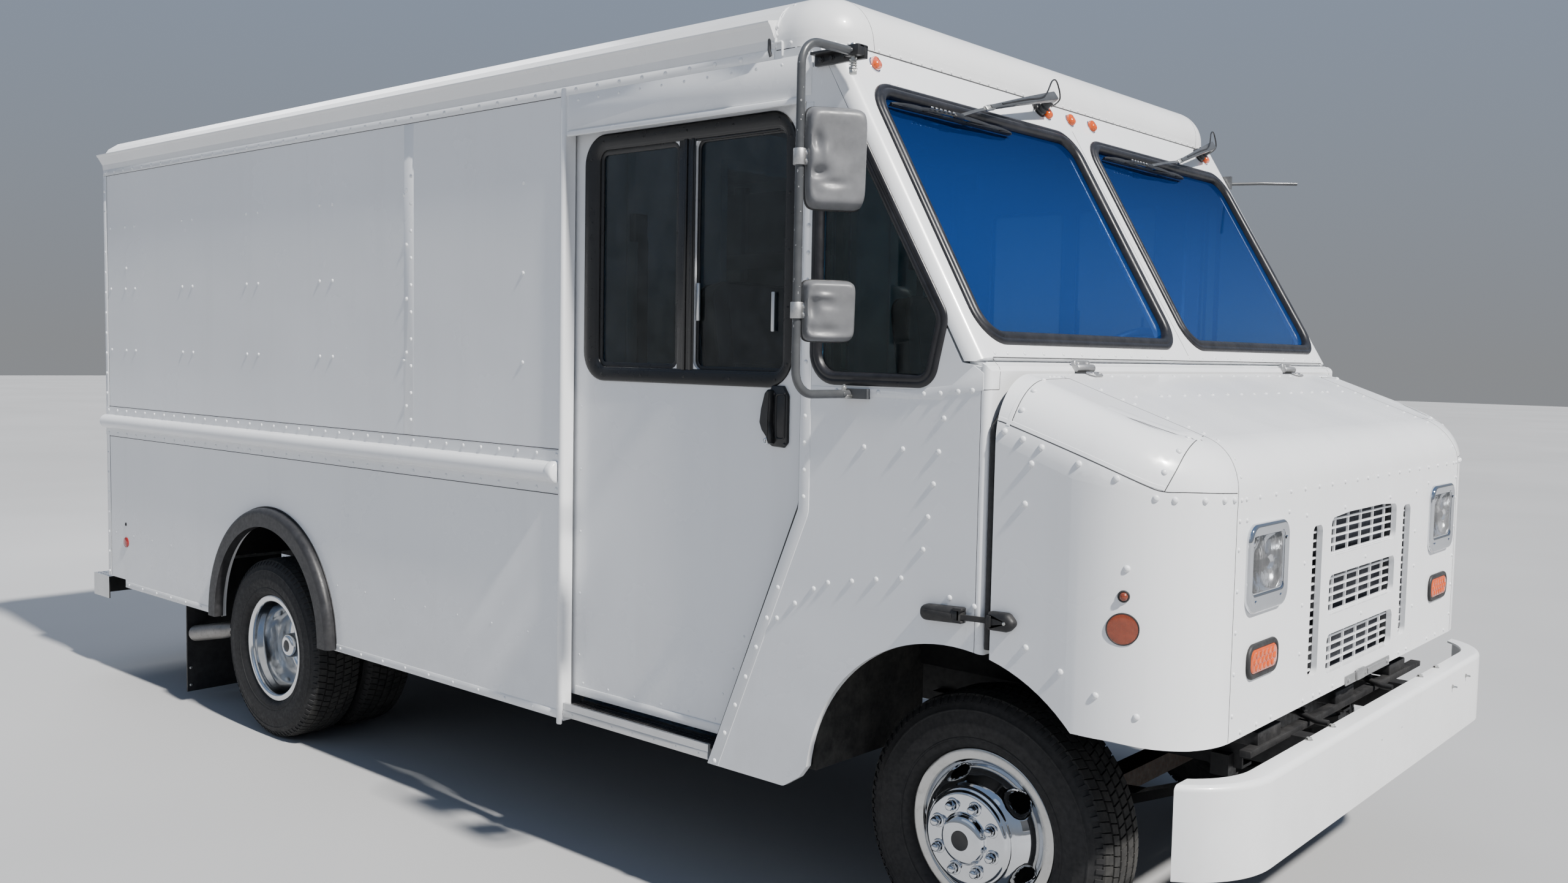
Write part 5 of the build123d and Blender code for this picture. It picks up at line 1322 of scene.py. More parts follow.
for m in (1, -1):
    ribbon(g, line_on([(x, y * m, z + 7) for x, y, z in SIDE_SEAM[:6]], NOSE, 7.0), 11.0, 1.1, 0, 1.2)
    ribbon(g, line_on([(x - 7, y * m, z) for x, y, z in HOOP], NOSE, 7.0), 11.0, 1.0, 0, 1.2)
for m in (1, -1):
    a, b = Vector((2525, -1016 * m, 1521)), Vector((2735, -930 * m, 1443))
    side = (b - a).normalized().cross(Vector((0, -0.35 * m, 1))).normalized() * 30
    line = []
    for k in range(17):
        p = a.lerp(b, k / 16)
        hs = [snap(p + side * q, "nose_sides") for q in (-1, 1)]
        hc = snap(p, "nose_sides")[0]
        nn = Vector((0, 0, 0))
        for c, n in hs:
            nn += n if n.z > 0 else -n
        nn.normalize()
        base = (hs[0][0] + hs[1][0]) / 2
        line.append((base + nn * max(0.0, min(4.0, (hc - base).dot(nn))), nn))
    mid = []
    for k in range(17):
        q = [line[min(16, max(0, k + d))] for d in (-2, -1, 0, 1, 2)]
        mid.append((sum((p for p, _ in q), Vector((0, 0, 0))) / 5, sum((n for _, n in q), Vector((0, 0, 0))).normalized()))
    ribbon(g, mid, 62.0, 1.1, 0, 22.0, 0.6)
make("nose_laps", g, WHITE_NOSE, "nose", "white_paint")

g = Geo()
nose_pts = [(2350, -1178, 1456), (2400, -1178, 1440), (2450, -1178, 1424), (2547, -1176, 1392), (2634, -1159, 1364), (2710, -1117, 1323), (2742, -1087, 1319),
            (2785, -1024, 1317), (2806, -967, 1316), (2812, -928, 1315), (2427, -1180, 1384), (2413, -1180, 1288), (2427, -1180, 949),
            (2520, -1180, 907), (2606, -1171, 866), (2690, -1133, 825), (2662, -1149, 1162)]
small = [(2367, -1035, 1576), (2382, -1103, 1552), (2380, -1151, 1507), (2709, -960, 1452), (2725, -1041, 1426), (2718, -1096, 1381)]
tiny = [(2348, -973, 1583), (2348, -952, 1584), (2349, -929, 1584), (2350, -908, 1584), (2430, -859, 1554), (2490, -858, 1533), (2520, -854, 1522),
        (2602, -844, 1492), (2656, -842, 1472), (2693, -838, 1459), (2732, -843, 1444), (2780, -860, 1405), (2804, -876, 1365)]
tiny += [(2478, y, 1538) for y in (-764, -619, -571, -477, -384, -294, -192, -93)] + [(2345, y, 1586) for y in range(-640, 0, 95)]
for m in (1, -1):
    studs(g, [(x, y * m, z) for x, y, z in nose_pts], NOSE, 8.2, 6.0)
    studs(g, [(x, y * m, z) for x, y, z in small], NOSE, 7.5, 5.0)
    studs(g, [(x, y * m, z) for x, y, z in tiny], NOSE, 5.5, 3.0)
studs(g, [(2479, -2, 1537)], NOSE, 5.0, 2.2)
face = [(y * m, 1312) for m in (-1, 1) for y in (889, 860, 780, 680, 582, 484, 384, 287, 187)] + [(-88, 1312), (0, 1312), (88, 1312)]
face += [(-895, z) for z in (1263, 1196, 1099, 1002, 904, 805)] + [(895, z) for z in (1263, 1196, 1099, 1002, 904, 805)]
face += [(-465, 1243), (465, 1243), (-179, 1243), (210, 1243), (-468, 1120), (468, 1120), (-473, 1012), (473, 1012), (-476, 886), (476, 886), (10, 1089), (-6, 929)]
face += [(y, 757) for y in (-842, -745, -653, -437, -362, -312, -215, 271, 362, 437, 653, 745, 842)] + [(-588, 1262), (588, 1262), (-853, 1262)]
studs(g, [(2814, y, z) for y, z in face], ("fascia",), 5.6, 3.6)
make("nose_rivets", g, WHITE_NOSE, "nose", "white_paint", sharp=60)

# rubber edge seal in the gap between the cab and the nose
g = Geo()
arch = [(2316, -1171, 934)] + [(2316, -1171, z) for z in (1100, 1250, 1400)]
loop = [(2316, -1170, 925), (2316, -1170, 1470), (2316, -1164, 1510), (2316, -1140, 1548), (2316, -1100, 1572), (2316, -1040, 1585), (2316, -980, 1588),
        (2316, 0, 1588)]
loop = [(2316, -1170, 925), (2316, -1170, 1462), (2316, -1150, 1480), (2316, -1132, 1500), (2316, -1112, 1528), (2316, -1080, 1546), (2316, -1030, 1556),
        (2316, -960, 1560), (2316, 0, 1560)]
right_half = bend_path([Vector(p) for p in loop], 20, 3)
sec = [(-9, -8), (9, -8), (9.5, 0), (6, 5), (0, 7), (-6, 5), (-9.5, 0)]


def ring_sweep(g, pts, sec, centre, mat=0):
    """Section swept with its b axis pointing away from a centre line along x."""
    n, m, vs = len(pts), len(sec), []
    for i, p in enumerate(pts):
        t = (pts[min(i + 1, n - 1)] - pts[max(i - 1, 0)]).normalized()
        out = Vector((1, 0, 0)).cross(t).normalized()
        if out.dot(p - centre) < 0:
            out = -out
        vs += [p + Vector((a, 0, 0)) + out * b for a, b in sec]
    fs = [(i * m + k, i * m + (k + 1) % m, (i + 1) * m + (k + 1) % m, (i + 1) * m + k) for i in range(n - 1) for k in range(m)]
    g.add(vs, fs + [tuple(range(m)), tuple((n - 1) * m + k for k in range(m))], mat)


ring_sweep(g, right_half, sec, Vector((2316, 0, 1150)))
both("nose_edge_seal", g, RUBBER, "van_body", "black_rubber")

# over-centre rubber latches
g = Geo()
fl = FY(0, sy, 0)
body = rounded([(2134, 976), (2258, 982), (2258, 1022), (2134, 1016)], [18, 5, 5, 18], 6)
loft(g, body, fl, [(0, 0), (0, 14), (-1.5, 19), (-5, 23), (-10, 25)], 0)
rbox(g, fl, 2236, 2262, 984, 991, 4, 27, 2.5)
rbox(g, fl, 2236, 2262, 1014, 1022, 4, 27, 2.5)
rbox(g, fl, 2240, 2252, 990, 1015, 16, 24, 2.0, 1)
rbox(g, fl, 2146, 2232, 993, 1006, 22, 27.5, 2.0)
both("nose_latch_handle", g, [RUBBER, ZINC], "van_body", "black_rubber")
g = Geo()
strap = [Vector(fl(2334, 1000, 9)), Vector(fl(2300, 1000, 13)), Vector(fl(2262, 999, 16)), Vector(fl(2243, 999, 19))]
sweep(g, bend_path(strap, 30, 4), [(-6.5, -3.2), (6.5, -3.2), (7.5, 0), (6.5, 3.2), (-6.5, 3.2), (-7.5, 0)], up=(0, -1, 0))
nose_piece = rounded([(2330, 979), (2385, 980), (2407, 1003), (2385, 1026), (2330, 1024)], [5, 18, 12, 18, 5], 6)
loft(g, nose_piece, fl, [(0, 0), (0, 12), (-2, 17), (-6, 21), (-12, 23.5)], 0)
rbox(g, fl, 2331, 2344, 988, 1016, 18, 26, 2.0)
hexbolt(g, fl(2380, 1002, 22), (0, -1, 0), 4.5, 4, 1)
both("nose_latch_strap", g, [RUBBER, ZINC], "nose", "black_rubber")

# reflector disc and small marker on the nose's rounded corner
g = Geo()
c, n = snap((2658, -1151, 1024), "nose_sides")
n = n if n.y < 0 else -n
fr_ = fr_normal(c, n)
lathe(g, [(37.5, -9), (37.5, 1.2), (36.8, 2.2), (35, 2.6), (34.5, 2.0)], fr_, 48, 1)
lathe(g, [(34.5, 2.0), (33, 2.4), (20, 2.9), (0, 3.1)], fr_, 48, 0)
c, n = snap((2658, -1151, 1099), "nose_sides")
n = n if n.y < 0 else -n
fr_ = fr_normal(c, n)
lathe(g, [(14, -1), (14, 2.5), (12.5, 4.5), (10.5, 4.6), (9.6, 3)], fr_, 28, 1)
lathe(g, [(9.6, 3), (9.4, 7), (8, 10.5), (4.5, 12.6), (0, 13.2)], fr_, 28, 0)
both("nose_markers", g, [AMBER_DEEP, RUBBER], "nose", "clear_glass")

# ================================================================ lamps on the nose
LAMP_Y, LAMP_Z = 729.0, 1143.0


def head_lamp(s):
    """0 chrome, 1 clear glass, 2 reflector, 3 dark."""
    g = Geo()
    f = FX(X_FASCIA, s * LAMP_Y, LAMP_Z)
    f.a = Vector((0, 1, 0))
    bez = rect(-121, 121, -107, 107, 42, 9)
    win = rect(-99, 99, -64, 82, 16, 9)
    # outer bezel from the panel, over a round rim, down to the glass
    n = len(bez)
    rings = [(bez, 0, 0.2), (bez, 0, 7), (bez, -1.5, 10.5), (bez, -5, 13), (bez, -9, 13.9), (bez, -13, 13.2)]
    vs, rows = [], []
    for path, off, h in rings:
        nr = out_normals(path)
        vs.append([f(p.x + q.x * off, p.y + q.y * off, h) for p, q in zip(path, nr)])
    nr = out_normals(win)
    for off, h in ((4.5, 10.2), (1.0, 9.6), (-0.5, 8.8), (-1.0, 3.0)):
        vs.append([f(p.x + q.x * off, p.y + q.y * off, h) for p, q in zip(win, nr)])
    flat = [p for r in vs for p in r]
    fs = [(j * n + i, j * n + (i + 1) % n, (j + 1) * n + (i + 1) % n, (j + 1) * n + i) for j in range(len(vs) - 1) for i in range(n)]
    g.add(flat, fs, 0)
    # reflector bowl
    N, M = 20, 16
    bowl = []
    for j in range(M + 1):
        for i in range(N + 1):
            u, v = -1 + 2 * i / N, -1 + 2 * j / M
            rr = min(1.0, math.hypot(u, v * 0.85))
            bowl.append(f(u * 96, 9 + v * 70, 3 - 46 * max(0.0, 1 - rr * rr)))
    g.add(bowl, [(j * (N + 1) + i, j * (N + 1) + i + 1, (j + 1) * (N + 1) + i + 1, (j + 1) * (N + 1) + i) for j in range(M) for i in range(N)], 2)
    lathe(g, [(0, -12), (9, -12.5), (11, -16), (11, -30), (15, -36), (15, -44)], Fr(f(0, 9, 0), f.a, f.b, f.c), 20, 3)
    # ledge round the glass
    loft(g, rect(-96, 96, -61, 79, 14, 9), f, [(3.4, 2.0), (3.2, 6.2), (0, 6.8), (-3, 6.2), (-3.5, 3)], 0, cap0=False, cap1=False)
    for a, b in ((-78, -80), (78, -80), (-104, 60), (104, 60)):
        lathe(g, [(5, 10.6), (5, 12.2), (4, 13.2), (0, 13.4)], Fr(f(a, b, 0.0), f.a, f.b, f.c), 12, 0)
    return g


def lamp_glass(s):
    """Moulded glass with flutes and steps on its back."""
    g = Geo()
    f = FX(X_FASCIA, s * LAMP_Y, LAMP_Z)
    N, M = 96, 44
    a0, a1, b0, b1 = -96.0, 96.0, -61.0, 79.0
    front, back = [], []
    for j in range(M + 1):
        for i in range(N + 1):
            u, v = i / N, j / M
            a, b = a0 + (a1 - a0) * u, b0 + (b1 - b0) * v
            ex, ey = min(u, 1 - u) * 2, min(v, 1 - v) * 2
            crown = 5.0 * (1 - (1 - min(1, ex * 2.2)) ** 3) * (1 - (1 - min(1, ey * 2.2)) ** 3)
            front.append(f(a, b, 5.6 + crown))
            zone = int(u * 6)
            flute = 1.0 * abs(math.sin(math.pi * u * (14 if zone % 2 else 8)))
            step = 0.8 * ((v * 5) % 1.0)
            back.append(f(a, b, 2.2 + crown - flute - step))
    for vs, flip in ((front, False), (back, True)):
        fs = [(j * (N + 1) + i, j * (N + 1) + i + 1, (j + 1) * (N + 1) + i + 1, (j + 1) * (N + 1) + i) for j in range(M) for i in range(N)]
        g.add(vs, fs, 0)
    return g


g = head_lamp(-1).join(head_lamp(1))
for s in (-1, 1):
    f = FX(X_FASCIA, s * LAMP_Y, LAMP_Z)
    lathe(g, [(60, -60), (92, -48), (98, -20), (98, -4)], Fr(f(0, 9, 0), f.a, f.b * 0.8, f.c), 32, 3)
make("head_lamp_bezels", g, [CHROME, GLASS_LAMP, LED, BLACK_PLASTIC], "nose", "chrome_plate", sharp=35, stands_for=("headlights",))
for side, s in (("right", -1), ("left", 1)):
    make(f"{side}_head_lamp_glass", lamp_glass(s), GLASS_LAMP, "nose", "clear_glass", sharp=20, tidy=False)

# turn lamps: amber lens with moulded dots in a rubber grommet
for side, s in (("right", -1), ("left", 1)):
    g = Geo()
    f = FX(X_FASCIA, s * 731, 917)
    loft(g, rect(-95, 95, -43, 43, 34, 8), f, [(0, 0.2), (0, 4), (-2, 7.2), (-6, 8.6), (-11, 8.4), (-14, 6), (-15, 3)], 1)
    loft(g, rect(-81, 81, -29, 29, 23, 8), f, [(0, 3), (0, 6.5), (-2, 8.6), (-6, 9.8)], 0)
    for j, n in ((-1, 5), (0, 6), (1, 5)):
        for k in range(n):
            a = (k - (n - 1) / 2) * 25
            lathe(g, [(9.4, 9.4), (8.6, 10.6), (6, 11.8), (3, 12.3), (0, 12.4)], Fr(f(a, j * 15.5, 0), f.a, f.b, f.c), 12, 0)
            lathe(g, [(2.6, 12.0), (2.2, 12.7), (0, 12.8)], Fr(f(a, j * 15.5, 0), f.a, f.b, f.c), 8, 2)
    make(f"{side}_turn_lamp", g, [AMBER, RUBBER, AMBER_DOT], "nose", "clear_glass", sharp=40)

# dark sheet behind the grille bars, standing in for the shade inside the nose (painted shade), and the bracket under
# the panel
g = Geo()
rbox(g, FX(2778, 0, 0), -445, 445, 765, 1240, -3, 0, 2.0)
make("grille_painted_shade_screen", g, PAINTED_SHADE_NAVY, "nose", "radiator_black")
g = Geo()
f = FX(X_FASCIA, 0, 0)
rbox(g, f, -118, 262, 738, 766, 0.2, 4.5, 2.0)
rbox(g, f, -40, 20, 742, 774, 4.2, 12, 3.0)
rbox(g, f, 60, 205, 744, 762, 4.2, 9, 3.0)
for y in (-100, 40, 240):
    hexbolt(g, f(y, 752, 4.5), (1, 0, 0), 6, 4.5)
make("nose_catch_plate", g, CAST, "nose", "galvanised")

# ---------------------------------------------------------------- front bumper fittings
g = Geo()
for y in (-527, -359, 411, 578):
    hexbolt(g, (2866, y, 683), (0, 0, 1), 7.5, 7.0)
for y, z in ((596, 628), (746, 637)):
    hexbolt(g, (2912, y, z), (1, 0, 0), 5.0, 4.0)
    lathe(g, [(3, 0), (3, 13), (2, 15), (0, 15)], FX(2912, y, z), 10)
make("bumper_bolts", g, ZINC, "van_body", "galvanised", sharp=30)
g = Geo()
# rubber stops and support angle between nose and bumper
for y in (-560, 0, 480):
    f = FZ(2735, y, 0)
    rbox(g, f, -38, 45, -75, 75, 668, 706, 4.0)
    rbox(g, f, -28, 30, -58, 58, 706, 730, 8.0)
rbox(g, FZ(2765, 0, 0), -8, 22, -700, 700, 655, 672, 2.0)
make("nose_rest_stops", g, RUBBER, "van_body", "black_rubber")
g = Geo()
for y in (-300, 240):
    tube(g, [(2700, y, 690), (2752, y, 690), (2812, y - 8, 676), (2840, y - 8, 676)], 9, 14, 12)
    hexbolt(g, (2770, y - 4, 698), (0, 0, 1), 8, 7)
make("nose_rest_hooks", g, BLACK_STEEL, "van_body", "black_steel")

# ---------------------------------------------------------------- rear arch flares: flange, and the bolts of the mud flaps
g = Geo()
cx, cz = -1132.0, 455.0
arc = [(cx + 502.5 * math.cos(math.radians(a)), sy - 1.2, cz + 502.5 * math.sin(math.radians(a))) for a in range(0, 181, 3)]
sweep(g, arc, [(-3.5, -2), (3.5, -2), (3.0, 2.2), (-3.0, 2.2)], up=(0, -1, 0))
both("flare_flange", g, RUBBER_FLARE, "van_body", "black_rubber")
g = Geo()
for y in (-1110, -1020, -920, -820, -730):
    hexbolt(g, (-1962, y, 640), (1, 0, 0), 8, 6)
    hexbolt(g, (-1973, y, 640), (-1, 0, 0), 8, 6)
for z in (60, 140):
    hexbolt(g, (-1965, -1134, z), (1, 0, 0), 5, 4)
rbox(g, Fr((-1965, 0, 0), (0, 1, 0), (0, 0, 1), (1, 0, 0)), -1150, -690, 622, 658, 0, 3, 1.0)
both("mud_flap_bolts", g, ZINC, "van_body", "galvanised")


# ---------------------------------------------------------------- right mirror
MX, MY, MZ0, MZ1 = 1875.0, -1389.0, 1529.0, 2397.0
g = Geo()
# upper bracket: black channel with flange bolts, swivel block, long bolt with spring
fu = FY(0, sy - 14, 0)
rbox(g, FY(0, sy, 0), 1752, 1918, 2378, 2410, 0.3, 15, 2.5, 1)
rbox(g, FY(0, sy, 0), 1752, 1918, 2404, 2412, 0.3, 34, 2.0, 1)
rbox(g, FY(0, sy, 0), 1872, 1918, 2384, 2412, 14, 42, 3.0, 1)
for x in (1775, 1810, 1850):
    hexbolt(g, (x, sy - 15, 2393), (0, -1, 0), 6.5, 5.0, 1)
lathe(g, [(0, 22), (7, 21), (9, 17), (9, 12)], FZ(1892, sy - 28, 2396), 16, 2)
lathe(g, [(12, 12), (12, 15), (8, 16)], FZ(1892, sy - 28, 2396), 20, 2)
lathe(g, [(5, -50), (6, -49.5), (6, 12)], FZ(1892, sy - 28, 2396), 12, 2)
coil = [(1892 + 8.5 * math.cos(t), sy - 28 + 8.5 * math.sin(t), 2380 - 32 * t / (2 * math.pi * 5)) for t in [2 * math.pi * 5 * k / 90 for k in range(91)]]
sweep(g, coil, circle(1.8, 6), up=(0, 0, 1), mat=2)
lathe(g, [(0, -58), (9, -57.5), (10.5, -55), (10.5, -47), (9, -45), (12, -44), (12, -41), (5, -41)], FZ(1892, sy - 28, 2396), 6, 2)
# lower bracket
rbox(g, FY(0, sy, 0), 1864, 1946, 1517, 1543, 0.3, 9, 3.5, 1)
lathe(g, [(0, 9), (9, 8.5), (12, 5), (12.5, 0)], FY(1928, sy, 1530), 20, 1)
rbox(g, FY(0, sy, 0), 1866, 1902, 1519, 1527, 6, 34, 2.0, 2)
lathe(g, [(9, -12), (9, -6), (5, -5), (5, 12), (8, 13), (8, 18), (4, 19), (3.5, 24), (0, 25)], FZ(1881, sy - 22, 1529), 6, 2)
# flattened tube ends
for z in (MZ0, MZ1):
    rbox(g, FZ(1889, sy - 24, z), -14, 12, -22, 10, -5, 5, 4.0, 0)
make("right_mirror_brackets", g, [GREY_TUBE, BLACK_PLASTIC, ZINC], "van_body", "black_steel", sharp=35)

# chips in the tube's enamel
g = Geo()
rnd = random.Random(3)
for k in range(34):
    z = 1560 + 800 * rnd.random()
    t = rnd.uniform(-2.6, 0.4)
    w, h = rnd.uniform(0.8, 2.6), rnd.uniform(1.0, 4.5)
    d = Vector((math.cos(t), math.sin(t), 0))
    f = fr_normal(Vector((MX, MY, z)) + d * 10.95, d)
    pts = [Vector((w * rnd.uniform(0.6, 1.2) * math.cos(a), h * rnd.uniform(0.6, 1.2) * math.sin(a))) for a in [2 * math.pi * i / 7 for i in range(7)]]
    loft(g, pts, f, [(0, -0.3), (-0.1, 0.22)])
make("mirror_tube_chips", g, CAST, "van_body", "grey_tube", smooth=False)


def mirror_head(g, gm, zc, w, h, dents):
    """Drawn sheet shell with a rubber edge and glass at its back. 0 shell, 1 rubber, 2 clamp."""
    b = math.radians(33.6)

    def loc(fwd, out, up):
        """fwd along the head's own x, out away from the tube, up."""
        lx, ly = fwd, out
        X = lx * math.cos(-b) - ly * math.sin(-b)
        Y = lx * math.sin(-b) + ly * math.cos(-b)
        return Vector((MX + X, MY + Y, zc + up))

    N, M = 40, 48
    grid = []
    for j in range(M + 1):
        row = []
        for i in range(N + 1):
            u, v = i / N, j / M
            # rounded rectangle mapping
            uu, vv = 2 * u - 1, 2 * v - 1
            k = 8.0
            rr = (abs(uu) ** k + abs(vv) ** k) ** (1 / k)
            m = max(abs(uu), abs(vv))
            s_ = m / rr if rr > 1e-6 else 1.0
            a, c = uu * s_, vv * s_
            taper = 1 - 0.045 * (1 - c) * 0.5
            out = 14 + w / 2 + a * (w / 2) * taper
            up = c * h / 2
            e = max(0.0, 1 - m)
            dome = 31 * (1 - (1 - min(1.0, e * 5.0)) ** 2.4) ** 0.6 - 2 * (1 - m)
            d = 0.0
            for (da, dc, ra, rc, dep) in dents:
                q = ((a - da) / ra) ** 2 + ((c - dc) / rc) ** 2
                d += 0.62 * dep * math.exp(-q * 1.6)
            fwd = max(1.5, dome - d * min(1.0, e * 6))
            row.append((fwd, out, up))
        grid.append(row)
    vs = [loc(*p) for r in grid for p in r]
    fs = [(j * (N + 1) + i, j * (N + 1) + i + 1, (j + 1) * (N + 1) + i + 1, (j + 1) * (N + 1) + i) for j in range(M) for i in range(N)]
    g.add(vs, fs, 0)
    # edge of the shell down to its rim, rubber beading, glass
    rim = [grid[0][i] for i in range(N + 1)] + [grid[j][N] for j in range(1, M + 1)] + [grid[M][i] for i in range(N - 1, -1, -1)] + \
          [grid[j][0] for j in range(M - 1, 0, -1)]
    n = len(rim)
    cy = 14 + w / 2
    vs = []
    for f_, o_, u_ in rim:
        d = Vector((o_ - cy, u_)).normalized()
        for df, k in ((f_, 0.0), (0.0, 0.2), (-13.0, 0.4)):
            vs.append(loc(df, o_ + d.x * k, u_ + d.y * k))
    g.add(vs, [(i * 3 + k, ((i + 1) % n) * 3 + k, ((i + 1) % n) * 3 + k + 1, i * 3 + k + 1) for i in range(n) for k in range(2)], 0)
    vs = []
    prof = [(-10, 0.3), (-10.5, 2.2), (-13, 3.4), (-18, 3.4), (-20.5, 2), (-21, -2), (-19, -6)]
    for f_, o_, u_ in rim:
        d = Vector((o_ - cy, u_)).normalized()
        vs += [loc(df, o_ + d.x * k, u_ + d.y * k) for df, k in prof]
    m = len(prof)
    g.add(vs, [(i * m + k, ((i + 1) % n) * m + k, ((i + 1) % n) * m + k + 1, i * m + k + 1) for i in range(n) for k in range(m - 1)], 1)
    vs = []
    for f_, o_, u_ in rim:
        d = Vector((o_ - cy, u_)).normalized()
        vs.append(loc(-18.8, o_ - d.x * 5.5, u_ - d.y * 5.5))
    gm.add(vs, [tuple(range(n))], 0)
    # clamp round the tube with its screw
    f = FZ(MX, MY, zc)
    cl = [(15.5, -20), (16.2, -19), (16.2, 19), (15.5, 20), (11.3, 20), (11.3, -20)]
    lathe(g, cl + [cl[0]], f, 28, 2)
    vs = []
    for fwd, up in ((-9, -19), (9, -19), (9, 19), (-9, 19)):
        for out in (12, 22):
            vs.append(loc(fwd, out, up))
    g.add(vs, [(0, 2, 3, 1), (2, 4, 5, 3), (4, 6, 7, 5), (6, 0, 1, 7), (0, 6, 4, 2), (1, 3, 5, 7)], 2)
    for up in (-10, 10):
        hexbolt(g, loc(9, 17, up), (loc(20, 17, up) - loc(9, 17, up)), 4.2, 3.5, 2)


g, gm = Geo(), Geo()
mirror_head(g, gm, 2112.0, 157.0, 248.0, [(-0.72, 0.34, 0.22, 0.22, 24), (-0.66, -0.30, 0.40, 0.14, 26), (-0.42, 0.02, 0.20, 0.26, -9), (-0.85, -0.62, 0.4, 0.3, 14),
                                          (0.25, 0.2, 0.5, 0.5, 6), (-0.2, -0.5, 0.5, 0.10, 12)])
mirror_head(g, gm, 1737.0, 135.0, 150.0, [(-0.74, 0.12, 0.30, 0.50, 22), (-0.35, 0.48, 0.5, 0.12, -9), (-0.2, -0.66, 0.8, 0.24, 14), (-0.9, -0.6, 0.3, 0.3, 14), (-0.1, 0.2, 0.5, 0.2, 7)])
make("mirror_head_shells", g, [GREY_HEAD, RUBBER, CAST], "van_body", "dark_plastic", sharp=50, stands_for=("mirror_heads",))
make("mirror_head_glasses", gm, MIRROR, "van_body", "clear_glass")

# left: bare plate with its bolts and a nut, no mirror on it
g = Geo()
rod = [Vector((1852, 1197, 2322)), Vector((1958, 1290, 2328)), Vector((2052, 1388, 2330))]
path = bend_path(rod, 200, 10)
for k in range(1, 14):
    p = path[min(len(path) - 1, 3)].lerp(path[-1], k / 16)
prism(g, rect(1802, 1878, 2302, 2348, 8, 4), FY(0, 1180, 0, 1), 16, 19.5, 1.5)
for x, z in ((1815, 2314), (1865, 2314), (1815, 2336), (1865, 2336)):
    hexbolt(g, (x, 1199.5, z), (0, 1, 0), 6, 5)
lathe(g, [(0, 6), (9, 5.5), (10, 3), (10, -6), (6.6, -7)], fr_normal((1862, 1206, 2322.5), (0.75, 0.66, 0.04)), 6)
make("left_mirror_stub", g, ZINC, "van_body", "galvanised")

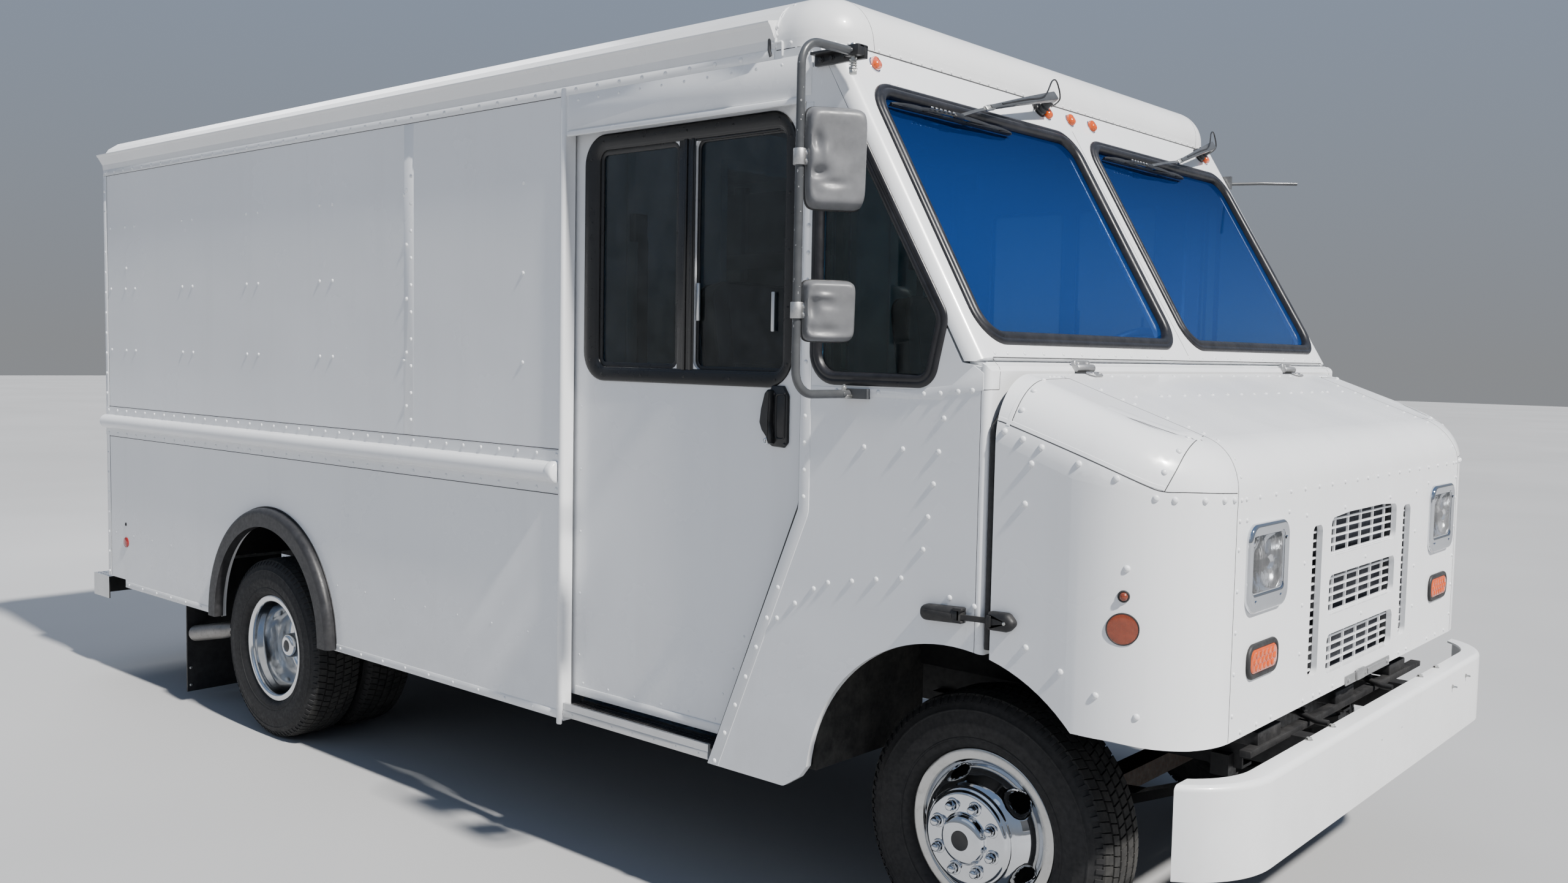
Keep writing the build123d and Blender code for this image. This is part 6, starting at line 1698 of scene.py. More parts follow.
# ================================================================ cab doors
WIN = (839.0, 1609.0, 1578.0, 2245.0)
BAR = (1193.0, 1257.0)
for side, s in (("right", -1), ("left", 1)):
    body = f"{side}_cab_door"
    f = FY(0, s * 1132, 0, s)
    g = Geo()
    # black window frame: outer ring lofted to the opening
    outer, inner = rect(773, 1645, 1534, 2294, 92, 10), rect(WIN[0], WIN[1], WIN[2], WIN[3], 34, 10)
    n = len(outer)
    rings = []
    nr = out_normals(outer)
    for off, h in ((0, 0.2), (0, 2.0), (-1.0, 4.4), (-3.0, 6.0), (-6, 6.4)):
        rings.append([f(p.x + q.x * off, p.y + q.y * off, h) for p, q in zip(outer, nr)])
    nr = out_normals(inner)
    for off, h in ((9, 6.4), (6.5, 5.0), (5.5, 4.2), (3, 4.2), (0.4, 2.6), (-1.5, 0.0), (-1.5, -9)):
        rings.append([f(p.x + q.x * off, p.y + q.y * off, h) for p, q in zip(inner, nr)])
    g.add([p for r in rings for p in r],
          [(j * n + i, j * n + (i + 1) % n, (j + 1) * n + (i + 1) % n, (j + 1) * n + i) for j in range(len(rings) - 1) for i in range(n)], 0)
    # middle bars: fixed mullion and the slider's stile
    rbox(g, f, BAR[0] - 2, BAR[1] + 2, WIN[2] - 2, WIN[3] + 2, -1, 2.5, 1.5)
    rbox(g, f, BAR[0] + 20, BAR[0] + 34, WIN[2] - 2, WIN[3] + 2, 2, 6.0, 1.5)
    rbox(g, f, BAR[1] - 16, BAR[1] - 4, WIN[2] - 2, WIN[3] + 2, 2, 5.0, 1.5)
    # sash of the rear pane and channel of the front one
    for a0, a1, c0, c1, w in ((WIN[0], BAR[0], -9, -3, 15), (BAR[1], WIN[1], -17, -11, 10)):
        path = rect(a0, a1, WIN[2], WIN[3], 30, 8)
        loft(g, path, f, [(0.5, c0), (0.5, c1), (-w + 2, c1), (-w, c1 - 1.5), (-w, c0)], wrap=True)
    rbox(g, f, BAR[1] + 2, WIN[1] - 2, 2238, 2244, -10, 1, 1)
    make(f"{side}_door_window_frame", g, BLACK_TRIM, body, "black_rubber", sharp=50)
    # screws round the frame
    g = Geo()
    scr = [(806, z) for z in (1600, 1756, 1912, 2068, 2220)] + [(1627, z) for z in (1600, 1756, 1912, 2068, 2220)] + \
          [(x, 1556) for x in (860, 1040, 1225, 1410, 1585)] + [(x, 2270) for x in (860, 1040, 1225, 1410, 1585)]
    for x, z in scr:
        lathe(g, [(4.6, 6.2), (4.4, 7.0), (3.2, 7.9), (1.2, 8.2), (0.9, 7.3), (0, 7.3)], Fr(f(x, z, 0), f.a, f.b, f.c), 12)
    make(f"{side}_door_frame_screws", g, BLACK_STEEL, body, "galvanised")
    # pull: sticker-free aluminium latch grip on the slider
    g = Geo()
    rbox(g, f, 1262, 1276, 1720, 1830, -10, -3, 2.5)
    rbox(g, f, 1553, 1565, 1690, 1800, -11, -8, 2.0)
    make(f"{side}_window_grips", g, ALU, body, "bare_aluminium")
    # outside handle: escutcheon, lifted paddle, lock barrel
    g = Geo()
    esc = rounded([(1575, 1541), (1618, 1541), (1636, 1514), (1636, 1384), (1622, 1370), (1578, 1372), (1564, 1380), (1556, 1400), (1560, 1470), (1567, 1525)],
                  [3, 6, 14, 10, 4, 4, 6, 8, 8, 6], 4)
    loft(g, esc, f, [(0, 0.2), (0, 5), (-1.5, 8), (-4, 9.5)], 0)
    grip = [Vector((1572, 1530)), Vector((1585, 1528)), Vector((1587, 1500)), Vector((1583, 1440)), Vector((1590, 1408)), Vector((1590, 1380)), Vector((1577, 1379)),
            Vector((1570, 1398)), Vector((1553, 1416)), Vector((1544, 1438)), Vector((1549, 1475)), Vector((1562, 1520))]
    loft(g, rounded([tuple(v) for v in grip], [4, 3, 8, 10, 8, 3, 3, 6, 10, 10, 10, 6], 3), f, [(0, 2), (0.5, 12), (0, 19), (-2, 24), (-4.5, 26.5)], 0)
    # recess wall and finger well
    loft(g, rect(1592, 1629, 1392, 1520, 12, 5), f, [(0, 9.4), (0, 11.5), (-2.5, 12.2), (-4.5, 11), (-5.5, 7)], 0)
    for x, z in ((1586, 1519), (1626, 1521), (1627, 1380)):
        lathe(g, [(4.5, 8), (4.2, 11), (2.5, 12), (0, 12.2)], Fr(f(x, z, 0), f.a, f.b, f.c), 12, 0)
    lathe(g, [(10, 4), (10, 15), (9, 17.5), (6.4, 18.4), (6.2, 16.8), (0, 16.6)], Fr(f(1564, 1386, 0), f.a, f.b, f.c), 24, 1)
    rbox(g, f, 1562.8, 1565.2, 1381, 1391, 16.4, 17.2, 0.4, 0)
    make(f"{side}_door_handle", g, [BLACK_PLASTIC, CHROME], body, "dark_plastic", sharp=35)
    # rubber seal on the edge of the cab side, where the door shuts
    g = Geo()
    k_ = (1716 - 1390) / (1216 - 444.0)
    lead = [(1702, 2300), (1702, 1224), (1390 + k_ * (530 - 444) - 14, 530)]
    pts = bend_path([f(x, z, 24) for x, z in lead], 60, 8)
    sec_ = [(-4, -8), (8, -9), (14, -3), (14, 18), (8, 18), (8, 5), (4, 8), (-2, 7), (-4, 3)]
    sweep(g, pts, [(-s * a, b) for a, b in sec_], up=(0, s, 0))
    make(f"{side}_door_edge_seal", g, GASKET, "van_body", "black_rubber", sharp=50)
    g = Geo()
    rbox(g, f, 745, 1420, 520, 548, 0.2, 3.0, 1.0)
    for x in (780, 900, 1020, 1140, 1260, 1370):
        rivet(g, f(x, 560, 0), (0, s, 0), 4.5, 1.6)
    for x, z in ((760, 1450), (760, 1250), (760, 1050), (760, 850), (760, 650), (1400, 640), (1440, 720), (1480, 820)):
        rivet(g, f(x, z, 0), (0, s, 0), 4.5, 1.6)
    make(f"{side}_door_trim", g, WHITE, body, "white_paint", sharp=60)
    # inside: pull handle and stiffening pan
    g = Geo()
    fi = FY(0, s * 1104, 0, -s)
    rbox(g, fi, 780, 1640, 900, 1500, 0.2, 6, 4.0)
    tube(g, [fi(1500, 1300, 6), fi(1500, 1300, 20), fi(1500, 1100, 20), fi(1500, 1100, 6)], 5, 8)
    make(f"{side}_door_inner_pan", g, WHITE_IN, body, "white_paint")

# sill: black ribbed track on the aluminium tread
g = Geo()
f = FZ(0, 0, 480)
rbox(g, f, 738, 1384, -1161, -1099, 0, 5, 1.5)
for k in range(4):
    rbox(g, f, 738, 1384, -1158 + 15.5 * k, -1150 + 15.5 * k, 4.5, 9, 1.5)
for k in range(21):
    rbox(g, f, 746 + 30.4 * k, 752 + 30.4 * k, -1160, -1101, 4.5, 8, 1.0)
both("sill_track", g, RUBBER, "van_body", "black_rubber")
g = Geo()
fs_ = FY(0, -1176, 0)
rbox(g, fs_, 735, 1386, 452, 474, 0, 1.2, 0.6)
for k in range(7):
    rivet(g, (780 + 95 * k, -1177, 463), (0, -1, 0), 4.0, 1.5)
both("sill_edge", g, ALU, "van_body", "bare_aluminium")

# ================================================================ walls: post beside the door, rail seams, reflector
g = Geo()
half = [(11.5 * math.cos(math.pi * k / 10), 9.5 * math.sin(math.pi * k / 10)) for k in range(11)]
loft(g, [Vector((722.5 + a, -HALF_W - b)) for a, b in half], FZ(0, 0, 0), [(-1.5, 426), (0, 429), (0, 2438), (-1.5, 2441)])
both("door_post_bead", g, WHITE, "van_body", "white_paint", sharp=50)
g = Geo()
for z in (1311.0, 1166.5):
    rbox(g, FY(0, -HALF_W, 0), X_REAR + 4, 709, z - 1.3, z + 1.3, -0.3, 1.2, 0.5)
rbox(g, FY(0, -HALF_W, 0), 708.6, 710.8, 484, 2414, -0.3, 0.9, 0.4)
rbox(g, FY(0, -HALF_W, 0), X_REAR + 36, X_REAR + 38, 484, 2414, -0.3, 0.7, 0.4)
rbox(g, FY(0, -HALF_W, 0), X_REAR + 4, 706, 2415.4, 2417.2, -0.3, 1.4, 0.4)
both("rail_seams", g, SEAM, "van_body", "black_rubber")
g = Geo()
f = FY(-2526, -HALF_W, 662)
lathe(g, [(25, 0), (25, 3.4), (23, 4.6), (22, 3.8), (20, 4.6), (13, 6.2), (0, 6.8)], f, 28)
lathe(g, [(8.5, 0), (8.5, 1.6), (6.6, 2.6), (4.4, 1.6), (3.8, 0.4), (0, 0.4)], FY(-2530, -HALF_W, 749), 18, 1)
both("side_reflector", g, [RED, RUBBER], "van_body", "clear_glass")

# ================================================================ back of the body
XR = X_REAR


def FR(y, z):
    """On the back face, c pointing rearward."""
    return FX(XR, y, z, -1)


HINGE_Z = (905.0, 1400.0, 1900.0, 2200.0)
hinge_body, hinge_door = Geo(), Geo()
for z in HINGE_Z:
    f = FR(0, z)
    rbox(hinge_body, f, -832, -766, -44, 44, 0, 3.6, 1.2)
    rbox(hinge_door, f, -755, -690, -44, 44, 0, 3.6, 1.2)
    for z0, z1, gg in ((-44, -16, hinge_body), (16, 44, hinge_body), (-15, 15, hinge_door)):
        lathe(gg, [(0, z0), (6, z0), (7.4, z0 + 1.4), (7.4, z1 - 1.4), (6, z1), (0, z1)], FZ(-2741, -761, z), 18)
        y0, y1 = (-768, -761) if gg is hinge_body else (-761, -752)
        rbox(gg, FZ(0, 0, z), -2742, -2736, y0, y1, z0 + 1, z1 - 1, 1.0)
    lathe(hinge_body, [(0, 44), (5.4, 44), (6.4, 46), (5.4, 48.5), (0, 49)], FZ(-2741, -761, z), 12)
    for dz in (-28, 0, 28):
        hexbolt(hinge_body, (XR - 3.6, -812, z + dz), (-1, 0, 0), 6, 4.4)
        hexbolt(hinge_body, (XR - 3.6, -788, z + dz * 0.8), (-1, 0, 0), 5, 4)
        hexbolt(hinge_door, (XR - 3.6, -712, z + dz), (-1, 0, 0), 6, 4.4)
        hexbolt(hinge_door, (XR - 3.6, -736, z + dz * 0.8), (-1, 0, 0), 5, 4)
both("rear_hinge_leaves", hinge_body, ZINC, "van_body", "galvanised", sharp=35)
both("rear_hinge_straps", hinge_door, ZINC, "right_rear_door", "galvanised", sharp=35)

# window rubbers, edge seals, skins and lap rivets of the doors
RW = rect(-650, -110, 1500, 2150, 60, 10)
g = Geo()
loft(g, RW, FR(0, 0), [(21, -1), (20.6, 3), (18, 6.4), (13, 7.6), (8, 6.4), (6, 6.2), (2, 7.8), (-4, 8), (-7.5, 5.6), (-8.4, 0), (-8.4, -13)], cap0=False, cap1=False)
both("rear_window_rubbers", g, GASKET, "right_rear_door", "black_rubber", sharp=60)
g = Geo()
loft(g, RW, FX(XR + 34, 0, 0), [(18, -1), (17, 3), (12, 5), (-4, 5), (-7, 2), (-7, -14)], cap0=False, cap1=False)
edge = rect(-750, -10, 774, 2316, 6, 3)
loft(g, edge, FX(XR + 34, 0, 0), [(0, -1), (0, 5), (-3, 8), (-9, 8), (-12, 5), (-12, -1)], cap0=False, cap1=False)
both("rear_door_seals", g, RUBBER, "right_rear_door", "black_rubber", sharp=60)
g = Geo()
f = FR(0, 0)
for a0, a1, b0, b1 in ((-755, -722, 772, 2318), (-38, -6, 772, 2318), (-720, -40, 2286, 2318), (-720, -40, 772, 806), (-720, -40, 1396, 1426)):
    rbox(g, f, a0, a1, b0, b1, -0.4, 1.6, 1.0)
both("rear_door_laps", g, WHITE, "right_rear_door", "white_paint")
g = Geo()
for y in (-730, -22):
    for k in range(15):
        z = 815 + 105 * k
        if min(abs(z - q) for q in HINGE_Z) < 55 and y < -600:
            continue
        rivet(g, (XR - 1.4, y, z), (-1, 0, 0), 6.0, 3.4)
for z in (2302, 789, 1411):
    for k in range(7):
        rivet(g, (XR - 1.4, -665 + 97 * k, z), (-1, 0, 0), 6.0, 3.4)
both("rear_door_rivets", g, WHITE, "right_rear_door", "white_paint", sharp=60)

# body rivets, corner angles and drip rail
g = Geo()
rbox(g, f, -1176, -1128, 486, 2450, -0.4, 1.8, 1.0)
rbox(g, f, -846, -836, 786, 2330, -0.4, 1.8, 1.0)
for k in range(20):
    rivet(g, (XR - 1.8, -1150, 520 + 100 * k), (-1, 0, 0), 6.5, 3.8)
for k in range(16):
    rivet(g, (XR, -862, 800 + 100 * k), (-1, 0, 0), 6.0, 3.2)
for k in range(4):
    rivet(g, (XR, -40 - 170 * k, 738), (-1, 0, 0), 6.0, 3.2)
both("rear_laps", g, WHITE, "van_body", "white_paint", sharp=60)
g = Geo()
drip = [Vector((0, 0)), Vector((15, -3)), Vector((18, 2)), Vector((18, 14)), Vector((15.6, 14)), Vector((15.2, 3)), Vector((3, 6)), Vector((2, 22)), Vector((0, 22))]
loft(g, drip, Fr((XR, 0, 2342), (-1, 0, 0), (0, 0, 1), (0, 1, 0)), [(0, -800), (0, 800)])
for k in range(17):
    rivet(g, (XR - 2.4, -760 + 95 * k, 2360), (-1, 0, 0), 4.5, 2.4)
make("rear_drip_rail", g, WHITE, "van_body", "white_paint", sharp=40)
# lamps: three round ones a side, five small markers above, the plate lamp
g = Geo()
for z, m in ((1050, 2), (925, 3), (800, 4)):
    f = FR(-975, z)
    lathe(g, [(66, 0), (66, 4), (62, 8), (57, 9), (54.5, 7), (53, 4)], f, 40, 1)
    lathe(g, [(53.5, 3), (53, 12), (50.5, 16), (44, 19), (30, 21), (0, 22)], f, 40, m)
    for r, n in ((16, 8), (31, 14), (43, 20)):
        for k in range(n):
            a = 2 * math.pi * k / n
            lathe(g, [(4.2, 17.5), (3.4, 21.2 if r < 40 else 20.0), (1.6, 22.6 if r < 40 else 21), (0, 23 if r < 40 else 21.4)],
                  Fr(f(r * math.cos(a), r * math.sin(a), 0), f.a, f.b, f.c), 8, m)
for y in (-1085,):
    rbox(g, FR(y, 2405), -32, 32, -13, 13, 0, 5, 3.0, 1)
    rbox(g, FR(y, 2405), -27, 27, -9, 9, 4, 17, 5.0, 2)
both("tail_lamps", g, [ZINC, RUBBER, RED, AMBER, CLEAR], "van_body", "clear_glass")
g = Geo()
for y in (-110, 0, 110):
    rbox(g, FR(y, 2405), -32, 32, -13, 13, 0, 5, 3.0, 0)
    rbox(g, FR(y, 2405), -27, 27, -9, 9, 4, 17, 5.0, 1)
make("rear_markers", g, [RUBBER, RED], "van_body", "clear_glass")

# slam handle with lock rods on the right door; blank plate with its lamp and a pull on the left one
g = Geo()
f = FR(-96, 1210)
rbox(g, f, -42, 42, -82, 82, 0, 5, 6.0, 0, 3)
loft(g, rect(-28, 28, -62, 40, 10, 5), f, [(3, 5), (3, 8), (0, 9), (-3, 8), (-5, 5.5)], 0, cap0=False)
loft(g, rect(-18, 18, -52, 50, 12, 5), f, [(0, 8), (0, 15), (-3, 20), (-7, 22)], 1)
rbox(g, f, -20, 20, -66, -46, 8, 30, 5.0, 1, 3)
lathe(g, [(11, 4), (11, 10), (9.6, 12), (6, 12.4), (5.8, 11), (0, 11)], Fr(f(0, 62, 0), f.a, f.b, f.c), 20, 1)
for x, z in ((-34, -74), (34, -74), (-34, 74), (34, 74)):
    lathe(g, [(4.4, 5), (4.0, 6.6), (2.2, 7.4), (0, 7.5)], Fr(f(x, z, 0), f.a, f.b, f.c), 10, 1)
make("rear_slam_handle", g, [BLACK_PLASTIC, CHROME_OLD], "right_rear_door", "dark_plastic", sharp=35)
g = Geo()
xi = XR + 34
for z0, z1 in ((1260, 2290), (800, 1160)):
    tube(g, [(xi + 13, -96, z0), (xi + 13, -96, z1)], 6.5, 5, 12)
    for z in (z0 + 120, (z0 + z1) / 2, z1 - 60):
        rbox(g, FX(xi, -96, z), -20, 20, -9, 9, 0, 3, 1.0)
        lathe(g, [(7.0, -9), (10, -9), (10, 9), (7.0, 9)], FZ(xi + 13, -96, z), 16)
rbox(g, FX(xi, -96, 1210), -55, 55, -70, 70, 0, 26, 4.0)
rbox(g, FX(xi, -96, 1210), -14, 14, -40, 40, 25, 42, 4.0)
make("rear_lock_rods", g, ZINC, "right_rear_door", "galvanised")
g = Geo()
f = FR(330, 960)
rbox(g, f, -160, 160, -84, 84, 0, 2.0, 4.0, 0)
rbox(g, f, -152, 152, -76, 76, 2.0, 3.2, 10.0, 1, 3)
loft(g, rect(-149, 149, -73, 73, 8, 5), f, [(0, 3.0), (0, 4.4), (-2.5, 4.8), (-5, 3.1)], 1, cap0=False, cap1=False)
for x in (-89, 89):
    for z in (-62, 62):
        hexbolt(g, f(x, z, 3.2), (-1, 0, 0), 4.5, 4, 2)
rbox(g, f, -46, 46, 92, 118, 0, 22, 5.0, 3, 3)
rbox(g, f, -38, 38, 88, 94, 5, 20, 3.0, 4)
make("rear_plate", g, [ZINC, WHITE_IN, ZINC, BLACK_PLASTIC, CLEAR], "left_rear_door", "galvanised")
g = Geo()
tube(g, [(XR - 1, 78, 1120), (XR - 46, 78, 1120), (XR - 46, 78, 1290), (XR - 1, 78, 1290)], 9, 22, 12)
for z in (1120, 1290):
    lathe(g, [(22, 0), (22, 3), (19, 5), (11, 6), (10, 9)], FR(78, z), 20)
make("rear_door_pull", g, CHROME_OLD, "left_rear_door", "chrome_plate")

# step: raised studs on its top, a lip and the bolts of its brackets
g = Geo()
for i in range(6):
    for j in range(83):
        x, y = -2896 + 28 * i, -1168 + 28.5 * j
        if 358 < abs(y) < 446 or abs(y) > 1172:
            continue
        rbox(g, FZ(x + (6 if j % 2 else 0), y, 469.6), -7 if j % 2 else -3.2, 7 if j % 2 else 3.2, -3.2 if j % 2 else -7, 3.2 if j % 2 else 7, 0, 2.6, 1.2, 0, 1)
make("step_tread", g, ALU, "van_body", "bare_aluminium", smooth=True)
g = Geo()
rbox(g, FX(-2911.6, 0, 0, -1), -1176, 1176, 455, 468, -2.2, 0.3, 1.0)
for s in (-1, 1):
    for y in (s * 352, s * 452):
        for z in (384, 420):
            hexbolt(g, (-2906, y, z), (1, 0, 0), 8, 7)
make("step_lip", g, ALU, "van_body", "bare_aluminium")

# ================================================================ load space
WALL_IN = abs(shoot((-1000, -600, 1500), (0, -1, 0), "right_side_wall")[0].y)
g = Geo()
BOWS = (-2446.0, -1860.0, -1275.0, -696.0, -120.0, 480.0)
hat = [Vector((-50, 0)), Vector((-50, 3)), Vector((-27, 4)), Vector((-24, 27)), Vector((-20, 31)), Vector((20, 31)), Vector((24, 27)), Vector((27, 4)), Vector((50, 3)), Vector((50, 0))]
for x in BOWS[:-1]:
    z0 = 884 if REAR_X - 500 < x < REAR_X + 520 else 762
    loft(g, hat, Fr((x, -WALL_IN, 0), (1, 0, 0), (0, 1, 0), (0, 0, 1)), [(0, z0), (0, 2470)])
    for z in (z0 + 40, 1200, 1500, 1800, 2100, 2380):
        for a in (-38, 38):
            rivet(g, (x + a, -WALL_IN + 3.4, z), (0, 1, 0), 5, 2.4, 8)
both("wall_posts", g, ALU_IN, "van_body", "bare_aluminium", sharp=30)
g = Geo()
for z in (1010, 1290, 1690, 2090):
    rbox(g, FY(0, -WALL_IN + 31, 0, 1), -2694, -78, z - 38, z + 38, 0, 16, 4.0)
    for x in BOWS[:-1]:
        lathe(g, [(7, 15), (7, 17), (4, 18.4), (0, 18.6)], FY(x, -WALL_IN + 31, z, 1), 10)
both("wall_slats", g, ALU, "van_body", "bare_aluminium")
g = Geo()
for x in BOWS:
    line = []
    for k in range(25):
        y = -1090 + 2180 * k / 24
        h = shoot((x, y, 2300), (0, 0, 1), "roof")
        if h:
            line.append(h[0])
    sec = [(p.x, -p.y + 0.0) for p in hat]
    sweep(g, line, [(a, -b) for a, b in [(p.x, p.y) for p in hat]], up=(0, 0, 1), fixed=True)
make("roof_bows", g, ALU_IN, "van_body", "bare_aluminium", sharp=30)
g = Geo()
for k in range(-13, 14):
    rbox(g, FZ(0, 50 * k, 0), -2694, 636, -2.6, 2.6, 759.6, 763, 1.0, 0, 1)
for x in (-2600, -1900, -1275, -640, -20, 560):
    for k in range(-13, 13):
        lathe(g, [(5, 0), (4.4, 0.8), (0, 0.9)], FZ(x, 50 * k + 25, 760), 8)
make("floor_planks", g, ALU, "van_body", "bare_aluminium")
g = Geo()
for x in (-1900, -400):
    h = shoot((x, 0, 2300), (0, 0, 1), "roof")[0]
    f = Fr(h, (1, 0, 0), (0, 1, 0), (0, 0, -1))
    lathe(g, [(72, -1), (72, 5), (69, 8), (64, 9)], f, 32, 0)
    lathe(g, [(66, 6), (62, 16), (48, 25), (25, 29), (0, 30)], f, 32, 1)
make("dome_lamps", g, [CHROME_OLD, CLEAR], "van_body", "clear_glass")

# doorway trim and stiffeners of the bulkhead, both faces
g = Geo()
for x, d in ((669.0, 1), (641.0, -1)):
    f = FX(x, 0, 0, d)
    rbox(g, f, -412, -381, 762, 2320, 0, 3, 1.2)
    rbox(g, f, 381, 412, 762, 2320, 0, 3, 1.2)
    rbox(g, f, -381, 381, 2291, 2322, 0, 3, 1.2)
    for s in (-1, 1):
        for y in (620, 850, 1050):
            rbox(g, f, s * y - 17, s * y + 17, 800, 2400, 0, 9, 6.0, 0, 3)
        for z in range(820, 2300, 120):
            rivet(g, f(s * 396, z, 3), (d, 0, 0), 4.4, 2, 8)
make("bulkhead_trim", g, WHITE_IN, "van_body", "white_paint", sharp=40)

# ================================================================ cab
WN = Vector((-math.sin(math.radians(38)), 0, math.cos(math.radians(38))))
WC = Vector((1700.0, 500.0, 1590.0))
fw = Fr(WC, (0, 1, 0), WN.cross(Vector((0, 1, 0))), WN)
g = Geo()
lathe(g, [(0, 6), (26, 5), (40, 1), (52, -4), (60, -9), (63, -14), (63, -30), (58, -50)], fw, 36, 0)
lathe(g, [(33, 4.5), (34, 6.4), (37, 6.6), (39, 3)], fw, 36, 1)
lathe(g, [(56, -52), (62, -58), (61, -90), (54, -150), (50, -250), (46, -262), (32, -266)], fw, 28, 0)
for k in range(3):
    a = math.radians(90 + 120 * k)
    d = fw.a * math.sin(a) - fw.b * math.cos(a)
    t = d.cross(WN)
    p0, p1 = WC - WN * 18 + d * 52, WC + d * 214
    ax = (p1 - p0).normalized()
    nn = t.cross(ax).normalized()
    fs = Fr(p0, t, nn, ax)
    wdt = (p1 - p0).length
    loft(g, rounded([(-19, -8), (19, -8), (19, 7), (-19, 7)], 6, 4), fs, [(0, 0), (-3, wdt * 0.35), (-4.5, wdt * 0.7), (-3, wdt)], 0)
for sgn, z0, le in ((1, -95, 190), (-1, -115, 150)):
    tube(g, [WC + WN * z0 + Vector((0, sgn * 50, 0)), WC + WN * (z0 + 6) + Vector((0, sgn * le, 0))], 4.5, 5, 10, 1)
    lathe(g, [(0, 0), (6, 0), (9, 10), (9, 42), (6, 50), (0, 51)], fr_normal(WC + WN * (z0 + 6) + Vector((0, sgn * le, 0)), (0, sgn, 0.03)), 14, 0)
make("steering_trim", g, [BLACK_PLASTIC, CHROME_OLD], "van_body", "dark_plastic", sharp=40)
g = Geo()
for k in range(72):
    a = 2 * math.pi * k / 72
    d = fw.a * math.cos(a) + fw.b * math.sin(a)
    t = fw.b * math.cos(a) - fw.a * math.sin(a)
    lathe(g, [(13.6, -3.4), (15.5, -2.4), (15.7, 2.4), (13.6, 3.4)], Fr(WC + d * 225, d, WN, t), 14)
make("steering_grip", g, BLACK_PLASTIC, "van_body", "dark_plastic")

# dashboard: binnacle, dials, switches, vents, grab rail, screen slots
DN = Vector((-180.0, 0, -45.0)).normalized()


def FD(y, u=0.0):
    """On the dashboard's rear face, c toward the seats."""
    up = Vector((-45.0, 0, 180.0)).normalized()
    return Fr(Vector((2017.5, y, 1390.0)) + up * u, (0, 1, 0), up, DN)


g = Geo()
f = FD(500)
rbox(g, f, -232, 232, -84, 84, -1, 16, 10.0, 0, 3)
loft(g, rect(-240, 240, -84, 92, 14, 4), f, [(0, 0), (0, 46), (-4, 50), (-10, 50), (-12, 46), (-12, 14)], 0, cap0=False, cap1=False)
rbox(g, f, -226, 226, -78, 80, 15, 18, 4.0, 1)
for a, b, r in ((-72, 4, 54), (60, 4, 54), (-176, 42, 24), (-176, -34, 24), (168, 42, 24), (168, -34, 24), (-6, -56, 13), (118, 52, 13)):
    fg = Fr(f(a, b, 0), f.a, f.b, f.c)
    lathe(g, [(r + 5, 16), (r + 5, 22), (r + 3, 25), (r, 24.5), (r - 1.5, 20)], fg, 36, 2)
    lathe(g, [(r, 19), (r, 20), (0, 20)], fg, 32, 3)
    n = 13 if r > 40 else 7
    for k in range(n):
        t = math.radians(225 - 270 * k / (n - 1))
        ft = Fr(fg(math.cos(t) * r * 0.84, math.sin(t) * r * 0.84, 20), fg.a * math.cos(t) + fg.b * math.sin(t), fg.b * math.cos(t) - fg.a * math.sin(t), fg.c)
        rbox(g, ft, -r * 0.09, r * 0.09, -r * 0.018 - 0.3, r * 0.018 + 0.3, -0.2, 0.7, 0.2, 4, 1)
    t = math.radians(222 if r > 40 else 150)
    ft = Fr(fg(0, 0, 21), fg.a * math.cos(t) + fg.b * math.sin(t), fg.b * math.cos(t) - fg.a * math.sin(t), fg.c)
    rbox(g, ft, -r * 0.18, r * 0.72, -1.0, 1.0, 0.2, 1.6, 0.4, 5, 1)
    lathe(g, [(r * 0.12, 20), (r * 0.12, 24), (0, 24.6)], fg, 14, 0)
make("instrument_cluster", g, [DASH, BLACK_PLASTIC, CHROME_OLD, BLACK_TRIM, WHITE_IN, AMBER], "van_body", "dark_plastic", sharp=35)
g = Geo()
f = FD(0)
rbox(g, f, -215, 215, -80, 80, -1, 8, 8.0, 0, 3)
for k in range(7):
    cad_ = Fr(f(-168 + 56 * k, 40, 0), f.a, f.b, f.c)
    rbox(g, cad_, -17, 17, -22, 22, 7, 12, 3.0, 1)
    loft(g, rect(-12, 12, -17, 17, 2, 2), Fr(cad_(0, 0, 12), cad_.a, (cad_.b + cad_.c * 0.22).normalized()), [(0, -3), (0, 4), (-2, 6)], 1)
for a in (-120, 0, 120):
    fg = Fr(f(a, -36, 0), f.a, f.b, f.c)
    lathe(g, [(27, 7), (27, 10), (24, 11)], fg, 28, 2)
    lathe(g, [(19, 8), (18, 26), (16, 28), (0, 28.5)], fg, 22, 1)
    rbox(g, fg, -1.3, 1.3, 4, 17, 28, 29.4, 0.4, 3)
fg = FD(236, -36)
lathe(g, [(19, -1), (19, 5), (16, 8), (11, 8.5), (10, 6), (0, 6)], fg, 26, 2)
rbox(g, fg, -1.4, 1.4, -6, 6, 5.5, 7.2, 0.4, 1)
for y in (850, -330, -960):
    fv = FD(y, 10)
    lathe(g, [(52, -1), (52, 8), (48, 13), (43, 12), (41, 5)], fv, 36, 1)
    for k in range(-4, 5):
        w = math.sqrt(max(0, 41 ** 2 - (9 * k) ** 2))
        rbox(g, Fr(fv(0, 9 * k, 0), fv.a, (fv.b + fv.c * 0.7).normalized()), -w, w, -4.5, 4.5, 2, 4, 0.8, 1, 1)
tube(g, [FD(-470, 20)(0, 0, 0), FD(-470, 20)(0, 0, 52), FD(-830, 20)(0, 0, 52), FD(-830, 20)(0, 0, 0)], 12, 30, 16, 1)
for y in (-470, -830):
    lathe(g, [(26, 0), (26, 4), (22, 7), (13, 8)], FD(y, 20), 22, 1)
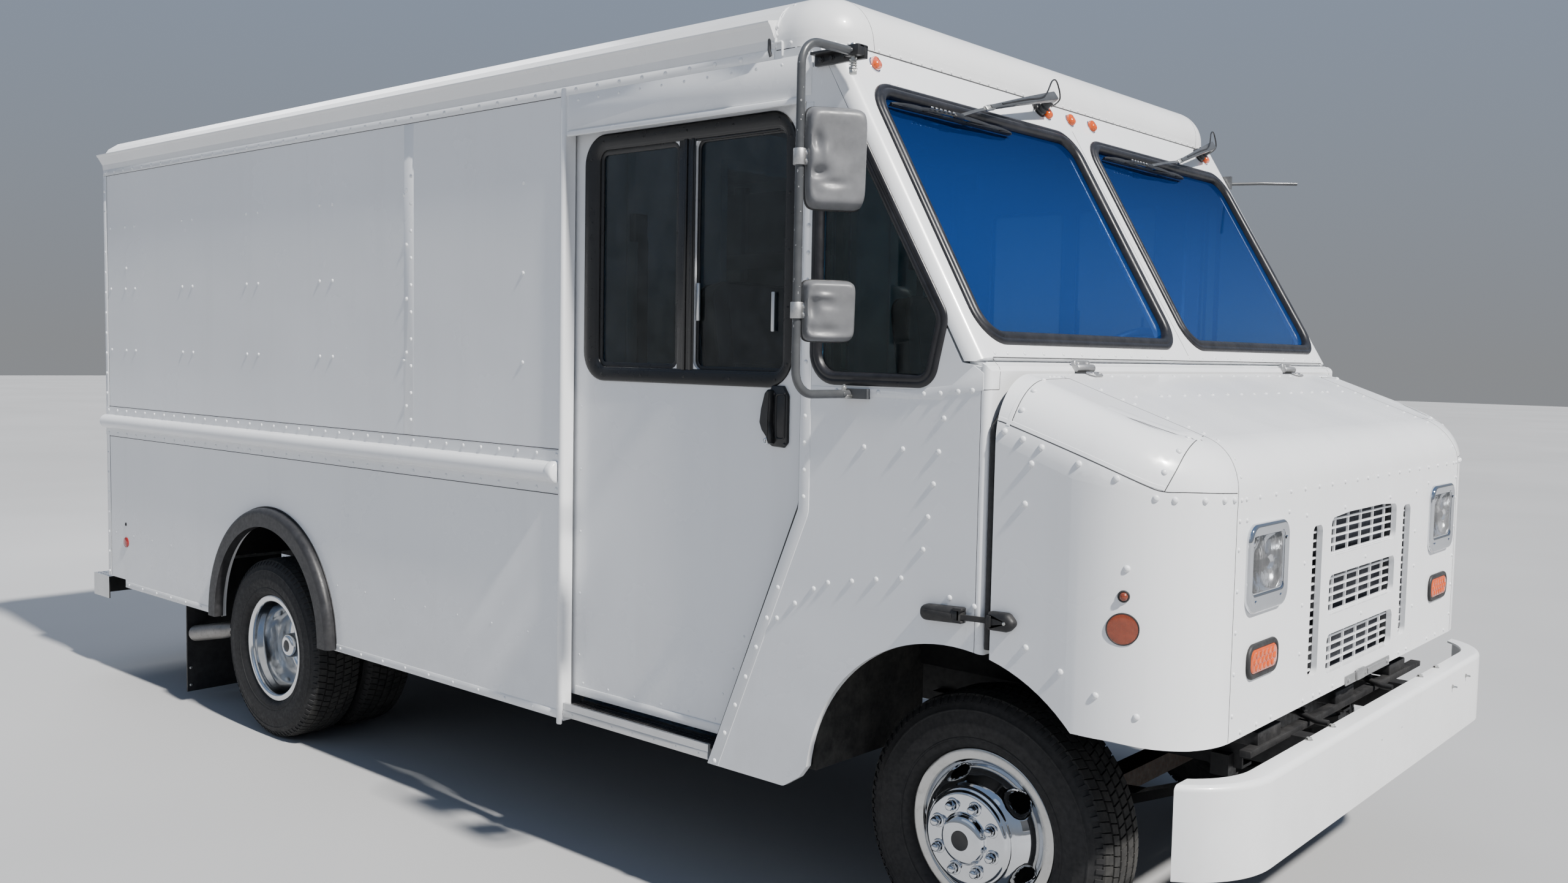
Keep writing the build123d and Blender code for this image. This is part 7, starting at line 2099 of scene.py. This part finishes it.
rbox(g, FD(-650, -48), -200, 200, -34, 30, 0, 4, 6.0, 1, 3)
rbox(g, FD(-650, -48), -24, 24, 10, 22, 4, 12, 3.0, 2)
up = Vector((206.0, 0, 65.0)).normalized()
for y in (-560, 560):
    ft = Fr((2196, y, 1573.6), (0, 1, 0), up)
    rbox(g, Fr(ft.o, ft.a, ft.b, Vector((-65.0, 0, 206.0)).normalized()), -330, 330, -19, 19, -1, 3, 4.0, 1)
    for k in range(33):
        rbox(g, Fr(ft.o, ft.a, ft.b, Vector((-65.0, 0, 206.0)).normalized()), -322 + 20 * k, -312 + 20 * k, -14, 14, 2.6, 5, 1.0, 1, 1)
for y in (-1010, -330, 330, 1010):
    hexbolt(g, (2120, y, 1552), (-0.3, 0, 0.954), 6, 4)
make("dash_fittings", g, [DASH, BLACK_PLASTIC, CHROME_OLD, WHITE_IN], "van_body", "dark_plastic", sharp=40)

# engine cover: ribbed mat, beading, latches, tray
g = Geo()
f = FZ(0, 0, 1230)
rbox(g, f, 1752, 2262, -372, 372, -0.5, 3.5, 12.0, 0, 3)
for k in range(-17, 18):
    rbox(g, f, 1766, 2248, 20 * k - 4, 20 * k + 4, 3, 5.4, 2.0, 0, 1)
for s in (-1, 1):
    fs = FY(0, s * 398, 0, s)
    rbox(g, fs, 1602, 2280, 762, 792, -0.4, 5, 3.0, 1)
    rbox(g, fs, 1606, 1636, 792, 1100, -0.4, 3, 3.0, 1)
    for z in (880, 1060):
        rbox(g, fs, 1640, 1700, z - 18, z + 18, 0, 4, 4.0, 2)
        rbox(g, fs, 1652, 1712, z - 8, z + 8, 4, 13, 4.0, 2)
        lathe(g, [(7, 4), (7, 16), (5, 18), (0, 18)], Fr(fs(1660, z, 0), fs.a, fs.b, fs.c), 14, 2)
    for x in range(1720, 2270, 90):
        rivet(g, fs(x, 777, 5), (0, s, 0), 5, 2.4, 8, 2)
ftr = FZ(1900, 0, 1235)
loft(g, rect(-110, 110, -190, 190, 24, 6), ftr, [(0, 0), (0, 42), (-3, 46), (-7, 46), (-10, 42), (-12, 8)], 1, cap1=True)
for y in (-110, 110):
    lathe(g, [(46, 8), (46, 50), (43, 53), (39, 50), (37, 12), (0, 12)], Fr(ftr(0, y, 0), ftr.a, ftr.b, ftr.c), 32, 3)
make("engine_cover_trim", g, [FLOOR_MAT, BLACK_PLASTIC, ZINC, DASH], "van_body", "dark_plastic", sharp=40)

# pedals, parking brake, ribbed floor, seat slides, buckles and belts
g = Geo()
for y, w in ((455, 44),):
    fp = fr_normal((1962, y, 905), (-0.86, 0, 0.51))
    rbox(g, fp, -w, w, -32, 32, 0, 10, 6.0, 0, 3)
    for k in range(-3, 4):
        rbox(g, fp, -w + 6, w - 6, 8 * k - 2, 8 * k + 2, 9, 13, 1.0, 0, 1)
    tube(g, [(1968, y, 905), (2010, y, 960), (2090, y, 1240)], 9, 60, 12, 1)
fp = fr_normal((1990, 590, 860), (-0.80, 0, 0.60))
rbox(g, fp, -30, 30, -105, 105, 0, 9, 8.0, 0, 3)
for k in range(-11, 12):
    rbox(g, fp, -24, 24, 8.5 * k - 2, 8.5 * k + 2, 8, 11.5, 1.0, 0, 1)
tube(g, [(1994, 590, 860), (2070, 590, 900), (2100, 590, 1180)], 8, 50, 12, 1)
rbox(g, FZ(1952, 590, 760), -34, 30, -26, 26, 0, 22, 4.0, 1)
tube(g, [(1952, 590, 775), (1975, 590, 800)], 7, 5, 10, 1)
rbox(g, FZ(1480, 798, 760), -70, 70, -26, 26, 0, 34, 6.0, 1, 3)
tube(g, [(1500, 798, 780), (1480, 798, 900), (1440, 798, 1080)], 9, 60, 14, 1)
lathe(g, [(0, 0), (11, 0), (16, 10), (16, 90), (13, 104), (6, 110), (0, 111)], fr_normal((1446, 798, 1060), (-0.22, 0, 0.975)), 18, 0)
lathe(g, [(20, 0), (17, 14), (12, 26), (10, 30)], fr_normal((1500, 798, 790), (-0.1, 0, 1)), 20, 0)
make("driver_controls", g, [RUBBER, BLACK_STEEL], "van_body", "dark_plastic", sharp=40)
g = Geo()
for s in (-1, 1):
    for k in range(31):
        rbox(g, FZ(0, 0, 492), 756 + 31.5 * k, 762 + 31.5 * k, *sorted((s * 858, s * 1080)), -0.4, 3.2, 1.2, 0, 1)
    for k in range(19):
        y = s * (432 + 22 * k)
        if abs(y) < 845:
            rbox(g, FZ(0, 0, 760), 700, 1590, y - 3, y + 3, -0.4, 2.6, 1.0, 0, 1)
make("cab_floor_ribs", g, FLOOR_MAT, "van_body", "black_rubber")
g = Geo()
for y in (500, -560):
    s = 1 if y > 0 else -1
    for d in (-165, 165):
        rbox(g, FZ(0, 0, 1112), 1060, 1470, y + d - 15, y + d + 15, -1, 8, 2.5, 0)
        for x in (1090, 1440):
            hexbolt(g, (x, y + d, 760), (0, 0, 1), 9, 8)
    tube(g, [(1470, y - 120, 1104), (1510, y - 120, 1100), (1510, y + 120, 1100), (1470, y + 120, 1104)], 6, 22, 12, 0)
    for d in (-228, 228):
        rbox(g, FY(0, y + d, 0, 1), 1000, 1100, 1130, 1290, -4, 4, 20.0, 0, 3)
        lathe(g, [(24, -6), (24, 6), (20, 8), (0, 8)], FY(1048, y + d, 1215, 1 if d > 0 else -1), 22, 1)
    for d in (-100, 100):
        for x in (1130, 1390):
            hexbolt(g, (x, y + d, 760), (0, 0, 1), 8, 7)
    # buckle on the inner side
    yb = y - s * 262
    tube(g, [(1130, yb, 1096), (1150, yb, 1150), (1175, yb, 1215)], 5, 40, 10, 0)
    rbox(g, fr_normal((1180, yb, 1228), (0, -s, 0), (0.4, 0, 0.92)), -17, 17, -30, 30, -10, 10, 4.0, 1, 3)
    rbox(g, Fr((1191, yb, 1255), (1, 0, -0.4), (0, 1, 0), (0.4, 0, 0.92)), -11, 11, -7, 7, 0, 4, 2.0, 2)
make("seat_ironwork", g, [BLACK_STEEL, BLACK_PLASTIC, RED], "van_body", "black_steel", sharp=40)
g = Geo()
for y in (500, -560):
    s = 1 if y > 0 else -1
    yb = y + s * 268
    top = Vector((676, yb, 2010))
    rbox(g, FX(669, yb, 2040), -30, 30, -46, 46, 0, 34, 5.0, 1, 3)
    rbox(g, FX(669, yb, 1050), -34, 34, -60, 60, 0, 58, 6.0, 1, 3)
    strap = [(702, yb, 2026), (712, yb, 1990), (712, yb, 1110)]
    sweep(g, strap, [(-23, -0.9), (23, -0.9), (23, 0.9), (-23, 0.9)], up=(1, 0, 0), fixed=True)
    rbox(g, Fr((715, yb, 1480), (0, 1, 0), (0, 0, 1), (1, 0, 0)), -27, 27, -9, 36, -6, 4, 2.0, 2, 2)
make("seat_belts", g, [BELT, BLACK_PLASTIC, ZINC], "van_body", "dark_plastic", sharp=40)


# ---------------------------------------------------------------- seat pads, puffed by a cloth run
def pad(name, hx, hy, hz, rc, lines, voxel=0.0098, force=4.5, cap=0.022):
    """Foam pad in its own frame: boxed panels held along their seams, blown out between them. Lengths in mm."""
    g = Geo()
    prism(g, rect(-hx, hx, -hy, hy, rc, 8), FZ(0, 0, 0), -hz, hz, 12, 12, 4)
    me = bpy.data.meshes.new(name)
    me.from_pydata([(x * MM, y * MM, z * MM) for x, y, z in g.v], [], g.f)
    o = bpy.data.objects.new(name, me)
    bpy.context.scene.collection.objects.link(o)
    rm = o.modifiers.new("voxels", "REMESH")
    rm.mode, rm.voxel_size, rm.use_smooth_shade = "VOXEL", voxel, True
    dg = bpy.context.evaluated_depsgraph_get()
    m2 = bpy.data.meshes.new_from_object(o.evaluated_get(dg))
    o.modifiers.clear()
    o.data = m2
    ring = [Vector(p) for p in rect(-hx + 3, hx - 3, -hy + 3, hy - 3, rc - 3, 8)]

    def near_ring(p):
        best = 1e9
        q = Vector((p.x, p.y))
        for i in range(len(ring)):
            a, b = ring[i], ring[(i + 1) % len(ring)]
            t = max(0, min(1, (q - a).dot(b - a) / max(1e-9, (b - a).length_squared)))
            best = min(best, (q - a.lerp(b, t)).length)
        return best

    held = {}
    for v in m2.vertices:
        p = v.co / MM
        w = 0.0
        if abs(abs(p.z) - (hz - 4)) < 7 and near_ring(p) < 7:
            w = 1.0
        if p.z < -hz + 6:
            w = max(w, 0.6)
        for axis, at, lim in lines:
            if abs(p[axis] - at) < 5.0 and p.z > 0 and abs(p[1 - axis]) < lim:
                w = 1.0
        held[v.index] = w
    rest = [v.co.copy() for v in m2.vertices]
    vg = o.vertex_groups.new(name="held")
    for k, w in held.items():
        if w:
            vg.add([k], w, "REPLACE")
    cl = o.modifiers.new("cloth", "CLOTH")
    st = cl.settings
    st.quality, st.mass = 6, 0.35
    st.tension_stiffness = st.compression_stiffness = 18.0
    st.shear_stiffness, st.bending_stiffness = 8.0, 1.2
    st.tension_damping = st.compression_damping = st.shear_damping = 10.0
    st.use_pressure, st.uniform_pressure_force = True, force
    st.effector_weights.gravity = 0.0
    st.vertex_group_mass = "held"
    cl.collision_settings.use_collision = False
    cl.point_cache.frame_start, cl.point_cache.frame_end = 1, 20
    sc = bpy.context.scene
    for fr in range(1, 21):
        sc.frame_set(fr)
    dg = bpy.context.evaluated_depsgraph_get()
    done = bpy.data.meshes.new_from_object(o.evaluated_get(dg))
    moved = [v.co.copy() for v in done.vertices]
    for v, a, b in zip(m2.vertices, rest, moved):
        d = b - a
        if d.length > cap:
            d = d.normalized() * cap
        v.co = a + d
    o.modifiers.clear()
    sc.frame_set(1)
    sd = o.modifiers.new("round", "SUBSURF")
    sd.levels = sd.render_levels = 1
    dg = bpy.context.evaluated_depsgraph_get()
    out = bpy.data.meshes.new_from_object(o.evaluated_get(dg))
    g = Geo()
    g.add([v.co / MM for v in out.vertices], [tuple(p.vertices) for p in out.polygons], 0)
    bpy.data.objects.remove(o)
    # welts along the two boxing seams and stitched lines between the panels
    for z in (hz - 3, -hz + 3):
        sweep(g, [Vector((p.x, p.y, z)) for p in rect(-hx + 2, hx - 2, -hy + 2, hy - 2, rc - 2, 10)], circle(4.2, 10), closed=True, mat=1)
    for axis, at, lim in lines:
        a = Vector((at, -lim, hz + 0.2)) if axis == 0 else Vector((-lim, at, hz + 0.2))
        b = Vector((at, lim, hz + 0.2)) if axis == 0 else Vector((lim, at, hz + 0.2))
        sweep(g, [a, (a + b) / 2, b], circle(2.6, 8), mat=1)
    return g


def placed(src, fr):
    g = Geo()
    g.v = [tuple(fr(*p)) for p in src.v]
    g.f = list(src.f)
    g.m = list(src.m)
    return g


cush = pad("seat_cushion_pad", 220, 232, 45, 60, [(0, -95, 170), (0, 60, 170), (1, -150, 190), (1, 150, 190)])
back = pad("seat_back_pad", 312, 222, 36, 70, [(0, -150, 165), (0, 40, 165), (1, -150, 270), (1, 150, 270)])
for y in (500.0, -560.0):
    side = "driver" if y > 0 else "passenger"
    fc = Fr((1268, y, 1178), Vector((465, 0, 22)), (0, 1, 0), Vector((-22, 0, 465)))
    up = Vector((-97, 0, 638)).normalized()
    fb = Fr((1000, y, 1548), up, (0, 1, 0), Vector((up.z, 0, -up.x)))
    g = placed(cush, fc).join(placed(back, fb))
    o = make(f"{side}_seat_pads", g, [VINYL, BLACK_PLASTIC], "van_body", "seat_vinyl", sharp=70,
             stands_for=("seat_cushions",) if y > 0 else ())

# ================================================================ chassis details
g = Geo()
for s in (-1, 1):
    for x in range(-2500, 1500, 260):
        h = shoot((x, s * 1100, 560), (0, -s, 0), "ladder_frame")
        if h and abs(h[0].y) < 480:
            hexbolt(g, h[0] + Vector((0, 0, 26)), (0, s, 0), 8, 7)
            hexbolt(g, h[0] + Vector((0, 0, -26)), (0, s, 0), 8, 7)
make("frame_bolts", g, ZINC, "van_body", "galvanised", sharp=30)

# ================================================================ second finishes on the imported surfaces
def faces_where(node, mat, test):
    """Give the faces of a node that pass a test (centre in mm, normal) another finish."""
    me = NODES[node].data
    me.materials.append(mat)
    k = len(me.materials) - 1
    for p in me.polygons:
        if test(p.center / MM, p.normal):
            p.material_index = k


faces_where("cab_glass", GLASS_QUARTER, lambda c, n: abs(c.y) > 1155)
faces_where("cargo_floor", BLACK_STEEL, lambda c, n: c.z < 872 and (n.z < -0.5 or abs(c.y) > 680 and c.z < 868 and -1580 < c.x < -670 and n.z < 0.5))
faces_where("cab_floor", BLACK_STEEL, lambda c, n: c.z < 1160 and c.x > 1726 and (n.z < -0.5 or abs(n.y) > 0.5 or abs(n.x) > 0.5))
faces_where("rear_bumper", BLACK_STEEL, lambda c, n: n.z < -0.5 or n.x > 0.5)
for s, side in ((-1, "right"), (1, "left")):
    faces_where(f"{side}_side_wall", ALU_IN, lambda c, n, s=s: n.y * s < -0.5)
    faces_where(f"{side}_cab_side", WHITE_IN, lambda c, n, s=s: n.y * s < -0.5)
    faces_where(f"{side}_rear_door", ALU_IN, lambda c, n: n.x > 0.5)
    faces_where(f"{side}_cab_door", WHITE_IN, lambda c, n, s=s: n.y * s < -0.5)
faces_where("roof", ALU_IN, lambda c, n: n.z < -0.2 and abs(c.y) < 1140)
faces_where("roof_front_cap", WHITE_IN, lambda c, n: n.z < -0.3 or c.y * n.y < -1e-3 and n.x < 0.2)
faces_where("windshield_frame", DASH, lambda c, n: n.x < -0.3)
faces_where("cowl", BLACK_STEEL, lambda c, n: n.x < -0.3 or n.z < -0.3)
# inner faces of the hood, nose sides and front panel get the near-black painted shade
faces_where("hood", NOSE_IN_PAINTED_SHADE, lambda c, n: n.z < 0.0 and n.x < 0.3 or n.x < -0.5)
faces_where("nose_sides", NOSE_IN_PAINTED_SHADE, lambda c, n: n.y * c.y < -1e-3 or n.x < -0.6)
faces_where("fascia", NOSE_IN_PAINTED_SHADE, lambda c, n: n.x < -0.5)
wn = NODES["nose_sides"].modifiers.new("even_normals", "WEIGHTED_NORMAL")
wn.weight, wn.keep_sharp = 60, True


# ---------------------------------------------------------------- camera, light and floor
def stage():
    cam = bpy.data.cameras.new("camera")
    cam.lens, cam.sensor_width = 30.55, 36.0
    cam.clip_end = 200.0
    co = bpy.data.objects.new("camera", cam)
    bpy.context.scene.collection.objects.link(co)
    yaw, pitch, roll = math.radians(131.1), math.radians(-3.8), math.radians(1.1)
    fwd = Vector((math.cos(yaw) * math.cos(pitch), math.sin(yaw) * math.cos(pitch), math.sin(pitch)))
    right = Vector((math.sin(yaw), -math.cos(yaw), 0))
    up = right.cross(fwd)
    r2 = right * math.cos(roll) + up * math.sin(roll)
    u2 = -right * math.sin(roll) + up * math.cos(roll)
    m = Matrix((r2, u2, -fwd)).transposed().to_4x4()
    m.translation = Vector((4.0276, -3.8947, 1.6309))
    co.matrix_world = m
    bpy.context.scene.camera = co

    me = bpy.data.meshes.new("floor")
    me.from_pydata([(-60, -60, 0), (60, -60, 0), (60, 60, 0), (-60, 60, 0)], [], [(0, 1, 2, 3)])
    fl = Mat("studio_floor", (0.40, 0.40, 0.40), 0.85)
    fl.color(fl.mix(fl.val(fl.noise(0.35, 3.0), 0, 1), (0.36, 0.36, 0.362), (0.40, 0.40, 0.402)))
    me.materials.append(fl.m)
    fo = bpy.data.objects.new("floor", me)
    bpy.context.scene.collection.objects.link(fo)

    def area(name, at, to, size, power, color=(1, 1, 1)):
        li = bpy.data.lights.new(name, "AREA")
        li.shape, li.size, li.size_y = "RECTANGLE", size[0], size[1]
        li.energy, li.color = power, color
        lo = bpy.data.objects.new(name, li)
        bpy.context.scene.collection.objects.link(lo)
        lo.location = at
        lo.rotation_euler = (Vector(to) - Vector(at)).to_track_quat("-Z", "Y").to_euler()

    sun = bpy.data.lights.new("key", "SUN")
    sun.energy, sun.angle, sun.color = 8.2, math.radians(2.4), (1.0, 0.972, 0.925)
    so = bpy.data.objects.new("key", sun)
    bpy.context.scene.collection.objects.link(so)
    so.location = (9.0, -0.8, 10.5)
    so.rotation_euler = Vector((-0.66, 0.052, -0.75)).to_track_quat("-Z", "Y").to_euler()
    area("fill", (1.0, -9.0, 6.0), (-0.5, 0, 1.2), (9, 4), 40, (0.86, 0.93, 1.0))
    area("back", (-8.0, 1.0, 7.0), (0, 0, 1.5), (5, 4), 300, (0.97, 0.98, 1.0))

    w = bpy.data.worlds.new("studio")
    bpy.context.scene.world = w
    w.use_nodes = True
    nt = w.node_tree
    bg = nt.nodes["Background"]
    tc = nt.nodes.new("ShaderNodeTexCoord")
    sep = nt.nodes.new("ShaderNodeSeparateXYZ")
    rp = nt.nodes.new("ShaderNodeValToRGB")
    nt.links.new(tc.outputs["Generated"], sep.inputs[0])
    nt.links.new(sep.outputs[2], rp.inputs[0])
    e = rp.color_ramp.elements
    e[0].position, e[0].color = 0.0, (0.56, 0.58, 0.61, 1)
    e[1].position, e[1].color = 1.0, (0.34, 0.54, 0.92, 1)
    mid = e.new(0.25)
    mid.color = (0.54, 0.65, 0.84, 1)
    nt.links.new(rp.outputs[0], bg.inputs[0])
    bg.inputs[1].default_value = 0.47


stage()
